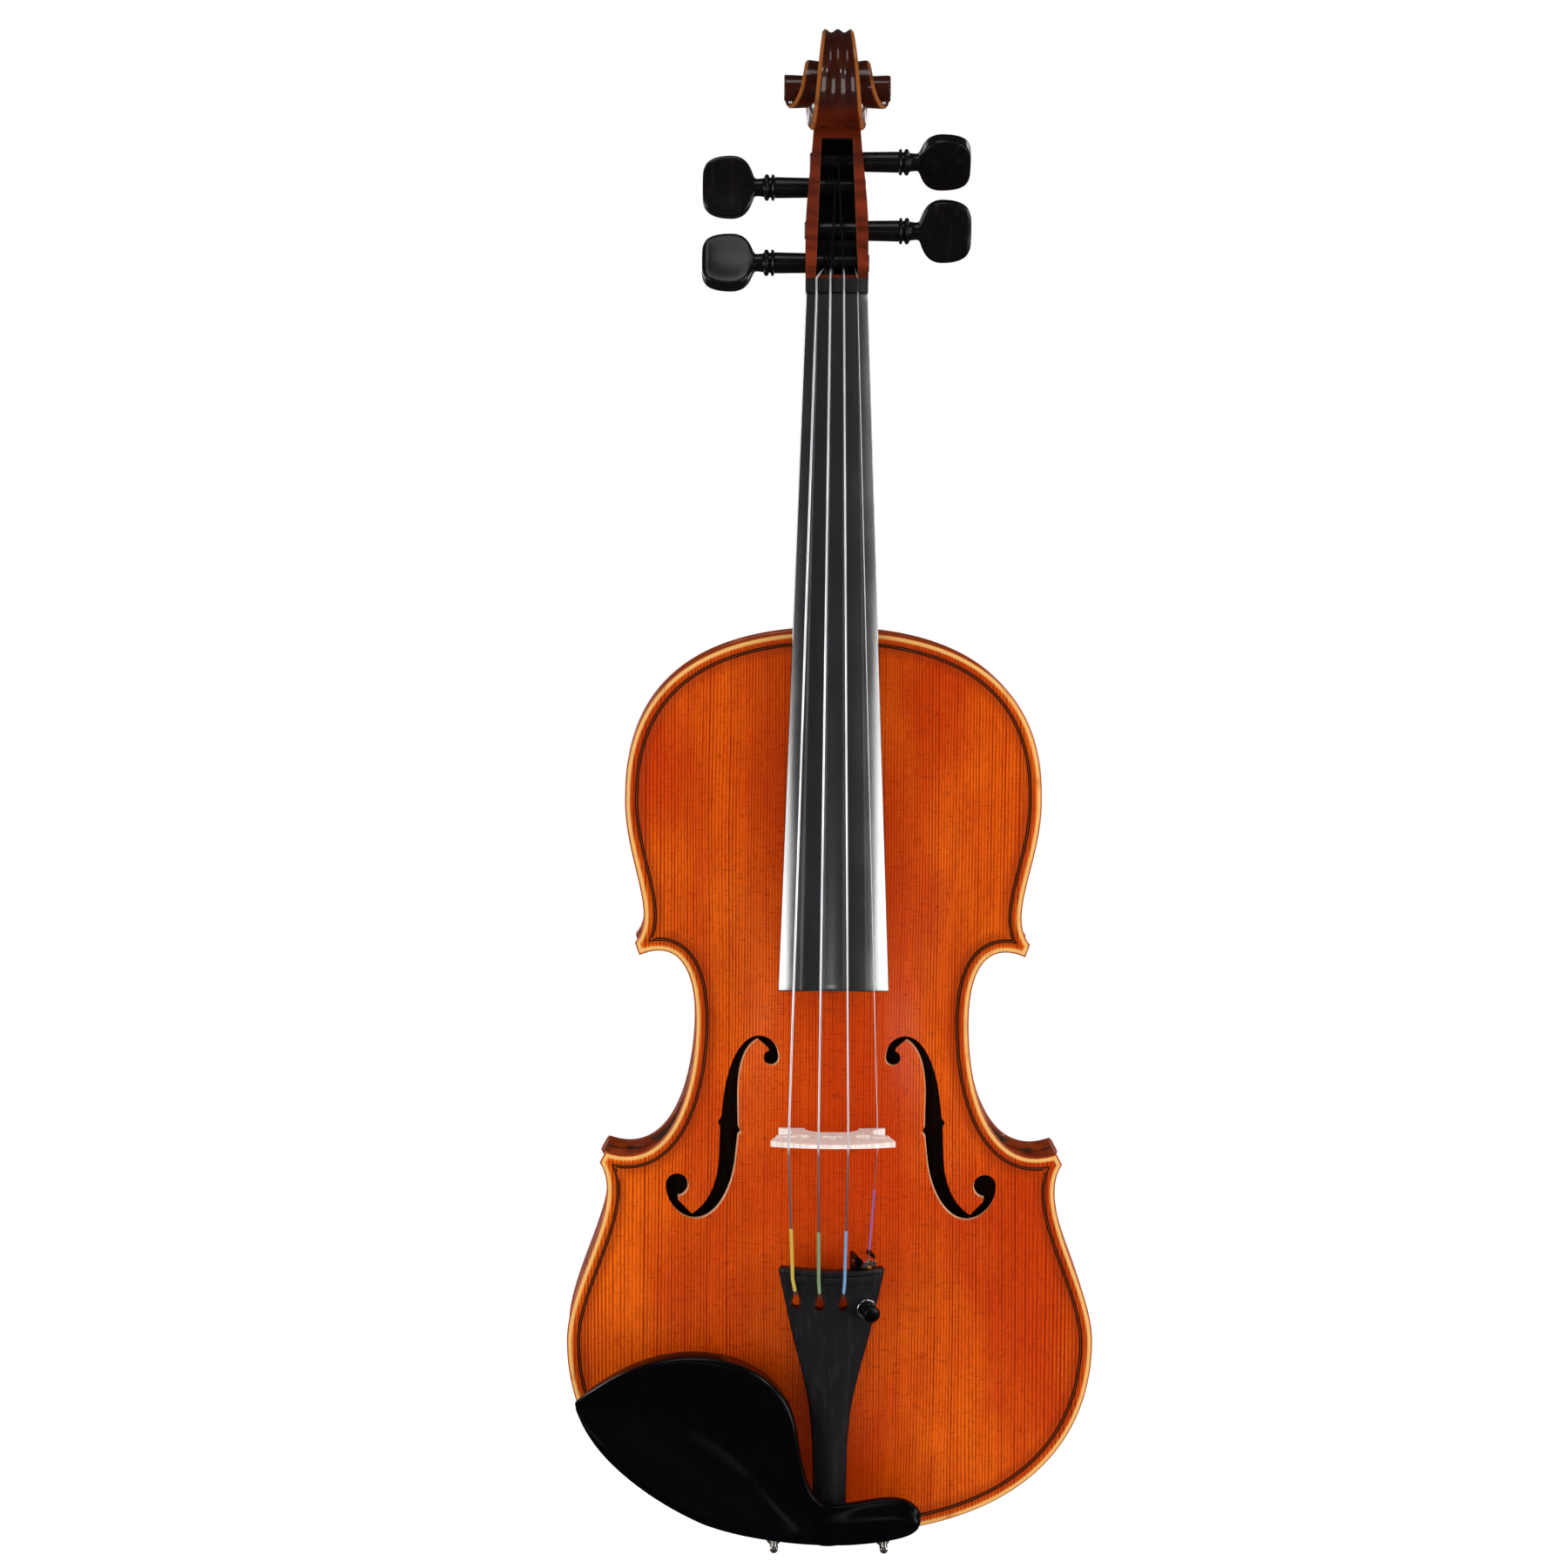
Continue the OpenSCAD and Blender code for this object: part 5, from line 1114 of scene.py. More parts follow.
@dataclass
class Plate:
    """An arched plate: rings of points run in from the edge to the centre line, outside and inside."""

    name: str
    node: str
    margin: float
    rise: float
    channel: float = 0.75
    channel_place: float = 6.8
    channel_width: float = 2.6
    platform: float = 6.0
    lining_flat: float = 9.0
    varnished_edge: float = 3.5
    varnished_tilt: float = 0.35

    def outer(self, x: Array, y: Array, edge: Array) -> Array:
        """Outside height: the arch on the edge's thickness, less a bell-shaped channel along the edge."""
        hollow = self.channel * np.exp(-((edge - self.channel_place) / self.channel_width) ** 2)
        return BODY.edge_thick + arch(x, y, self.rise, BODY.outer_flat, BODY.outer_flat) - hollow

    def inner(self, x: Array, y: Array) -> Array:
        """Inside height."""
        return arch(x, y, self.rise + BODY.edge_thick - BODY.plate_thick, BODY.inner_flat, BODY.end_flat)

    def shell(self) -> Shell:
        """Rings from the middle of the outside, over the rounded edge, to the middle of the inside."""
        b, steps = BODY, OUTLINE.starts
        start = OUTLINE.half + self.margin * OUTLINE.normal
        table = ((0, b.length - 44), (steps[1], b.upper_bout_y - 4), (steps[2], b.upper_tip[1] + 31),
                 (steps[3], b.upper_tip[1] + 27), (steps[4], b.waist_y), (steps[5], b.lower_tip[1] - 33),
                 (steps[6], b.lower_tip[1] - 37), (steps[7], b.lower_bout_y + 7), (steps[8], 60))
        places, heights = np.array(table, float).T
        spine = np.column_stack([np.zeros(len(start)), np.interp(OUTLINE.index, places, heights)])
        way = np.linalg.norm(spine - start, axis=1, keepdims=True)

        def row(d: float, g: float) -> Array:
            """Flat points d in from the edge and then a share g of the rest."""
            return between(start, spine, between(d / way, 1, g))

        def outside(flat: Array) -> Array:
            """Flat points lifted to the outside."""
            edge = OUTLINE.distance(flat, self.margin)
            return np.column_stack([flat, self.outer(flat[:, 0], flat[:, 1], edge)])

        thick = b.edge_thick
        rounding = ((1.2, 0.14), (0.7, 0.42), (0.3, 0.85), (0.08, 1.35))
        rim = [(1.8, thick - 0.03), *((d, thick - z) for d, z in rounding), (0, thick / 2), *rounding[::-1],
               (1.8, 0.0), (self.lining_flat, 0.0)]
        halves = [outside(row(self.platform, g)) for g in np.linspace(1, 0, 34)]
        halves += [outside(row(d, 0)) for d in (5.4, 4.8, 4.2, 3.6, 3.0, 2.4)]
        halves += [at_level(row(d, 0), z) for d, z in rim]
        for g in np.linspace(0, 1, 16)[1:]:
            flat = row(self.lining_flat, g)
            halves.append(np.column_stack([flat, self.inner(flat[:, 0], flat[:, 1])]))
        return grid(np.stack([both_sides(half) for half in halves]), ends=False)

    def bare(self, piece: Piece, facing: int) -> Array:
        """Marks each point with its distance from the edge and finds the faces that carry no varnish.

        Args:
            piece: The finished plate.
            facing: 1 for the belly, -1 for the back.

        Returns:
            Whether each face lies inside the edge and doesn't look outwards.
        """
        mark(piece, "edge", OUTLINE.distance(bench_points(piece)[:, :2], self.margin))
        edge = OUTLINE.distance(bench_points(piece, faces=True)[:, :2], self.margin)
        return (edge > self.varnished_edge) & (facing * outward_z(piece) < self.varnished_tilt)


def below_ribs(points: Array) -> Array:
    """Points of a plate turned over and set under the ribs."""
    return points * (1, 1, -1) - (0, 0, BODY.rib_height)


@dataclass
class SoundHole:
    """Treble sound hole: two round eyes joined by a curved stem with notches at its middle."""

    upper_eye: Pair = (23.7, 190)
    upper_radius: float = 2.9
    lower_eye: Pair = (59.5, 139)
    lower_radius: float = 4.4
    through: Pair = (-2, 30)
    lean: float = 0.12
    level: float = 10.0

    def leaned(self, q: Array) -> Array:
        """Lets a cut lean outwards with its depth, so that its inner wall shows from the front."""
        return q + np.outer(self.lean * (self.level - q[:, 2]), (1, 0, 0))

    def cutters(self) -> list[Shell]:
        """Leaning prisms through the belly: the stems first, the eyes next."""
        upper, lower = np.array(self.upper_eye), np.array(self.lower_eye)
        wing, foot = (28.5, 196.9), (54, 128.1)
        stem = np.concatenate([
            bezier(upper - (self.upper_radius, 0), (20.8, 195.5), (24.5, 198.4), (28.1, 198.4)),
            bezier((28.1, 198.4), (34.5, 198.3), (39.7, 188), (41.5, 174.8)),
            [(41.5, 174.8), (42.6, 166), (43.9, 164), (43, 162.4)],
            bezier((43.5, 151), (44, 141), (47.3, 132.5), foot),
            [foot, (58.8, 132.8), lower],
            bezier(lower + (self.lower_radius, 0), (63.9, 132), (58.5, 126), (52.6, 126.2)),
            bezier((52.6, 126.2), (44, 126.4), (38.1, 139), (37, 151)),
            [(37, 151), (36.1, 159.2), (35, 160.6), (35.9, 162.4)],
            bezier((36, 174.8), (35.9, 186), (33.6, 194), wing),
            [wing, (24.9, 193.8), upper]])
        rounds = ((upper, self.upper_radius), (lower, self.lower_radius))
        stems = prism(stem, *self.through).moved(self.leaned)
        eyes = join(*(prism(circle(eye, radius), *self.through) for eye, radius in rounds)).moved(self.leaned)
        return [join(stems, stems.mirrored()), join(eyes, eyes.mirrored())]


@dataclass
class SoundBox:
    """Belly, back, purfling and ribs."""

    belly: Plate = field(default_factory=lambda: Plate("belly", "top_plate", 0.0, BODY.belly_rise))
    back: Plate = field(default_factory=lambda: Plate("back", "back_plate", BODY.back_margin, BODY.back_rise))
    hole: SoundHole = field(default_factory=SoundHole)
    purfling_inset: float = 4.0
    purfling_width: float = 1.3
    purfling_depth: float = 0.5
    purfling_proud: float = 0.03
    rib_gap: float = 0.02
    saddle_half: float = 17.5
    saddle_depth: float = 7.5
    tenon_half: float = 16.3

    def build(self) -> None:
        """Makes and dresses every piece of the box."""
        self.build_belly()
        self.build_back()
        for plate in (self.belly, self.back):
            self.build_purfling(plate)
        self.build_ribs()

    def build_belly(self) -> None:
        """Carves the sound holes and the notches for the saddle and neck out of the belly."""
        piece = form("belly_plate", self.belly.shell(), weld=WELD)
        top, past, through = BODY.length, 9, (-1, 20)
        saddle = block(-self.saddle_half, self.saddle_half, -past, self.saddle_depth, *through)
        neck = block(-self.tenon_half, self.tenon_half, top - BODY.tenon_depth, top + past, *through)
        stems, eyes = self.hole.cutters()
        carve(piece, join(stems, saddle, neck))
        carve(piece, eyes)
        bare = self.belly.bare(piece, 1)
        finishes = (SpruceVarnish(), CUT_SPRUCE)
        dress(piece, finishes, "spruce_varnished", "top_plate", crease=50, second=bare)

    def build_back(self) -> None:
        """The back plate, turned over below the ribs, with its round button under the heel."""
        piece = form("back_plate_arched", self.back.shell().moved(below_ribs), weld=WELD)
        bare = self.back.bare(piece, -1)
        dress(piece, (BACK_VARNISH, INSIDE), "maple_varnished", "back_plate", crease=50, second=bare)
        turn = np.linspace(0, np.pi, 40)
        rows = []
        for grow, z in ((-0.6, 0.0), (-0.2, 0.15), (0, 0.6), (0, 3.2), (-0.2, 3.65), (-0.6, 3.8)):
            reach = BODY.button_reach + grow
            arc = np.column_stack([reach * np.cos(turn), BODY.length + reach * np.sin(turn)])
            arc = np.vstack([arc, [(-reach, BODY.length - 1.5), (reach, BODY.length - 1.5)]])
            rows.append(at_level(arc, -BODY.rib_height - z))
        button = form("back_button", unworn(grid(np.stack(rows)), 6.0))
        dress(button, (BACK_VARNISH,), "maple_varnished", "back_plate")

    def build_purfling(self, plate: Plate) -> None:
        """Three-ply strips let into a plate, mitred at the corners; the belly's end at neck and saddle."""
        ends = (self.tenon_half, -1, self.saddle_half) if plate is self.belly else (-1, -1, -1)
        lines = zip(ends, OUTLINE.inset(self.purfling_inset - plate.margin),
                    OUTLINE.inset(self.purfling_inset + self.purfling_width - plate.margin))
        across = np.array([0, 0.33, 0.36, 0.64, 0.67, 1.0])
        strips = []
        for end, outer, inner in lines:
            outer, inner = resample(outer, 220), resample(inner, 220)
            kept = outer[:, 0] > end
            outer, inner = outer[kept], inner[kept]
            flat = between(outer[:, None], inner[:, None], across[:, None])
            edge = OUTLINE.distance(flat.reshape(-1, 2), plate.margin).reshape(flat.shape[:2])
            top = plate.outer(flat[..., 0], flat[..., 1], edge) + self.purfling_proud
            upper = np.dstack([flat, top])
            lower = np.dstack([flat, top - self.purfling_depth])[:, ::-1]
            strip = grid(np.concatenate([upper, lower], axis=1))
            strip.marks["across"] = np.tile(np.concatenate([across, across[::-1]]), len(outer))
            strips += [strip, strip.mirrored()]
        shell = join(*strips)
        if plate is self.back:
            shell = shell.moved(below_ribs)
        node = plate.node.replace("plate", "purfling")
        dress(form(f"{plate.name}_purfling_strips", shell), (Inlay(),), "purfling", node)

    def build_ribs(self) -> None:
        """Six bent strips between the plates, mitred at the corners."""
        b = BODY
        lines = zip(("upper", "centre", "lower"), OUTLINE.inset(b.overhang),
                    OUTLINE.inset(b.overhang + b.rib_thick))
        for place, outer, inner in lines:
            outer, inner = resample(outer, 140), resample(inner, 140)
            top, low = -self.rib_gap, self.rib_gap - b.rib_height
            corners = ((outer, top), (inner, top), (inner, low), (outer, low))
            strip = grid(np.stack([at_level(line, z) for line, z in corners], axis=1))
            for side, shell in (("treble", strip), ("bass", strip.mirrored())):
                dress(form(f"{place}_rib_{side}_bent", shell), (RIB_VARNISH,), "maple_varnished",
                      f"{place}_rib_{side}")


# Neck


@dataclass
class Neck:
    """Neck, pegbox and scroll from one piece of maple."""

    heel_half: float = 10.8
    blend_p: float = -95.0
    oval: float = 2.2
    box_front: float = 4.2
    throat_p: float = 64.5
    throat_w: float = -8.4
    throat_half: float = 9.4
    back_half: float = 8.3
    box_half: float = 12.2
    box_straight: float = 25.0
    cheek: float = 3.8
    hollow_end: float = 63.4
    hollow_end_half: float = 6.1
    hollow_floor: float = -16.5
    hollow_end_floor: float = -20.2
    eye_p: float = 83.0
    eye_w: float = -9.0
    eye_radius: float = 5.0
    scroll_radius: float = 23.5
    scroll_width: float = 41.7
    turn_ratio: float = 0.48
    turns: float = 2.25
    flute_depth: float = 1.3
    chamfer: float = 0.9
    face_hollow: float = 1.3

    @property
    def hollow_start(self) -> float:
        """Place along the neck where the pegbox hollow starts."""
        return NECK.nut_length + 2

    def hollow_half(self, p: Number) -> Array:
        """Half width of the pegbox hollow, which narrows evenly towards the throat."""
        ends = (NECK.nut_width / 2 - self.cheek, self.hollow_end_half)
        return np.interp(p, (self.hollow_start, self.hollow_end), ends)

    def front_w(self, p: Array) -> Array:
        """Height of the pegbox's front edges, which fall evenly towards the throat."""
        return self.box_front + (self.throat_w - self.box_front) * p / self.throat_p

    def flute(self, s: Array) -> Array:
        """Two hollows beside a middle ridge, as a squared sine across the width."""
        return self.flute_depth * np.sin(np.pi * s) ** 2

    def stations(self) -> tuple[Array, ...]:
        """Sections of the blank from heel to scroll.

        Returns:
            Far side and spine (points in the middle plane), half width, squareness and how far it is pegbox.
        """
        n, b = NECK, BODY
        u = np.linspace(0, 1, 30, endpoint=False)
        heel_y = b.length + b.button_reach
        _, start_y, start_z = n.place(0, self.blend_p, -self.depth(self.blend_p))
        spine = bezier((heel_y, -b.rib_height), (heel_y, -15), (start_y - 16, start_z + 1.77),
                       (start_y, start_z), steps=len(u))
        heel = 0.6
        rise = np.clip(u / heel, 0, 1)
        run = np.clip((u - heel) / (1 - heel), 0, 1)
        glue_p = between(n.root_p, self.blend_p, run)
        glue = n.place(0, glue_p, 0)
        far_y = np.where(u < heel, b.length - 0.5, glue[:, 1])
        far_z = np.where(u < heel, between(-b.rib_height, n.rise, rise), glue[:, 2])
        root_half = float(n.board_half(n.root_p)) - 0.1
        half = np.where(u < heel, between(self.heel_half, root_half, rise), n.board_half(glue_p) - 0.05)
        p = np.concatenate([np.linspace(self.blend_p, 0, 40), np.linspace(0.4, n.nut_length, 8),
                            np.linspace(n.nut_length + 0.02, 24, 20), np.linspace(25, self.eye_p, 48)])
        far = n.place(0, p, np.where(p <= n.nut_length, 0.0, self.front_w(np.minimum(p, 70))))
        low = n.place(0, p, -self.depth(p))
        widths = ((-1, n.nut_width / 2), (3, self.box_half), (self.box_straight, self.box_half),
                  (self.throat_p, self.throat_half), (self.eye_p, self.back_half))
        box_half = smooth_lookup(p, widths)
        square = smooth_lookup(p, ((-20, self.oval), (0, 2.4), (12, 6), (30, 9), (self.eye_p, 14)))
        none = np.zeros(len(u))
        heel_part = (np.column_stack([far_y, far_z]), spine, half, none + self.oval, none)
        handle_half = np.where(p < 0, n.board_half(p) - 0.03, box_half)
        upper_part = (far[:, 1:], low[:, 1:], handle_half, square, np.clip(p / 24, 0, 1))
        return tuple(np.concatenate(parts) for parts in zip(heel_part, upper_part))

    def depth(self, p: Number) -> Array:
        """Depth of the blank below the glued face, from the heel to the scroll."""
        d = NECK.depth
        handle = ((-124, d + 1.6), (-95, d + 0.8), (-70, d + 0.45), (-45, d + 0.25), (-20, d + 0.1), (-4, d))
        box = ((3, 14.3), (8, 19.0), (14, 22.2), (24, 22.8), (36, 22.4), (48, 23.1), (58, 25.4), (66, 28.0),
               (74, 30.2), (self.eye_p, 31.0))
        return smooth_lookup(p, handle + box)

    def blank(self) -> Shell:
        """Loft of squared ellipses between the far side and the spine; the pegbox's back is fluted."""
        far, spine, half, square, box = self.stations()
        corners = [0.012, 0.03, np.pi - 0.03, np.pi - 0.012]
        turn = np.sort(np.concatenate([np.linspace(0, np.pi, 61), corners]))
        square = square[:, None]
        size = (np.abs(np.cos(turn)) ** square + np.abs(np.sin(turn)) ** square) ** (-1 / square)
        across, down = size * np.cos(turn), size * np.sin(turn)
        lift = self.flute(across) * box[:, None] * np.clip(down, 0, 1) ** 6
        reach = np.linalg.norm(spine - far, axis=1)[:, None]
        place = between(far[:, None], spine[:, None], (down * (1 - lift / reach))[..., None])
        return unworn(grid(np.dstack([half[:, None] * across, place])))

    def tenon(self) -> Shell:
        """The heel's block inside the body: a tapering face carried inwards from the heel."""
        wide = float(NECK.board_half(NECK.root_p)) - 0.15
        narrow = self.heel_half - 0.05
        low = 0.02 - BODY.rib_height
        face = np.array([(-narrow, low), (narrow, low), (wide, NECK.rise - 0.02), (-wide, NECK.rise - 0.02)])
        inside = prism(face, BODY.length - BODY.tenon_depth, BODY.length - 0.3)
        return unworn(inside.moved(lambda q: q[:, [0, 2, 1]]))

    def radius(self, turn: Array) -> Array:
        """Outer radius of the scroll: a little growth over the crown, then a shrinking spiral."""
        first = self.scroll_radius - 1.5 * (1 - np.clip(turn / 90, 0, 1))
        return np.where(turn < 90, first, self.scroll_radius * self.turn_ratio ** ((turn - 90) / 360))

    def half_width(self, turn: Array) -> Array:
        """Half width of the scroll along its turns: narrow over the crown, flaring to the eye."""
        first = ((0, self.back_half), (90, 6.0), (180, 8.2), (260, 10.4), (330, 12.0), (450, 12.5))
        second = ((540, 14.2), (600, 17.2), (640, 19.4), (700, 20.6), (810, self.scroll_width / 2))
        return smooth_lookup(turn, first + second)

    def volute(self) -> Shell:
        """A section carried along the spiral: fluted rim, chamfered edges, hollow side faces.

        The section runs from the outer radius in to the radius one turn later, so that the turns close up.
        """
        turn = np.linspace(0, 360 * self.turns, 217)
        outer = self.radius(turn)[:, None]
        inner = np.where(turn < 450, self.radius(turn + 360) - 0.6, self.eye_radius - 1.5)[:, None]
        half = self.half_width(turn)[:, None]
        cut = np.minimum(self.chamfer, 0.2 * (outer - inner))
        s = np.linspace(-1, 1, 33)[None]
        deep = np.clip((540 - turn) / 180, 0.25, 1)[:, None]
        rim_x, rim_r = s * (half - cut), outer - self.flute(s) * deep
        t = np.linspace(0, 1, 12)[None]
        side_r = outer - cut - (outer - cut - inner) * t
        hollow = np.sin(np.pi * np.clip(t * 1.1, 0, 1)) ** 0.8 * np.clip(turn / 90, 0, 1)[:, None]
        side_x = half - self.face_hollow * hollow
        x = np.concatenate([rim_x, side_x, -side_x[:, ::-1]], axis=1)
        r = np.concatenate([rim_r, side_r, side_r[:, ::-1]], axis=1)
        angle = np.radians(turn)[:, None]
        shell = grid(NECK.place(x, self.eye_p + r * np.sin(angle), self.eye_w - r * np.cos(angle)))
        face_edge = t * 14 + 0 * half
        edge = np.concatenate([(1 - np.abs(s)) * half, face_edge, face_edge[:, ::-1]], axis=1)
        shell.marks["edge"] = edge.reshape(-1)
        return shell

    def eye(self) -> Shell:
        """Button of the scroll: a turned pin with domed ends through both sides."""
        half = self.scroll_width / 2
        rim, soft = np.linspace(0, np.pi / 2, 8), 0.8
        end = np.column_stack([self.eye_radius - soft + soft * np.cos(rim), half - soft + soft * np.sin(rim)])
        profile = np.vstack([[(0, -half)], (end * (1, -1))[::-1], end, [(0, half)]])
        pin = revolve(profile, 56)
        return unworn(pin.moved(lambda q: NECK.place(q[:, 2], self.eye_p + q[:, 0], self.eye_w + q[:, 1])))

    def hollow(self) -> Shell:
        """Pegbox hollow: a tapering pit with a sloping floor, open at the front."""
        start, high = self.hollow_start, 60
        near, far = self.hollow_half(start), self.hollow_end_half
        pit = np.array([(-near, start), (near, start), (far, self.hollow_end), (-far, self.hollow_end)])
        slope = (self.hollow_end_floor - self.hollow_floor) / (self.hollow_end - start)

        def placed(q: Array) -> Array:
            """Lets the lower points down to the sloping floor."""
            floor = self.hollow_floor + slope * (q[:, 1] - start)
            return NECK.place(q[:, 0], q[:, 1], np.where(q[:, 2] > 0, high, floor))

        return prism(pit, 0, high).moved(placed)

    def in_hollow(self, centres: Array, slack: float = 0.1) -> Array:
        """Whether each of the blank's faces is a wall or the floor of the hollow."""
        p, w = NECK.measure(centres)
        across = np.abs(centres[:, 0]) <= self.hollow_half(p) + slack / 5
        along = (p >= self.hollow_start - slack) & (p <= self.hollow_end + slack)
        return across & along & (w >= self.hollow_end_floor - slack) & (w < self.front_w(p) - slack)

    def build(self) -> None:
        """Carves the pegbox out of the blank, sets the scroll on it and dresses the whole."""
        blank = form("neck_blank", self.blank())
        carve(blank, self.hollow())
        inside = self.in_hollow(bench_points(blank, faces=True))
        scroll = form("scroll", join(self.volute(), self.eye()))
        tenon = form("neck_tenon", self.tenon())
        slot, node = "maple_neck", "neck_scroll"
        dress(blank, (NECK_VARNISH, NEAR_BLACK_WOOD), slot, node, crease=40, second=inside)
        dress(scroll, (NECK_VARNISH,), slot, node, crease=28)
        dress(tenon, (NECK_VARNISH,), slot, node)


@dataclass
class Fingerboard:
    """Cambered fingerboard, hollowed underneath beyond the neck."""

    hollow_depth: float = 3.2
    hollow_radius: float = 35.0
    edge_round: float = 0.4

    def build(self) -> None:
        """Loft of sections: an arc on top, rounded edges, straight sides and a flat or hollow underside."""
        n = NECK
        free, end = n.root_p - 10, -n.board_length
        p = np.concatenate([[-0.02, -0.3], np.linspace(-1, free, 60), [free - 0.02],
                            np.linspace(free - 1, end + 0.6, 60), [end + 0.2, end]])
        shrink = np.zeros(len(p))
        shrink[[0, -1]] = self.edge_round
        shrink[[1, -2]] = self.edge_round * 0.3
        half = n.board_half(p)[:, None]
        end_sag, nut_sag = (float(sagitta(n.camber, width / 2)) for width in (n.board_width, n.nut_width))
        crown = n.board_top + (end_sag - nut_sag) * (-p / n.board_length)
        s = np.linspace(-1, 1, 41)[None]
        edge = self.edge_round
        top_x = s * (half - edge * 0.6)
        top_w = crown[:, None] - sagitta(n.camber, top_x) - shrink[:, None]
        rim_w = crown[:, None] - sagitta(n.camber, half) - shrink[:, None]
        base = np.full_like(half, 0.03)
        t = np.linspace(1, -1, 21)[None]
        under_x = t * (half - 0.2)
        arc = self.hollow_depth - sagitta(self.hollow_radius, under_x)
        under_w = np.where((p < free - 0.01)[:, None], np.maximum(arc, base), base + 0 * under_x)
        x = np.concatenate([top_x, half, half, under_x, -half, -half], axis=1)
        w = np.concatenate([top_w, rim_w - edge, base + 0.2, under_w, base + 0.2, rim_w - edge], axis=1)
        piece = form("fingerboard_cambered", grid(n.place(x, p[:, None], w)))
        dress(piece, (BOARD_EBONY,), "ebony", "fingerboard", crease=30)


# Strings and what carries them


@dataclass
class Bridge:
    """Bridge: feet on the arch, two kidney cuts, a heart, and a crown under the strings."""

    height: float = 33.4
    half: float = 20.7
    shoulder: float = 23.85
    knee: float = 21.4
    waist: float = 15.6
    foot_inner: float = 10.8
    foot_thick: float = 4.4
    top_thick: float = 1.5
    crown_radius: float = 42.0
    seat: float = 0.05
    foot_arch: float = 8.6
    kidney: Pair = (12.2, 17.2)
    kidney_radius: float = 3.4
    heart_height: float = 18.0
    lobe: float = 2.0
    lobe_radius: float = 2.3
    drop_height: float = 12.4
    drop_radius: float = 1.3

    def __post_init__(self) -> None:
        """Sets the bridge on the arch."""
        self.base = float(self.foot(0.0)) - self.seat
        self.top = self.base + self.height

    def crown(self, x: Number) -> Array:
        """Height of the crown's arc."""
        return self.top - sagitta(self.crown_radius, x)

    def foot(self, x: Number) -> Array:
        """Height of the sole over the arch of the belly."""
        rise = arch(x, BODY.bridge_y, BODY.belly_rise, BODY.outer_flat, BODY.outer_flat)
        return BODY.edge_thick + self.seat + rise

    def face(self) -> Array:
        """Outline of the treble half from the arch between the feet to the crown, and its mirror."""
        base, half, waist, knee, inner = self.base, self.half, self.waist, self.knee, self.foot_inner
        outer_z, inner_z = float(self.foot(half)), float(self.foot(inner))
        ground = np.linspace(inner - 0.4, half, 8)
        crown = np.linspace(self.shoulder, 0, 30)
        return both_sides(np.concatenate([
            [(0, base + self.foot_arch)],
            bezier((3, base + self.foot_arch), (8, base + 8.4), (9.5, base + 5.5), (inner, inner_z + 2.4)),
            np.column_stack([ground, self.foot(ground)]),
            [(half, outer_z + 2.3)],
            bezier((half - 0.5, outer_z + 2.8), (waist, outer_z + 5), (waist, base + 7),
                   (waist, base + 10.5)),
            bezier((waist, base + 10.5), (waist, base + 13.4), (knee - 3, base + 13.6), (knee, base + 14.8)),
            [(knee, base + 14.8)],
            np.column_stack([crown, self.crown(crown)])]))

    def build(self) -> None:
        """A prism thinned towards the crown, with its kidneys, heart and foot opening cut through."""
        upright = prism(self.face(), -1, 1)

        def thinned(q: Array) -> Array:
            """Half thickness falls evenly from the feet to the crown."""
            share = np.clip((q[:, 1] - self.base - 4) / (self.top - self.base - 4), 0, 1)
            thick = between(self.foot_thick, self.top_thick, share)
            return np.column_stack([q[:, 0], BODY.bridge_y + q[:, 2] * thick / 2, q[:, 1]])

        piece = form("bridge_carved", upright.moved(thinned))

        def cutter(*outlines: Array) -> Shell:
            """Level prisms through the bridge."""
            shells = [prism(line, -6, 6) for line in outlines]
            return join(*shells).moved(lambda q: np.column_stack([q[:, 0], BODY.bridge_y + q[:, 2], q[:, 1]]))

        kidney = np.array([self.kidney[0], self.base + self.kidney[1]])
        slot = np.array([(0, 2.2), (14, 3.4), (14, 1.4), (2, -1)]) + kidney
        heart = np.array([0, self.base + self.heart_height])
        spire = np.array([(-2, 0), (2, 0), (0.7, 6), (-0.7, 6)]) + heart
        flip, lobe = (-1, 1), (self.lobe, 0)
        kidneys = [circle(middle, self.kidney_radius) for middle in (kidney, kidney * flip)]
        left, right = (circle(heart + side, self.lobe_radius) for side in (np.negative(lobe), lobe))
        drop = circle((0, self.base + self.drop_height), self.drop_radius)
        carve(piece, cutter(*kidneys, left, drop))
        carve(piece, cutter(slot, slot * flip, right))
        carve(piece, cutter(spire))
        dress(piece, (BRIDGE_MAPLE,), "bare_maple", "bridge", crease=25)


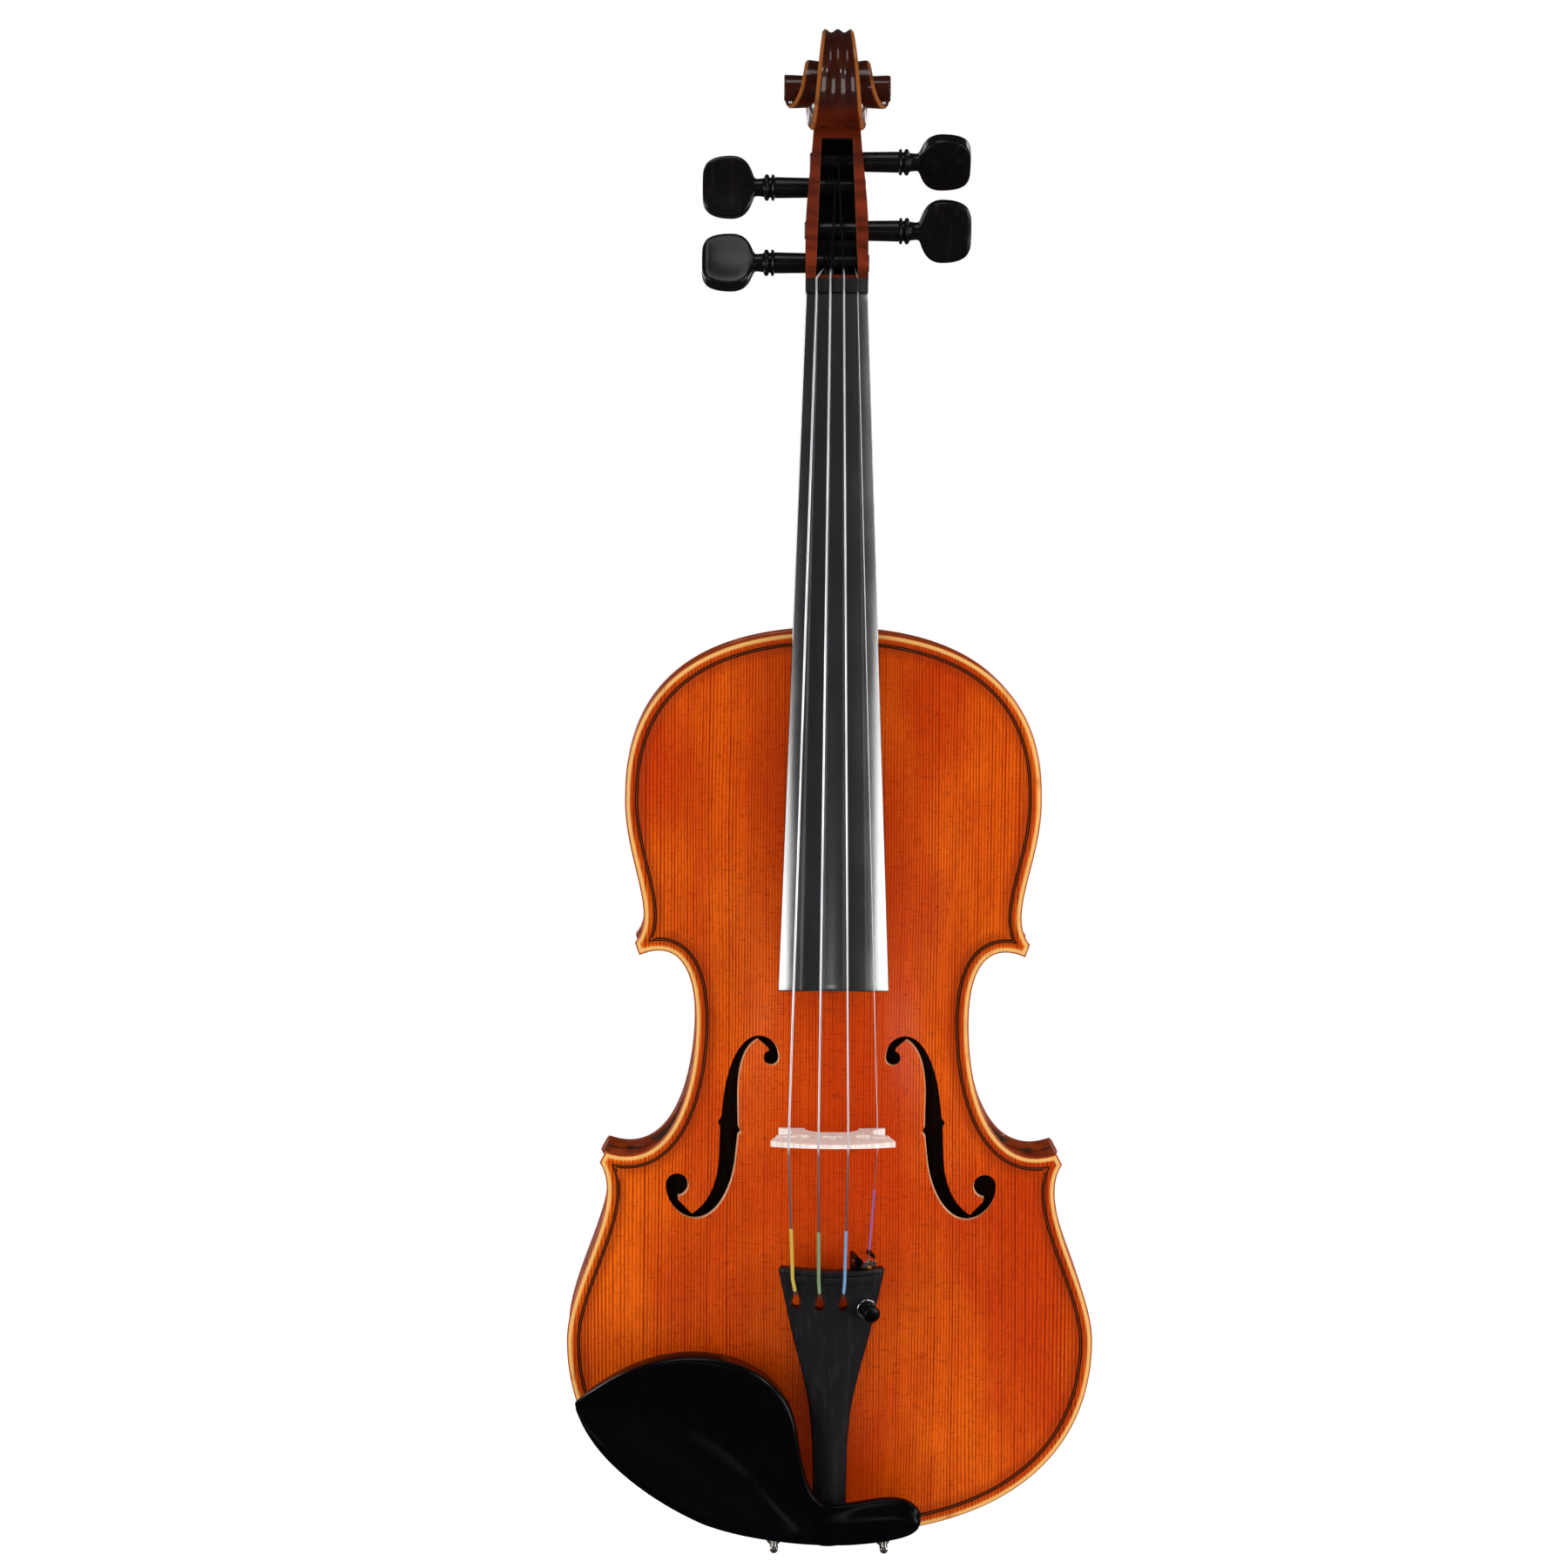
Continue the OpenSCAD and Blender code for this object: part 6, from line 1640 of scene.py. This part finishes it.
@dataclass
class Strings:
    """Four strings from the tailpiece over bridge and nut to their pegs, in the order G, D, A, E."""

    bridge: Bridge
    diameters: tuple[float, ...] = (0.84, 0.8, 0.7, 0.3)
    nut_spread: float = 16.0
    bridge_spread: float = 34.0
    turns: int = 3
    nut_proud: float = 0.9
    nut_notch: float = 0.35
    bridge_notch: float = 0.3
    key_x: tuple[float, ...] = (-13.6, -4.5, 4.5)
    fret_x: tuple[float, ...] = (-15.0, -5.0, 5.0)
    key_y: float = -10.1
    key_share: float = 0.1
    silk_lengths: tuple[float, ...] = (21.0, 20.6, 21.2, 26.4)
    silk_wrap: float = 0.25
    silk_taper: float = 0.18
    wind_start: tuple[float, ...] = (-0.8, -0.4, 0.4, 1.2)
    wind_gap: float = 0.35
    silks: tuple[Silk, ...] = (Silk("#e9c936", "#b0921c"), Silk("#8aa878", "#5d7a4e"),
                               Silk("#7fb0dd", "#4f7fae"), Silk("#a565b4", "#6f3a80"))
    silk_slots: tuple[str, ...] = ("silk_yellow", "silk_green", "silk_blue", "silk_violet")

    @staticmethod
    def spread(i: int, width: float) -> float:
        """Place of a string across an even spread of the four."""
        return width * (i / 3 - 0.5)

    def nut_w(self, i: int) -> float:
        """Height of a string's middle on the nut."""
        crown = NECK.board_top + self.nut_proud - float(sagitta(NECK.camber, self.spread(i, self.nut_spread)))
        return crown + self.diameters[i] / 2 - self.nut_notch

    def at_bridge(self, i: int) -> Array:
        """A string's middle on the bridge."""
        x = self.spread(i, self.bridge_spread)
        z = float(self.bridge.crown(x)) + self.diameters[i] / 2 - self.bridge_notch
        return np.array([x, BODY.bridge_y, z])

    def foot(self, i: int, tuner: FineTuner) -> Array:
        """Points of a string's tail end: out of its keyhole and over the fret, or off the tuner's hook."""
        if i == E_STRING:
            return np.stack([tuner.place(0, tuner.hook_y + ahead, tuner.hook_z) for ahead in (0.2, 4)])
        r, t = self.diameters[i] / 2, TAIL
        seat = float(t.crown(self.key_x[i], self.key_share))
        levels = (-t.thick - 0.7, -t.thick / 2, r + 0.3, r + 1)
        key = [t.place(self.key_x[i], self.key_y, seat + z) for z in levels]
        crest = float(t.crown(self.fret_x[i], -t.fret_y / t.length)) + t.fret_rise
        fret = t.place(self.fret_x[i], t.fret_y, crest + r + 0.05)
        return np.stack([*key[:3], between(key[3], fret, 0.3), fret])

    def winding(self, i: int, pegs: Pegs) -> Array:
        """Helix round the peg, from where the string meets it."""
        p0, w0, side = pegs.p[i], pegs.w[i], pegs.side[i]
        r = pegs.radius_at(side * self.wind_start[i]) + self.wind_gap + self.diameters[i] / 2
        dp, dw = p0 - NECK.nut_length, w0 - self.nut_w(i)
        meet = math.atan2(dp, dw) - math.acos(-r / math.hypot(dp, dw))
        t = np.linspace(0, self.turns, self.turns * 44 + 1)
        angle = meet + 2 * np.pi * t
        x = self.wind_start[i] + side * (self.diameters[i] + 0.5) * t
        return NECK.place(x, p0 + r * np.sin(angle), w0 + r * np.cos(angle))

    def build(self, pegs: Pegs, tuner: FineTuner) -> None:
        """Makes each string and the silk at its tail end."""
        across = (1, 0, 0)
        for i, name in enumerate(NAMES):
            r = self.diameters[i] / 2
            nut_x, nut_w = self.spread(i, self.nut_spread), self.nut_w(i)
            foot, crest = self.foot(i, tuner), self.at_bridge(i)
            nut = [NECK.place(nut_x, p, nut_w) for p in (-0.2, NECK.nut_length)]
            wire = tube(np.vstack([foot, crest, *nut, self.winding(i, pegs)]), r, 10, across)
            plain = i == E_STRING
            steel, slot = WoundString(), "string_metal"
            if plain:
                steel, slot = WoundString("#e6e6ea", 0.0), "plain_steel"
            dress(form(f"string_{name}_wire", wire), (steel,), slot, f"string_{name}")
            end = foot[-1]
            way = (crest - end) / np.linalg.norm(crest - end)
            start, bend = (end + 1.5 * way, end + 2.0 * way) if plain else (foot[-2], end)
            line = resample(np.stack([start, bend, end + self.silk_lengths[i] * way]), 140)
            radius = np.full(len(line), r + self.silk_wrap)
            radius[[0, -1]] -= self.silk_taper
            thread = form(f"silk_{name}_thread", tube(line, radius, 14, across))
            dress(thread, (self.silks[i],), self.silk_slots[i], f"silk_{name}")


@dataclass
class FineTuner:
    """Place of the E string's fine tuner on the tailpiece, leaning out with its camber."""

    x: float = 13.0
    y: float = -15.0
    lean: float = 18.0
    hook_y: float = 19.2
    hook_z: float = 4.0

    def place(self, x: float, y: float, z: float) -> Array:
        """Bench point of a point on the tuner."""
        seat = float(TAIL.crown(self.x, -self.y / TAIL.length))
        x, z = turned(x, z, -self.lean)
        return TAIL.place(self.x + x, self.y + y, seat + z)


@dataclass
class Pegs:
    """Four pegs in the order G, D, A, E: tapered shaft, collars and dished thumb piece."""

    p: tuple[float, ...] = (13.6, 44.3, 55.2, 26.9)
    w: tuple[float, ...] = (-6.0, -11.5, -14.0, -8.5)
    side: tuple[int, ...] = (-1, -1, 1, 1)
    turn: tuple[float, ...] = (25.0, 4.0, 50.0, 25.0)
    radius: float = 3.9
    taper: float = 0.0166
    head_length: float = 20.5
    head_width: float = 24.5
    head_thick: float = 8.0
    reach: float = 52.5
    collar: float = 5.2
    dish: float = 1.6
    dish_radius: float = 45.0
    tip: float = 0.5

    def radius_at(self, z: float) -> float:
        """Radius of the tapered shaft."""
        return self.radius - self.taper * (NECK.nut_width / 2 - z)

    def shaft(self, p: float) -> Shell:
        """Turned shaft with two beads under the thumb piece, ending just outside the far cheek."""
        cheek = float(np.interp(p, (Neck.box_straight, Neck.throat_p), (Neck.box_half, Neck.throat_half)))
        end, head, collar = -cheek - self.tip, self.reach - self.head_length, self.collar
        ring = np.linspace(-np.pi / 2, np.pi / 2, 9)

        def bead(middle: float, half: float) -> Array:
            """Half-round bead on the shaft."""
            return np.column_stack([collar - 1.3 + 1.3 * np.cos(ring), middle + half * np.sin(ring)])

        thin = self.radius_at(end)
        stem = [(0, end), (thin - 0.5, end), (thin - 0.1, end + 0.2), (thin, end + 0.6),
                (self.radius_at(head - 8), head - 7.9)]
        throat = [(collar - 1.6, head - 3), (collar - 1.8, head - 1), (collar - 1.5, head + 0.8),
                  (0, head + 0.9)]
        between = [(collar - 1.25, head - 5.9)]
        profile = np.vstack([stem, bead(head - 7.0, 0.7), between, bead(head - 4.6, 1.0), throat])
        return revolve(profile, 48)

    def thumb(self) -> Shell:
        """Thumb piece: rounded-edge sections along the peg, with a shallow ball-shaped dish on both faces."""
        h, length = self.head_width / 2, self.head_length
        widest = (length * 0.45, h)
        side = np.concatenate([
            bezier((0, 3.4), (1, 3.6), (1.5, h), widest, steps=22),
            bezier(widest, (length * 0.85, h), (length, h * 0.75), (length, h * 0.35), steps=22),
            [(length, h * 0.3), (length + 0.01, 0.5)]])
        along, wide = side[:, :1], side[:, 1:]
        angle = round_turn(72)[None]
        b = wide * np.sign(np.cos(angle)) * np.abs(np.cos(angle)) ** 0.75
        dish = np.maximum(self.dish - ((along - length / 2) ** 2 + b ** 2) / (2 * self.dish_radius), 0)
        grow = smooth_lookup(along, ((0, 0.8), (3.5, 1.0), (length - 2.2, 1.0), (length + 0.01, 0.72)))
        a = (self.head_thick / 2 * grow - dish) * np.sign(np.sin(angle)) * np.abs(np.sin(angle)) ** 0.32
        return grid(np.stack([a, b, along + self.reach - length + 0 * a], -1))

    def build(self) -> None:
        """Places one peg in each of its bores."""
        for name, p, w, side, turn in zip(NAMES, self.p, self.w, self.side, self.turn):
            local = join(self.shaft(p), self.thumb())
            a, b = turned(local.points[:, 0], local.points[:, 1], turn)
            points = NECK.place(side * local.points[:, 2], p + b, w - side * a)
            piece = form(f"peg_{name}_turned", Shell(points, local.faces))
            peg = f"peg_{name}"
            dress(piece, (PEG_EBONY,), "ebony", peg, body=peg, crease=40)


@dataclass
class Tailpiece:
    """Tailpiece with a ridge down its middle and three keyholes, and the gut that holds it."""

    key_y: float = -14.0
    key_radius: float = 1.9
    key_slot: float = 1.1
    key_slot_end: float = -8.5
    through: Pair = (-30, 30)
    edge_drop: float = 0.7
    gut_x: float = 3.4
    gut_w: float = -4.1
    gut_pocket: float = 7.0
    gut_diameter: float = 1.8

    def build(self, strings: Strings) -> None:
        """Lofts the tailpiece, cuts its keyholes and lays its gut."""
        t = TAIL
        share = np.concatenate([[0, 0.004, 0.012], np.linspace(0.03, 0.97, 60), [0.988, 0.996, 1.0]])
        ends = np.zeros(len(share))
        ends[[0, -1]], ends[[1, -2]] = 0.8, 0.25
        half = (t.half(share) - ends)[:, None]
        s = np.concatenate([[-1, -0.985, -0.95], np.linspace(-0.9, 0.9, 41), [0.95, 0.985, 1]])[None]
        drop = self.edge_drop * np.clip((np.abs(s) - 0.93) / 0.07, 0, 1) ** 2 + ends[:, None] * 0.7
        top = t.crown(s * half, share[:, None]) - drop
        r = np.linspace(0.965, -0.965, 25)[None]
        low = t.crown(r * half, share[:, None]) - t.thick + ends[:, None] * 0.6
        x = np.concatenate([s * half, r * half], axis=1)
        z = np.concatenate([top, low], axis=1)
        piece = form("tailpiece_ridged", grid(t.place(x, -share[:, None] * t.length, z)))
        wide, narrow = self.key_radius * 0.9, self.key_slot / 2
        slot = np.array([(-wide, self.key_y + 0.6), (wide, self.key_y + 0.6), (narrow, self.key_slot_end),
                         (-narrow, self.key_slot_end)])
        for line in (circle((0, self.key_y), self.key_radius, 32), slot):
            tool = join(*(prism(line + (key, 0), *self.through) for key in strings.key_x))
            carve(piece, tool.moved(lambda q: t.place(*q.T)))
        dress(piece, (SATIN_EBONY,), "ebony", "tailpiece", crease=38)
        self.build_gut()

    def build_gut(self) -> None:
        """Two strands from the tailpiece's foot over the saddle and one bend round the end button."""
        t = TAIL
        saddle_top, button_z = BODY.edge_thick + 5, -BODY.rib_height / 2
        gut_y, lift = BODY.overhang - 4, saddle_top + self.gut_diameter / 2 + 0.1
        start = t.place(0, -t.length + self.gut_pocket - 0.4, self.gut_w)
        leave = t.place(0, -t.length, self.gut_w)
        over = [(0, 3, lift), (0, 1, lift - 0.1), (0, -0.6, lift - 0.9), (0, gut_y + 0.3, lift - 2.6)]
        strand = np.vstack([start, leave, *over, (0, gut_y, lift - 5), (0, gut_y, button_z + 9)])
        bend = EndButton.waist + self.gut_diameter / 2 + 0.1
        turn = np.radians(np.linspace(180, 360, 24))
        arc = np.stack(together(bend * np.cos(turn), gut_y, button_z + bend * np.sin(turn)), -1)
        left, right = strand + (-self.gut_x, 0, 0), strand + (self.gut_x, 0, 0)
        path = np.concatenate([left, arc, right[::-1]])
        piece = form("tailgut_loop", tube(path, self.gut_diameter / 2, 16, (0.3, 1, -1)))
        dress(piece, (Nylon(),), "nylon", "tailgut")


@dataclass
class EndButton:
    """Turned end button with a collar, a waist for the gut and a domed knob."""

    shaft: float = 3.8
    collar: float = 6.4
    waist: float = 4.2
    knob: float = 7.0
    knob_start: float = 6.2
    knob_length: float = 3.5
    dome: float = 1.8
    depth: float = 15.2

    def build(self) -> None:
        """Carries the profile round the button's axis."""
        shaft, collar, waist, knob = self.shaft, self.collar, self.waist, self.knob
        top = self.knob_start + self.knob_length
        crown = (0, top + self.dome)
        stem = [(0, -self.depth), (shaft, -self.depth), (shaft, 0)]
        ring = [(collar - 0.3, 0), (collar, 0.3), (collar, 1.3), (collar - 0.4, 1.8)]
        groove = [(waist + 0.3, 2.6), (waist, 3.2), (waist, 5.0), (waist + 0.5, 5.6)]
        rim = [(knob - 0.5, self.knob_start), (knob, self.knob_start + 0.5), (knob, top - 0.3)]
        dome = bezier((knob, top), (knob - 0.8, top + 1.5), (2, top + self.dome), crown, steps=14)
        button = revolve(np.vstack([stem, ring, groove, rim, dome, [crown]]))
        middle = -BODY.rib_height / 2
        button = button.moved(lambda q: np.stack([q[:, 0], BODY.overhang - q[:, 2], middle + q[:, 1]], -1))
        dress(form("end_button_turned", button), (SATIN_EBONY,), "ebony", "end_button", crease=40)


# Chin rest


@dataclass
class ChinRest:
    """Chin rest: a strip between an upper and a lower edge, dished at the bass side, on two feet."""

    height: float = 31.0
    dish: float = 9.0
    rim_round: float = 1.6
    cork: float = 2.0
    foot_start: float = 19.5
    bass_foot: float = 15.0
    treble_foot: float = 10.0
    foot_front: float = 7.0
    foot_back: float = 12.0
    rim_drop: Table = ((0, 2.5), (4, 0.05), (10, 0), (15, 3), (18, 4), (22, 4.05), (24, 6.5))
    dish_share: Table = ((0, 0), (3, 0.55), (7, 1), (11, 0.75), (15, 0.1), (17, -0.1), (20, -0.22),
                         (24, -0.26))
    wall_depth: Table = ((0, 4), (3, 9), (8, 8), (12, 7.9), (16, 6), (20, 7.1), (24, 4.9))

    def edges(self) -> tuple[Array, Array, Array]:
        """Stations and the points of the upper and lower edge at each of them."""
        fine = 4
        upper = [(5, (-98.8, 57.4), (-87, 68), (-70, 76), (-53.7, 76)),
                 (6, (-53.7, 76), (-33, 76), (-16, 66), (-13, 48)),
                 (5, (-13, 48), (-10.5, 33), (-9, 18.5), (0, 17.6)),
                 (5, (0, 17.6), (10, 17.2), (19, 21.5), (28, 20)),
                 (3, (28, 20), (33.5, 19), (36, 14.5), (35.5, 12.4))]
        lower = [(10, (-98.3, 54.4), (-93, 38), (-72, 20.5), (-49, 10.5)),
                 (9, (-49, 10.5), (-30, 3.4), (-8, 0.8), (8, 1.6)),
                 (5, (8, 1.6), (20, 2.4), (34.5, 4.5), (35, 9.4))]
        high, low = drawn(upper, fine), drawn(lower, fine)
        return np.arange(len(high)) / fine, high, low

    def build(self) -> None:
        """Lofts the rest from edge to edge with rounded rims, and stands it on its feet."""
        k, high, low = self.edges()
        tables = (self.rim_drop, self.dish_share, self.wall_depth)
        rim, deep, wall = (smooth_lookup(k, table)[:, None] for table in tables)
        near_rim = np.array([0, 0.004, 0.012, 0.025, 0.045])
        c = np.concatenate([near_rim, np.linspace(0.07, 0.93, 37), 1 - near_rim[::-1]])[None]
        bottom = np.linspace(0.985, 0.015, 15)[None]
        near = np.minimum(c, 1 - c)
        round_off = self.rim_round * np.clip(1 - near / 0.055, 0, 1) ** 2.2
        top = self.height - rim - deep * self.dish * np.sin(np.pi * c) ** 2 - round_off
        middle = self.height - rim - deep * self.dish
        floor = np.minimum(middle - wall + 0.5, self.height - rim - self.rim_round - 2)
        base = floor - 0.5 * np.sin(np.pi * bottom)
        share = np.concatenate([c, bottom], axis=1)[..., None]
        flat = between(low[:, None], high[:, None], share)
        shell = grid(np.dstack([flat, np.concatenate([top, base], axis=1)]))
        start = self.foot_start
        spans = ((-start - self.bass_foot, -start), (start, start + self.treble_foot))
        levels = (BODY.edge_thick + self.cork, self.height - 8)
        feet = [block(*span, self.foot_front, self.foot_back, *levels) for span in spans]
        piece = form("chin_rest_carved", join(shell, *feet))
        dress(piece, (REST_EBONY,), "ebony_matte", "chin_rest", crease=45)


# Small pieces that keep the shape of their solids


@dataclass(frozen=True)
class Softened:
    """A copy of a solid with merged points and lightly rounded edges."""

    node: str
    finish: Finish
    slot: str
    body: str = ROOT
    width: float = 0.15

    def build(self, frame: dict) -> None:
        """Copies the solid's mesh, merges it and rounds its edges with a bevel."""
        mesh = frame["nodes"][self.node].data.copy()
        mesh.name = f"{self.node}_softened"
        work = bmesh.new()
        work.from_mesh(mesh)
        bmesh.ops.remove_doubles(work, verts=work.verts, dist=0.000002)
        bmesh.ops.dissolve_limit(work, angle_limit=math.radians(0.6), verts=work.verts, edges=work.edges)
        work.to_mesh(mesh)
        work.free()
        piece = hang(mesh.name, mesh)
        bevel = piece.modifiers.new("rounding", "BEVEL")
        bevel.width = self.width / 1000
        bevel.segments = 2
        bevel.limit_method = "ANGLE"
        bevel.angle_limit = math.radians(40)
        dress(piece, (self.finish,), self.slot, self.node, body=self.body, crease=45)


SOFTENED = (
    Softened("nut", SATIN_EBONY, "ebony", width=0.3),
    Softened("saddle", SATIN_EBONY, "ebony", width=0.25),
    Softened("tailpiece_fret", SATIN_EBONY, "ebony", width=0.3),
    Softened("tuner_frame", BLACK_METAL, "black_metal"),
    Softened("tuner_lock_nut", CHROME, "chrome", width=0.25),
    Softened("tuner_screw", BLACK_METAL, "black_metal", body="tuner_screw", width=0.1),
    Softened("tuner_lever", CHROME, "chrome", body="tuner_lever"),
    Softened("tuner_pin", NICKEL, "plain_steel", width=0.1),
    Softened("clamp_hooks", NICKEL, "nickel", width=0.3),
    Softened("clamp_foot", NICKEL, "nickel", body="clamp_foot", width=0.3),
    *(Softened(barrel, NICKEL, "nickel", body=barrel, width=0.1)
      for barrel in ("clamp_barrel_bass", "clamp_barrel_treble")),
    Softened("chin_rest_cork", Cork(), "cork", width=0.2),
    Softened("clamp_cork", Cork(), "cork", body="clamp_foot", width=0.2),
)
KEPT = {BareWood(): ("upper_block", "lower_block", "corner_blocks", "top_linings", "back_linings", "bass_bar",
                     "soundpost"),
        BRASS: ("tailgut_nuts", "string_balls", "e_ball")}


# Studio

WHITE = (1, 1, 1, 1)
FLOOR_CORNERS = ((-1, -1), (1, -1), (1, 1), (-1, 1))


@dataclass(frozen=True)
class SoftBox:
    """One soft lamp that looks at the middle of the violin."""

    name: str
    place: Place
    size: Pair
    watts: float

    def build(self, target: Array) -> None:
        """Hangs the lamp and turns it to the target."""
        lamp = bpy.data.lights.new(self.name, "AREA")
        lamp.shape = "RECTANGLE"
        lamp.size, lamp.size_y = self.size
        lamp.energy = self.watts
        holder = hang(self.name, lamp)
        gap = target - np.array(self.place)
        flat = math.hypot(gap[0], gap[1])
        holder.location = self.place
        holder.rotation_euler = (math.atan2(flat, -gap[2]), 0, math.atan2(-gap[0], gap[1]))


@dataclass
class Studio:
    """White room: floor, world, lamps and the camera at the photo's place."""

    camera_place: Place = (-0.02918, -1.55198, -0.16746)
    camera_turn: Place = (86.520, -0.364, -0.347)
    lens: float = 90.27
    sensor: float = 36.0
    floor_drop: float = 0.06
    floor_reach: float = 6.0
    floor_glow: float = 1.2
    floor_share: float = 0.85
    target: Place = (0.0, 0.0, -0.3)
    ambient: float = 0.47
    mirrored: float = 0.05
    boxes: tuple[SoftBox, ...] = (
        SoftBox("left_box", (-1.3, -0.75, -0.25), (0.62, 0.75), 7.5),
        SoftBox("right_box", (1.28, -0.79, -0.25), (0.68, 0.75), 7.9),
        SoftBox("front_window", (-0.05, -1.5, -0.3), (0.12, 0.2), 0.3),
        SoftBox("small_lamp", (0.9, -0.9, 0.45), (0.1, 0.14), 2.4),
        SoftBox("top_box", (-0.2, -0.7, 1.3), (0.9, 0.6), 6.0),
        SoftBox("back_left_box", (-1.2, 1.1, 0.1), (0.5, 1.4), 14.0),
        SoftBox("back_right_box", (1.2, 1.1, 0.1), (0.5, 1.4), 14.0),
    )

    def build(self, low: float) -> None:
        """Sets up everything that isn't part of the violin.

        Args:
            low: Height of the violin's lowest point, in metres.
        """
        for box in self.boxes:
            box.build(np.array(self.target))
        self.build_floor(low - self.floor_drop)
        self.build_world()
        self.build_camera()
        bpy.context.scene.view_settings.view_transform = "Standard"

    def build_floor(self, level: float) -> None:
        """A wide pale floor that shows white, keeps part of the shadow and is dim in reflections."""
        corners = [(x * self.floor_reach, y * self.floor_reach, level) for x, y in FLOOR_CORNERS]
        mesh = bpy.data.meshes.new("floor")
        mesh.from_pydata(corners, [], [(0, 1, 2, 3)])
        tree = ShaderTree(bpy.data.materials.new("studio_floor"))
        lit = tree.main_shader(Base_Color=(0.93, 0.93, 0.93, 1), Roughness=0.8)
        dim, glow = (tree.node("ShaderNodeEmission", sockets={0: WHITE, 1: strength})
                     for strength in (self.mirrored, self.floor_glow))
        tree.end(tree.by_ray(lit, dim, glow, self.floor_share))
        mesh.materials.append(tree.owner)
        hang("floor", mesh)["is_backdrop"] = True

    def build_world(self) -> None:
        """White to the camera, dim in reflections, a soft grey fill for everything else."""
        tree = ShaderTree(bpy.data.worlds.new("studio"))
        fill, dim, seen = (tree.node("ShaderNodeBackground", sockets={0: WHITE, 1: strength})
                           for strength in (self.ambient, self.mirrored, 1.0))
        tree.end(tree.by_ray(fill, dim, seen), "World")
        bpy.context.scene.world = tree.owner

    def build_camera(self) -> None:
        """Camera where the photo was taken from."""
        camera = bpy.data.cameras.new("photo_camera")
        camera.sensor_width = self.sensor
        camera.lens = self.lens
        camera.clip_end = 50
        holder = hang("photo_camera", camera)
        holder.location = self.camera_place
        holder.rotation_euler = np.radians(self.camera_turn)
        bpy.context.scene.camera = holder


def main() -> None:
    """Builds the violin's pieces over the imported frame."""
    logging.basicConfig(level=logging.INFO, format="%(name)s %(message)s")
    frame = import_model()
    solid_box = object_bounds()
    bridge, tuner, pegs = Bridge(), FineTuner(), Pegs()
    strings = Strings(bridge)
    SoundBox().build()
    Neck().build()
    Fingerboard().build()
    bridge.build()
    pegs.build()
    strings.build(pegs, tuner)
    Tailpiece().build(strings)
    EndButton().build()
    ChinRest().build()
    for softened in SOFTENED:
        softened.build(frame)
    for finish, nodes in KEPT.items():
        for node in nodes:
            mesh = frame["nodes"][node].data
            mesh.materials.clear()
            mesh.materials.append(finish.material())
            log.info("%s keeps its solid", node)
    Studio().build(float(solid_box[0][2]))


if __name__ == "__main__":
    main()
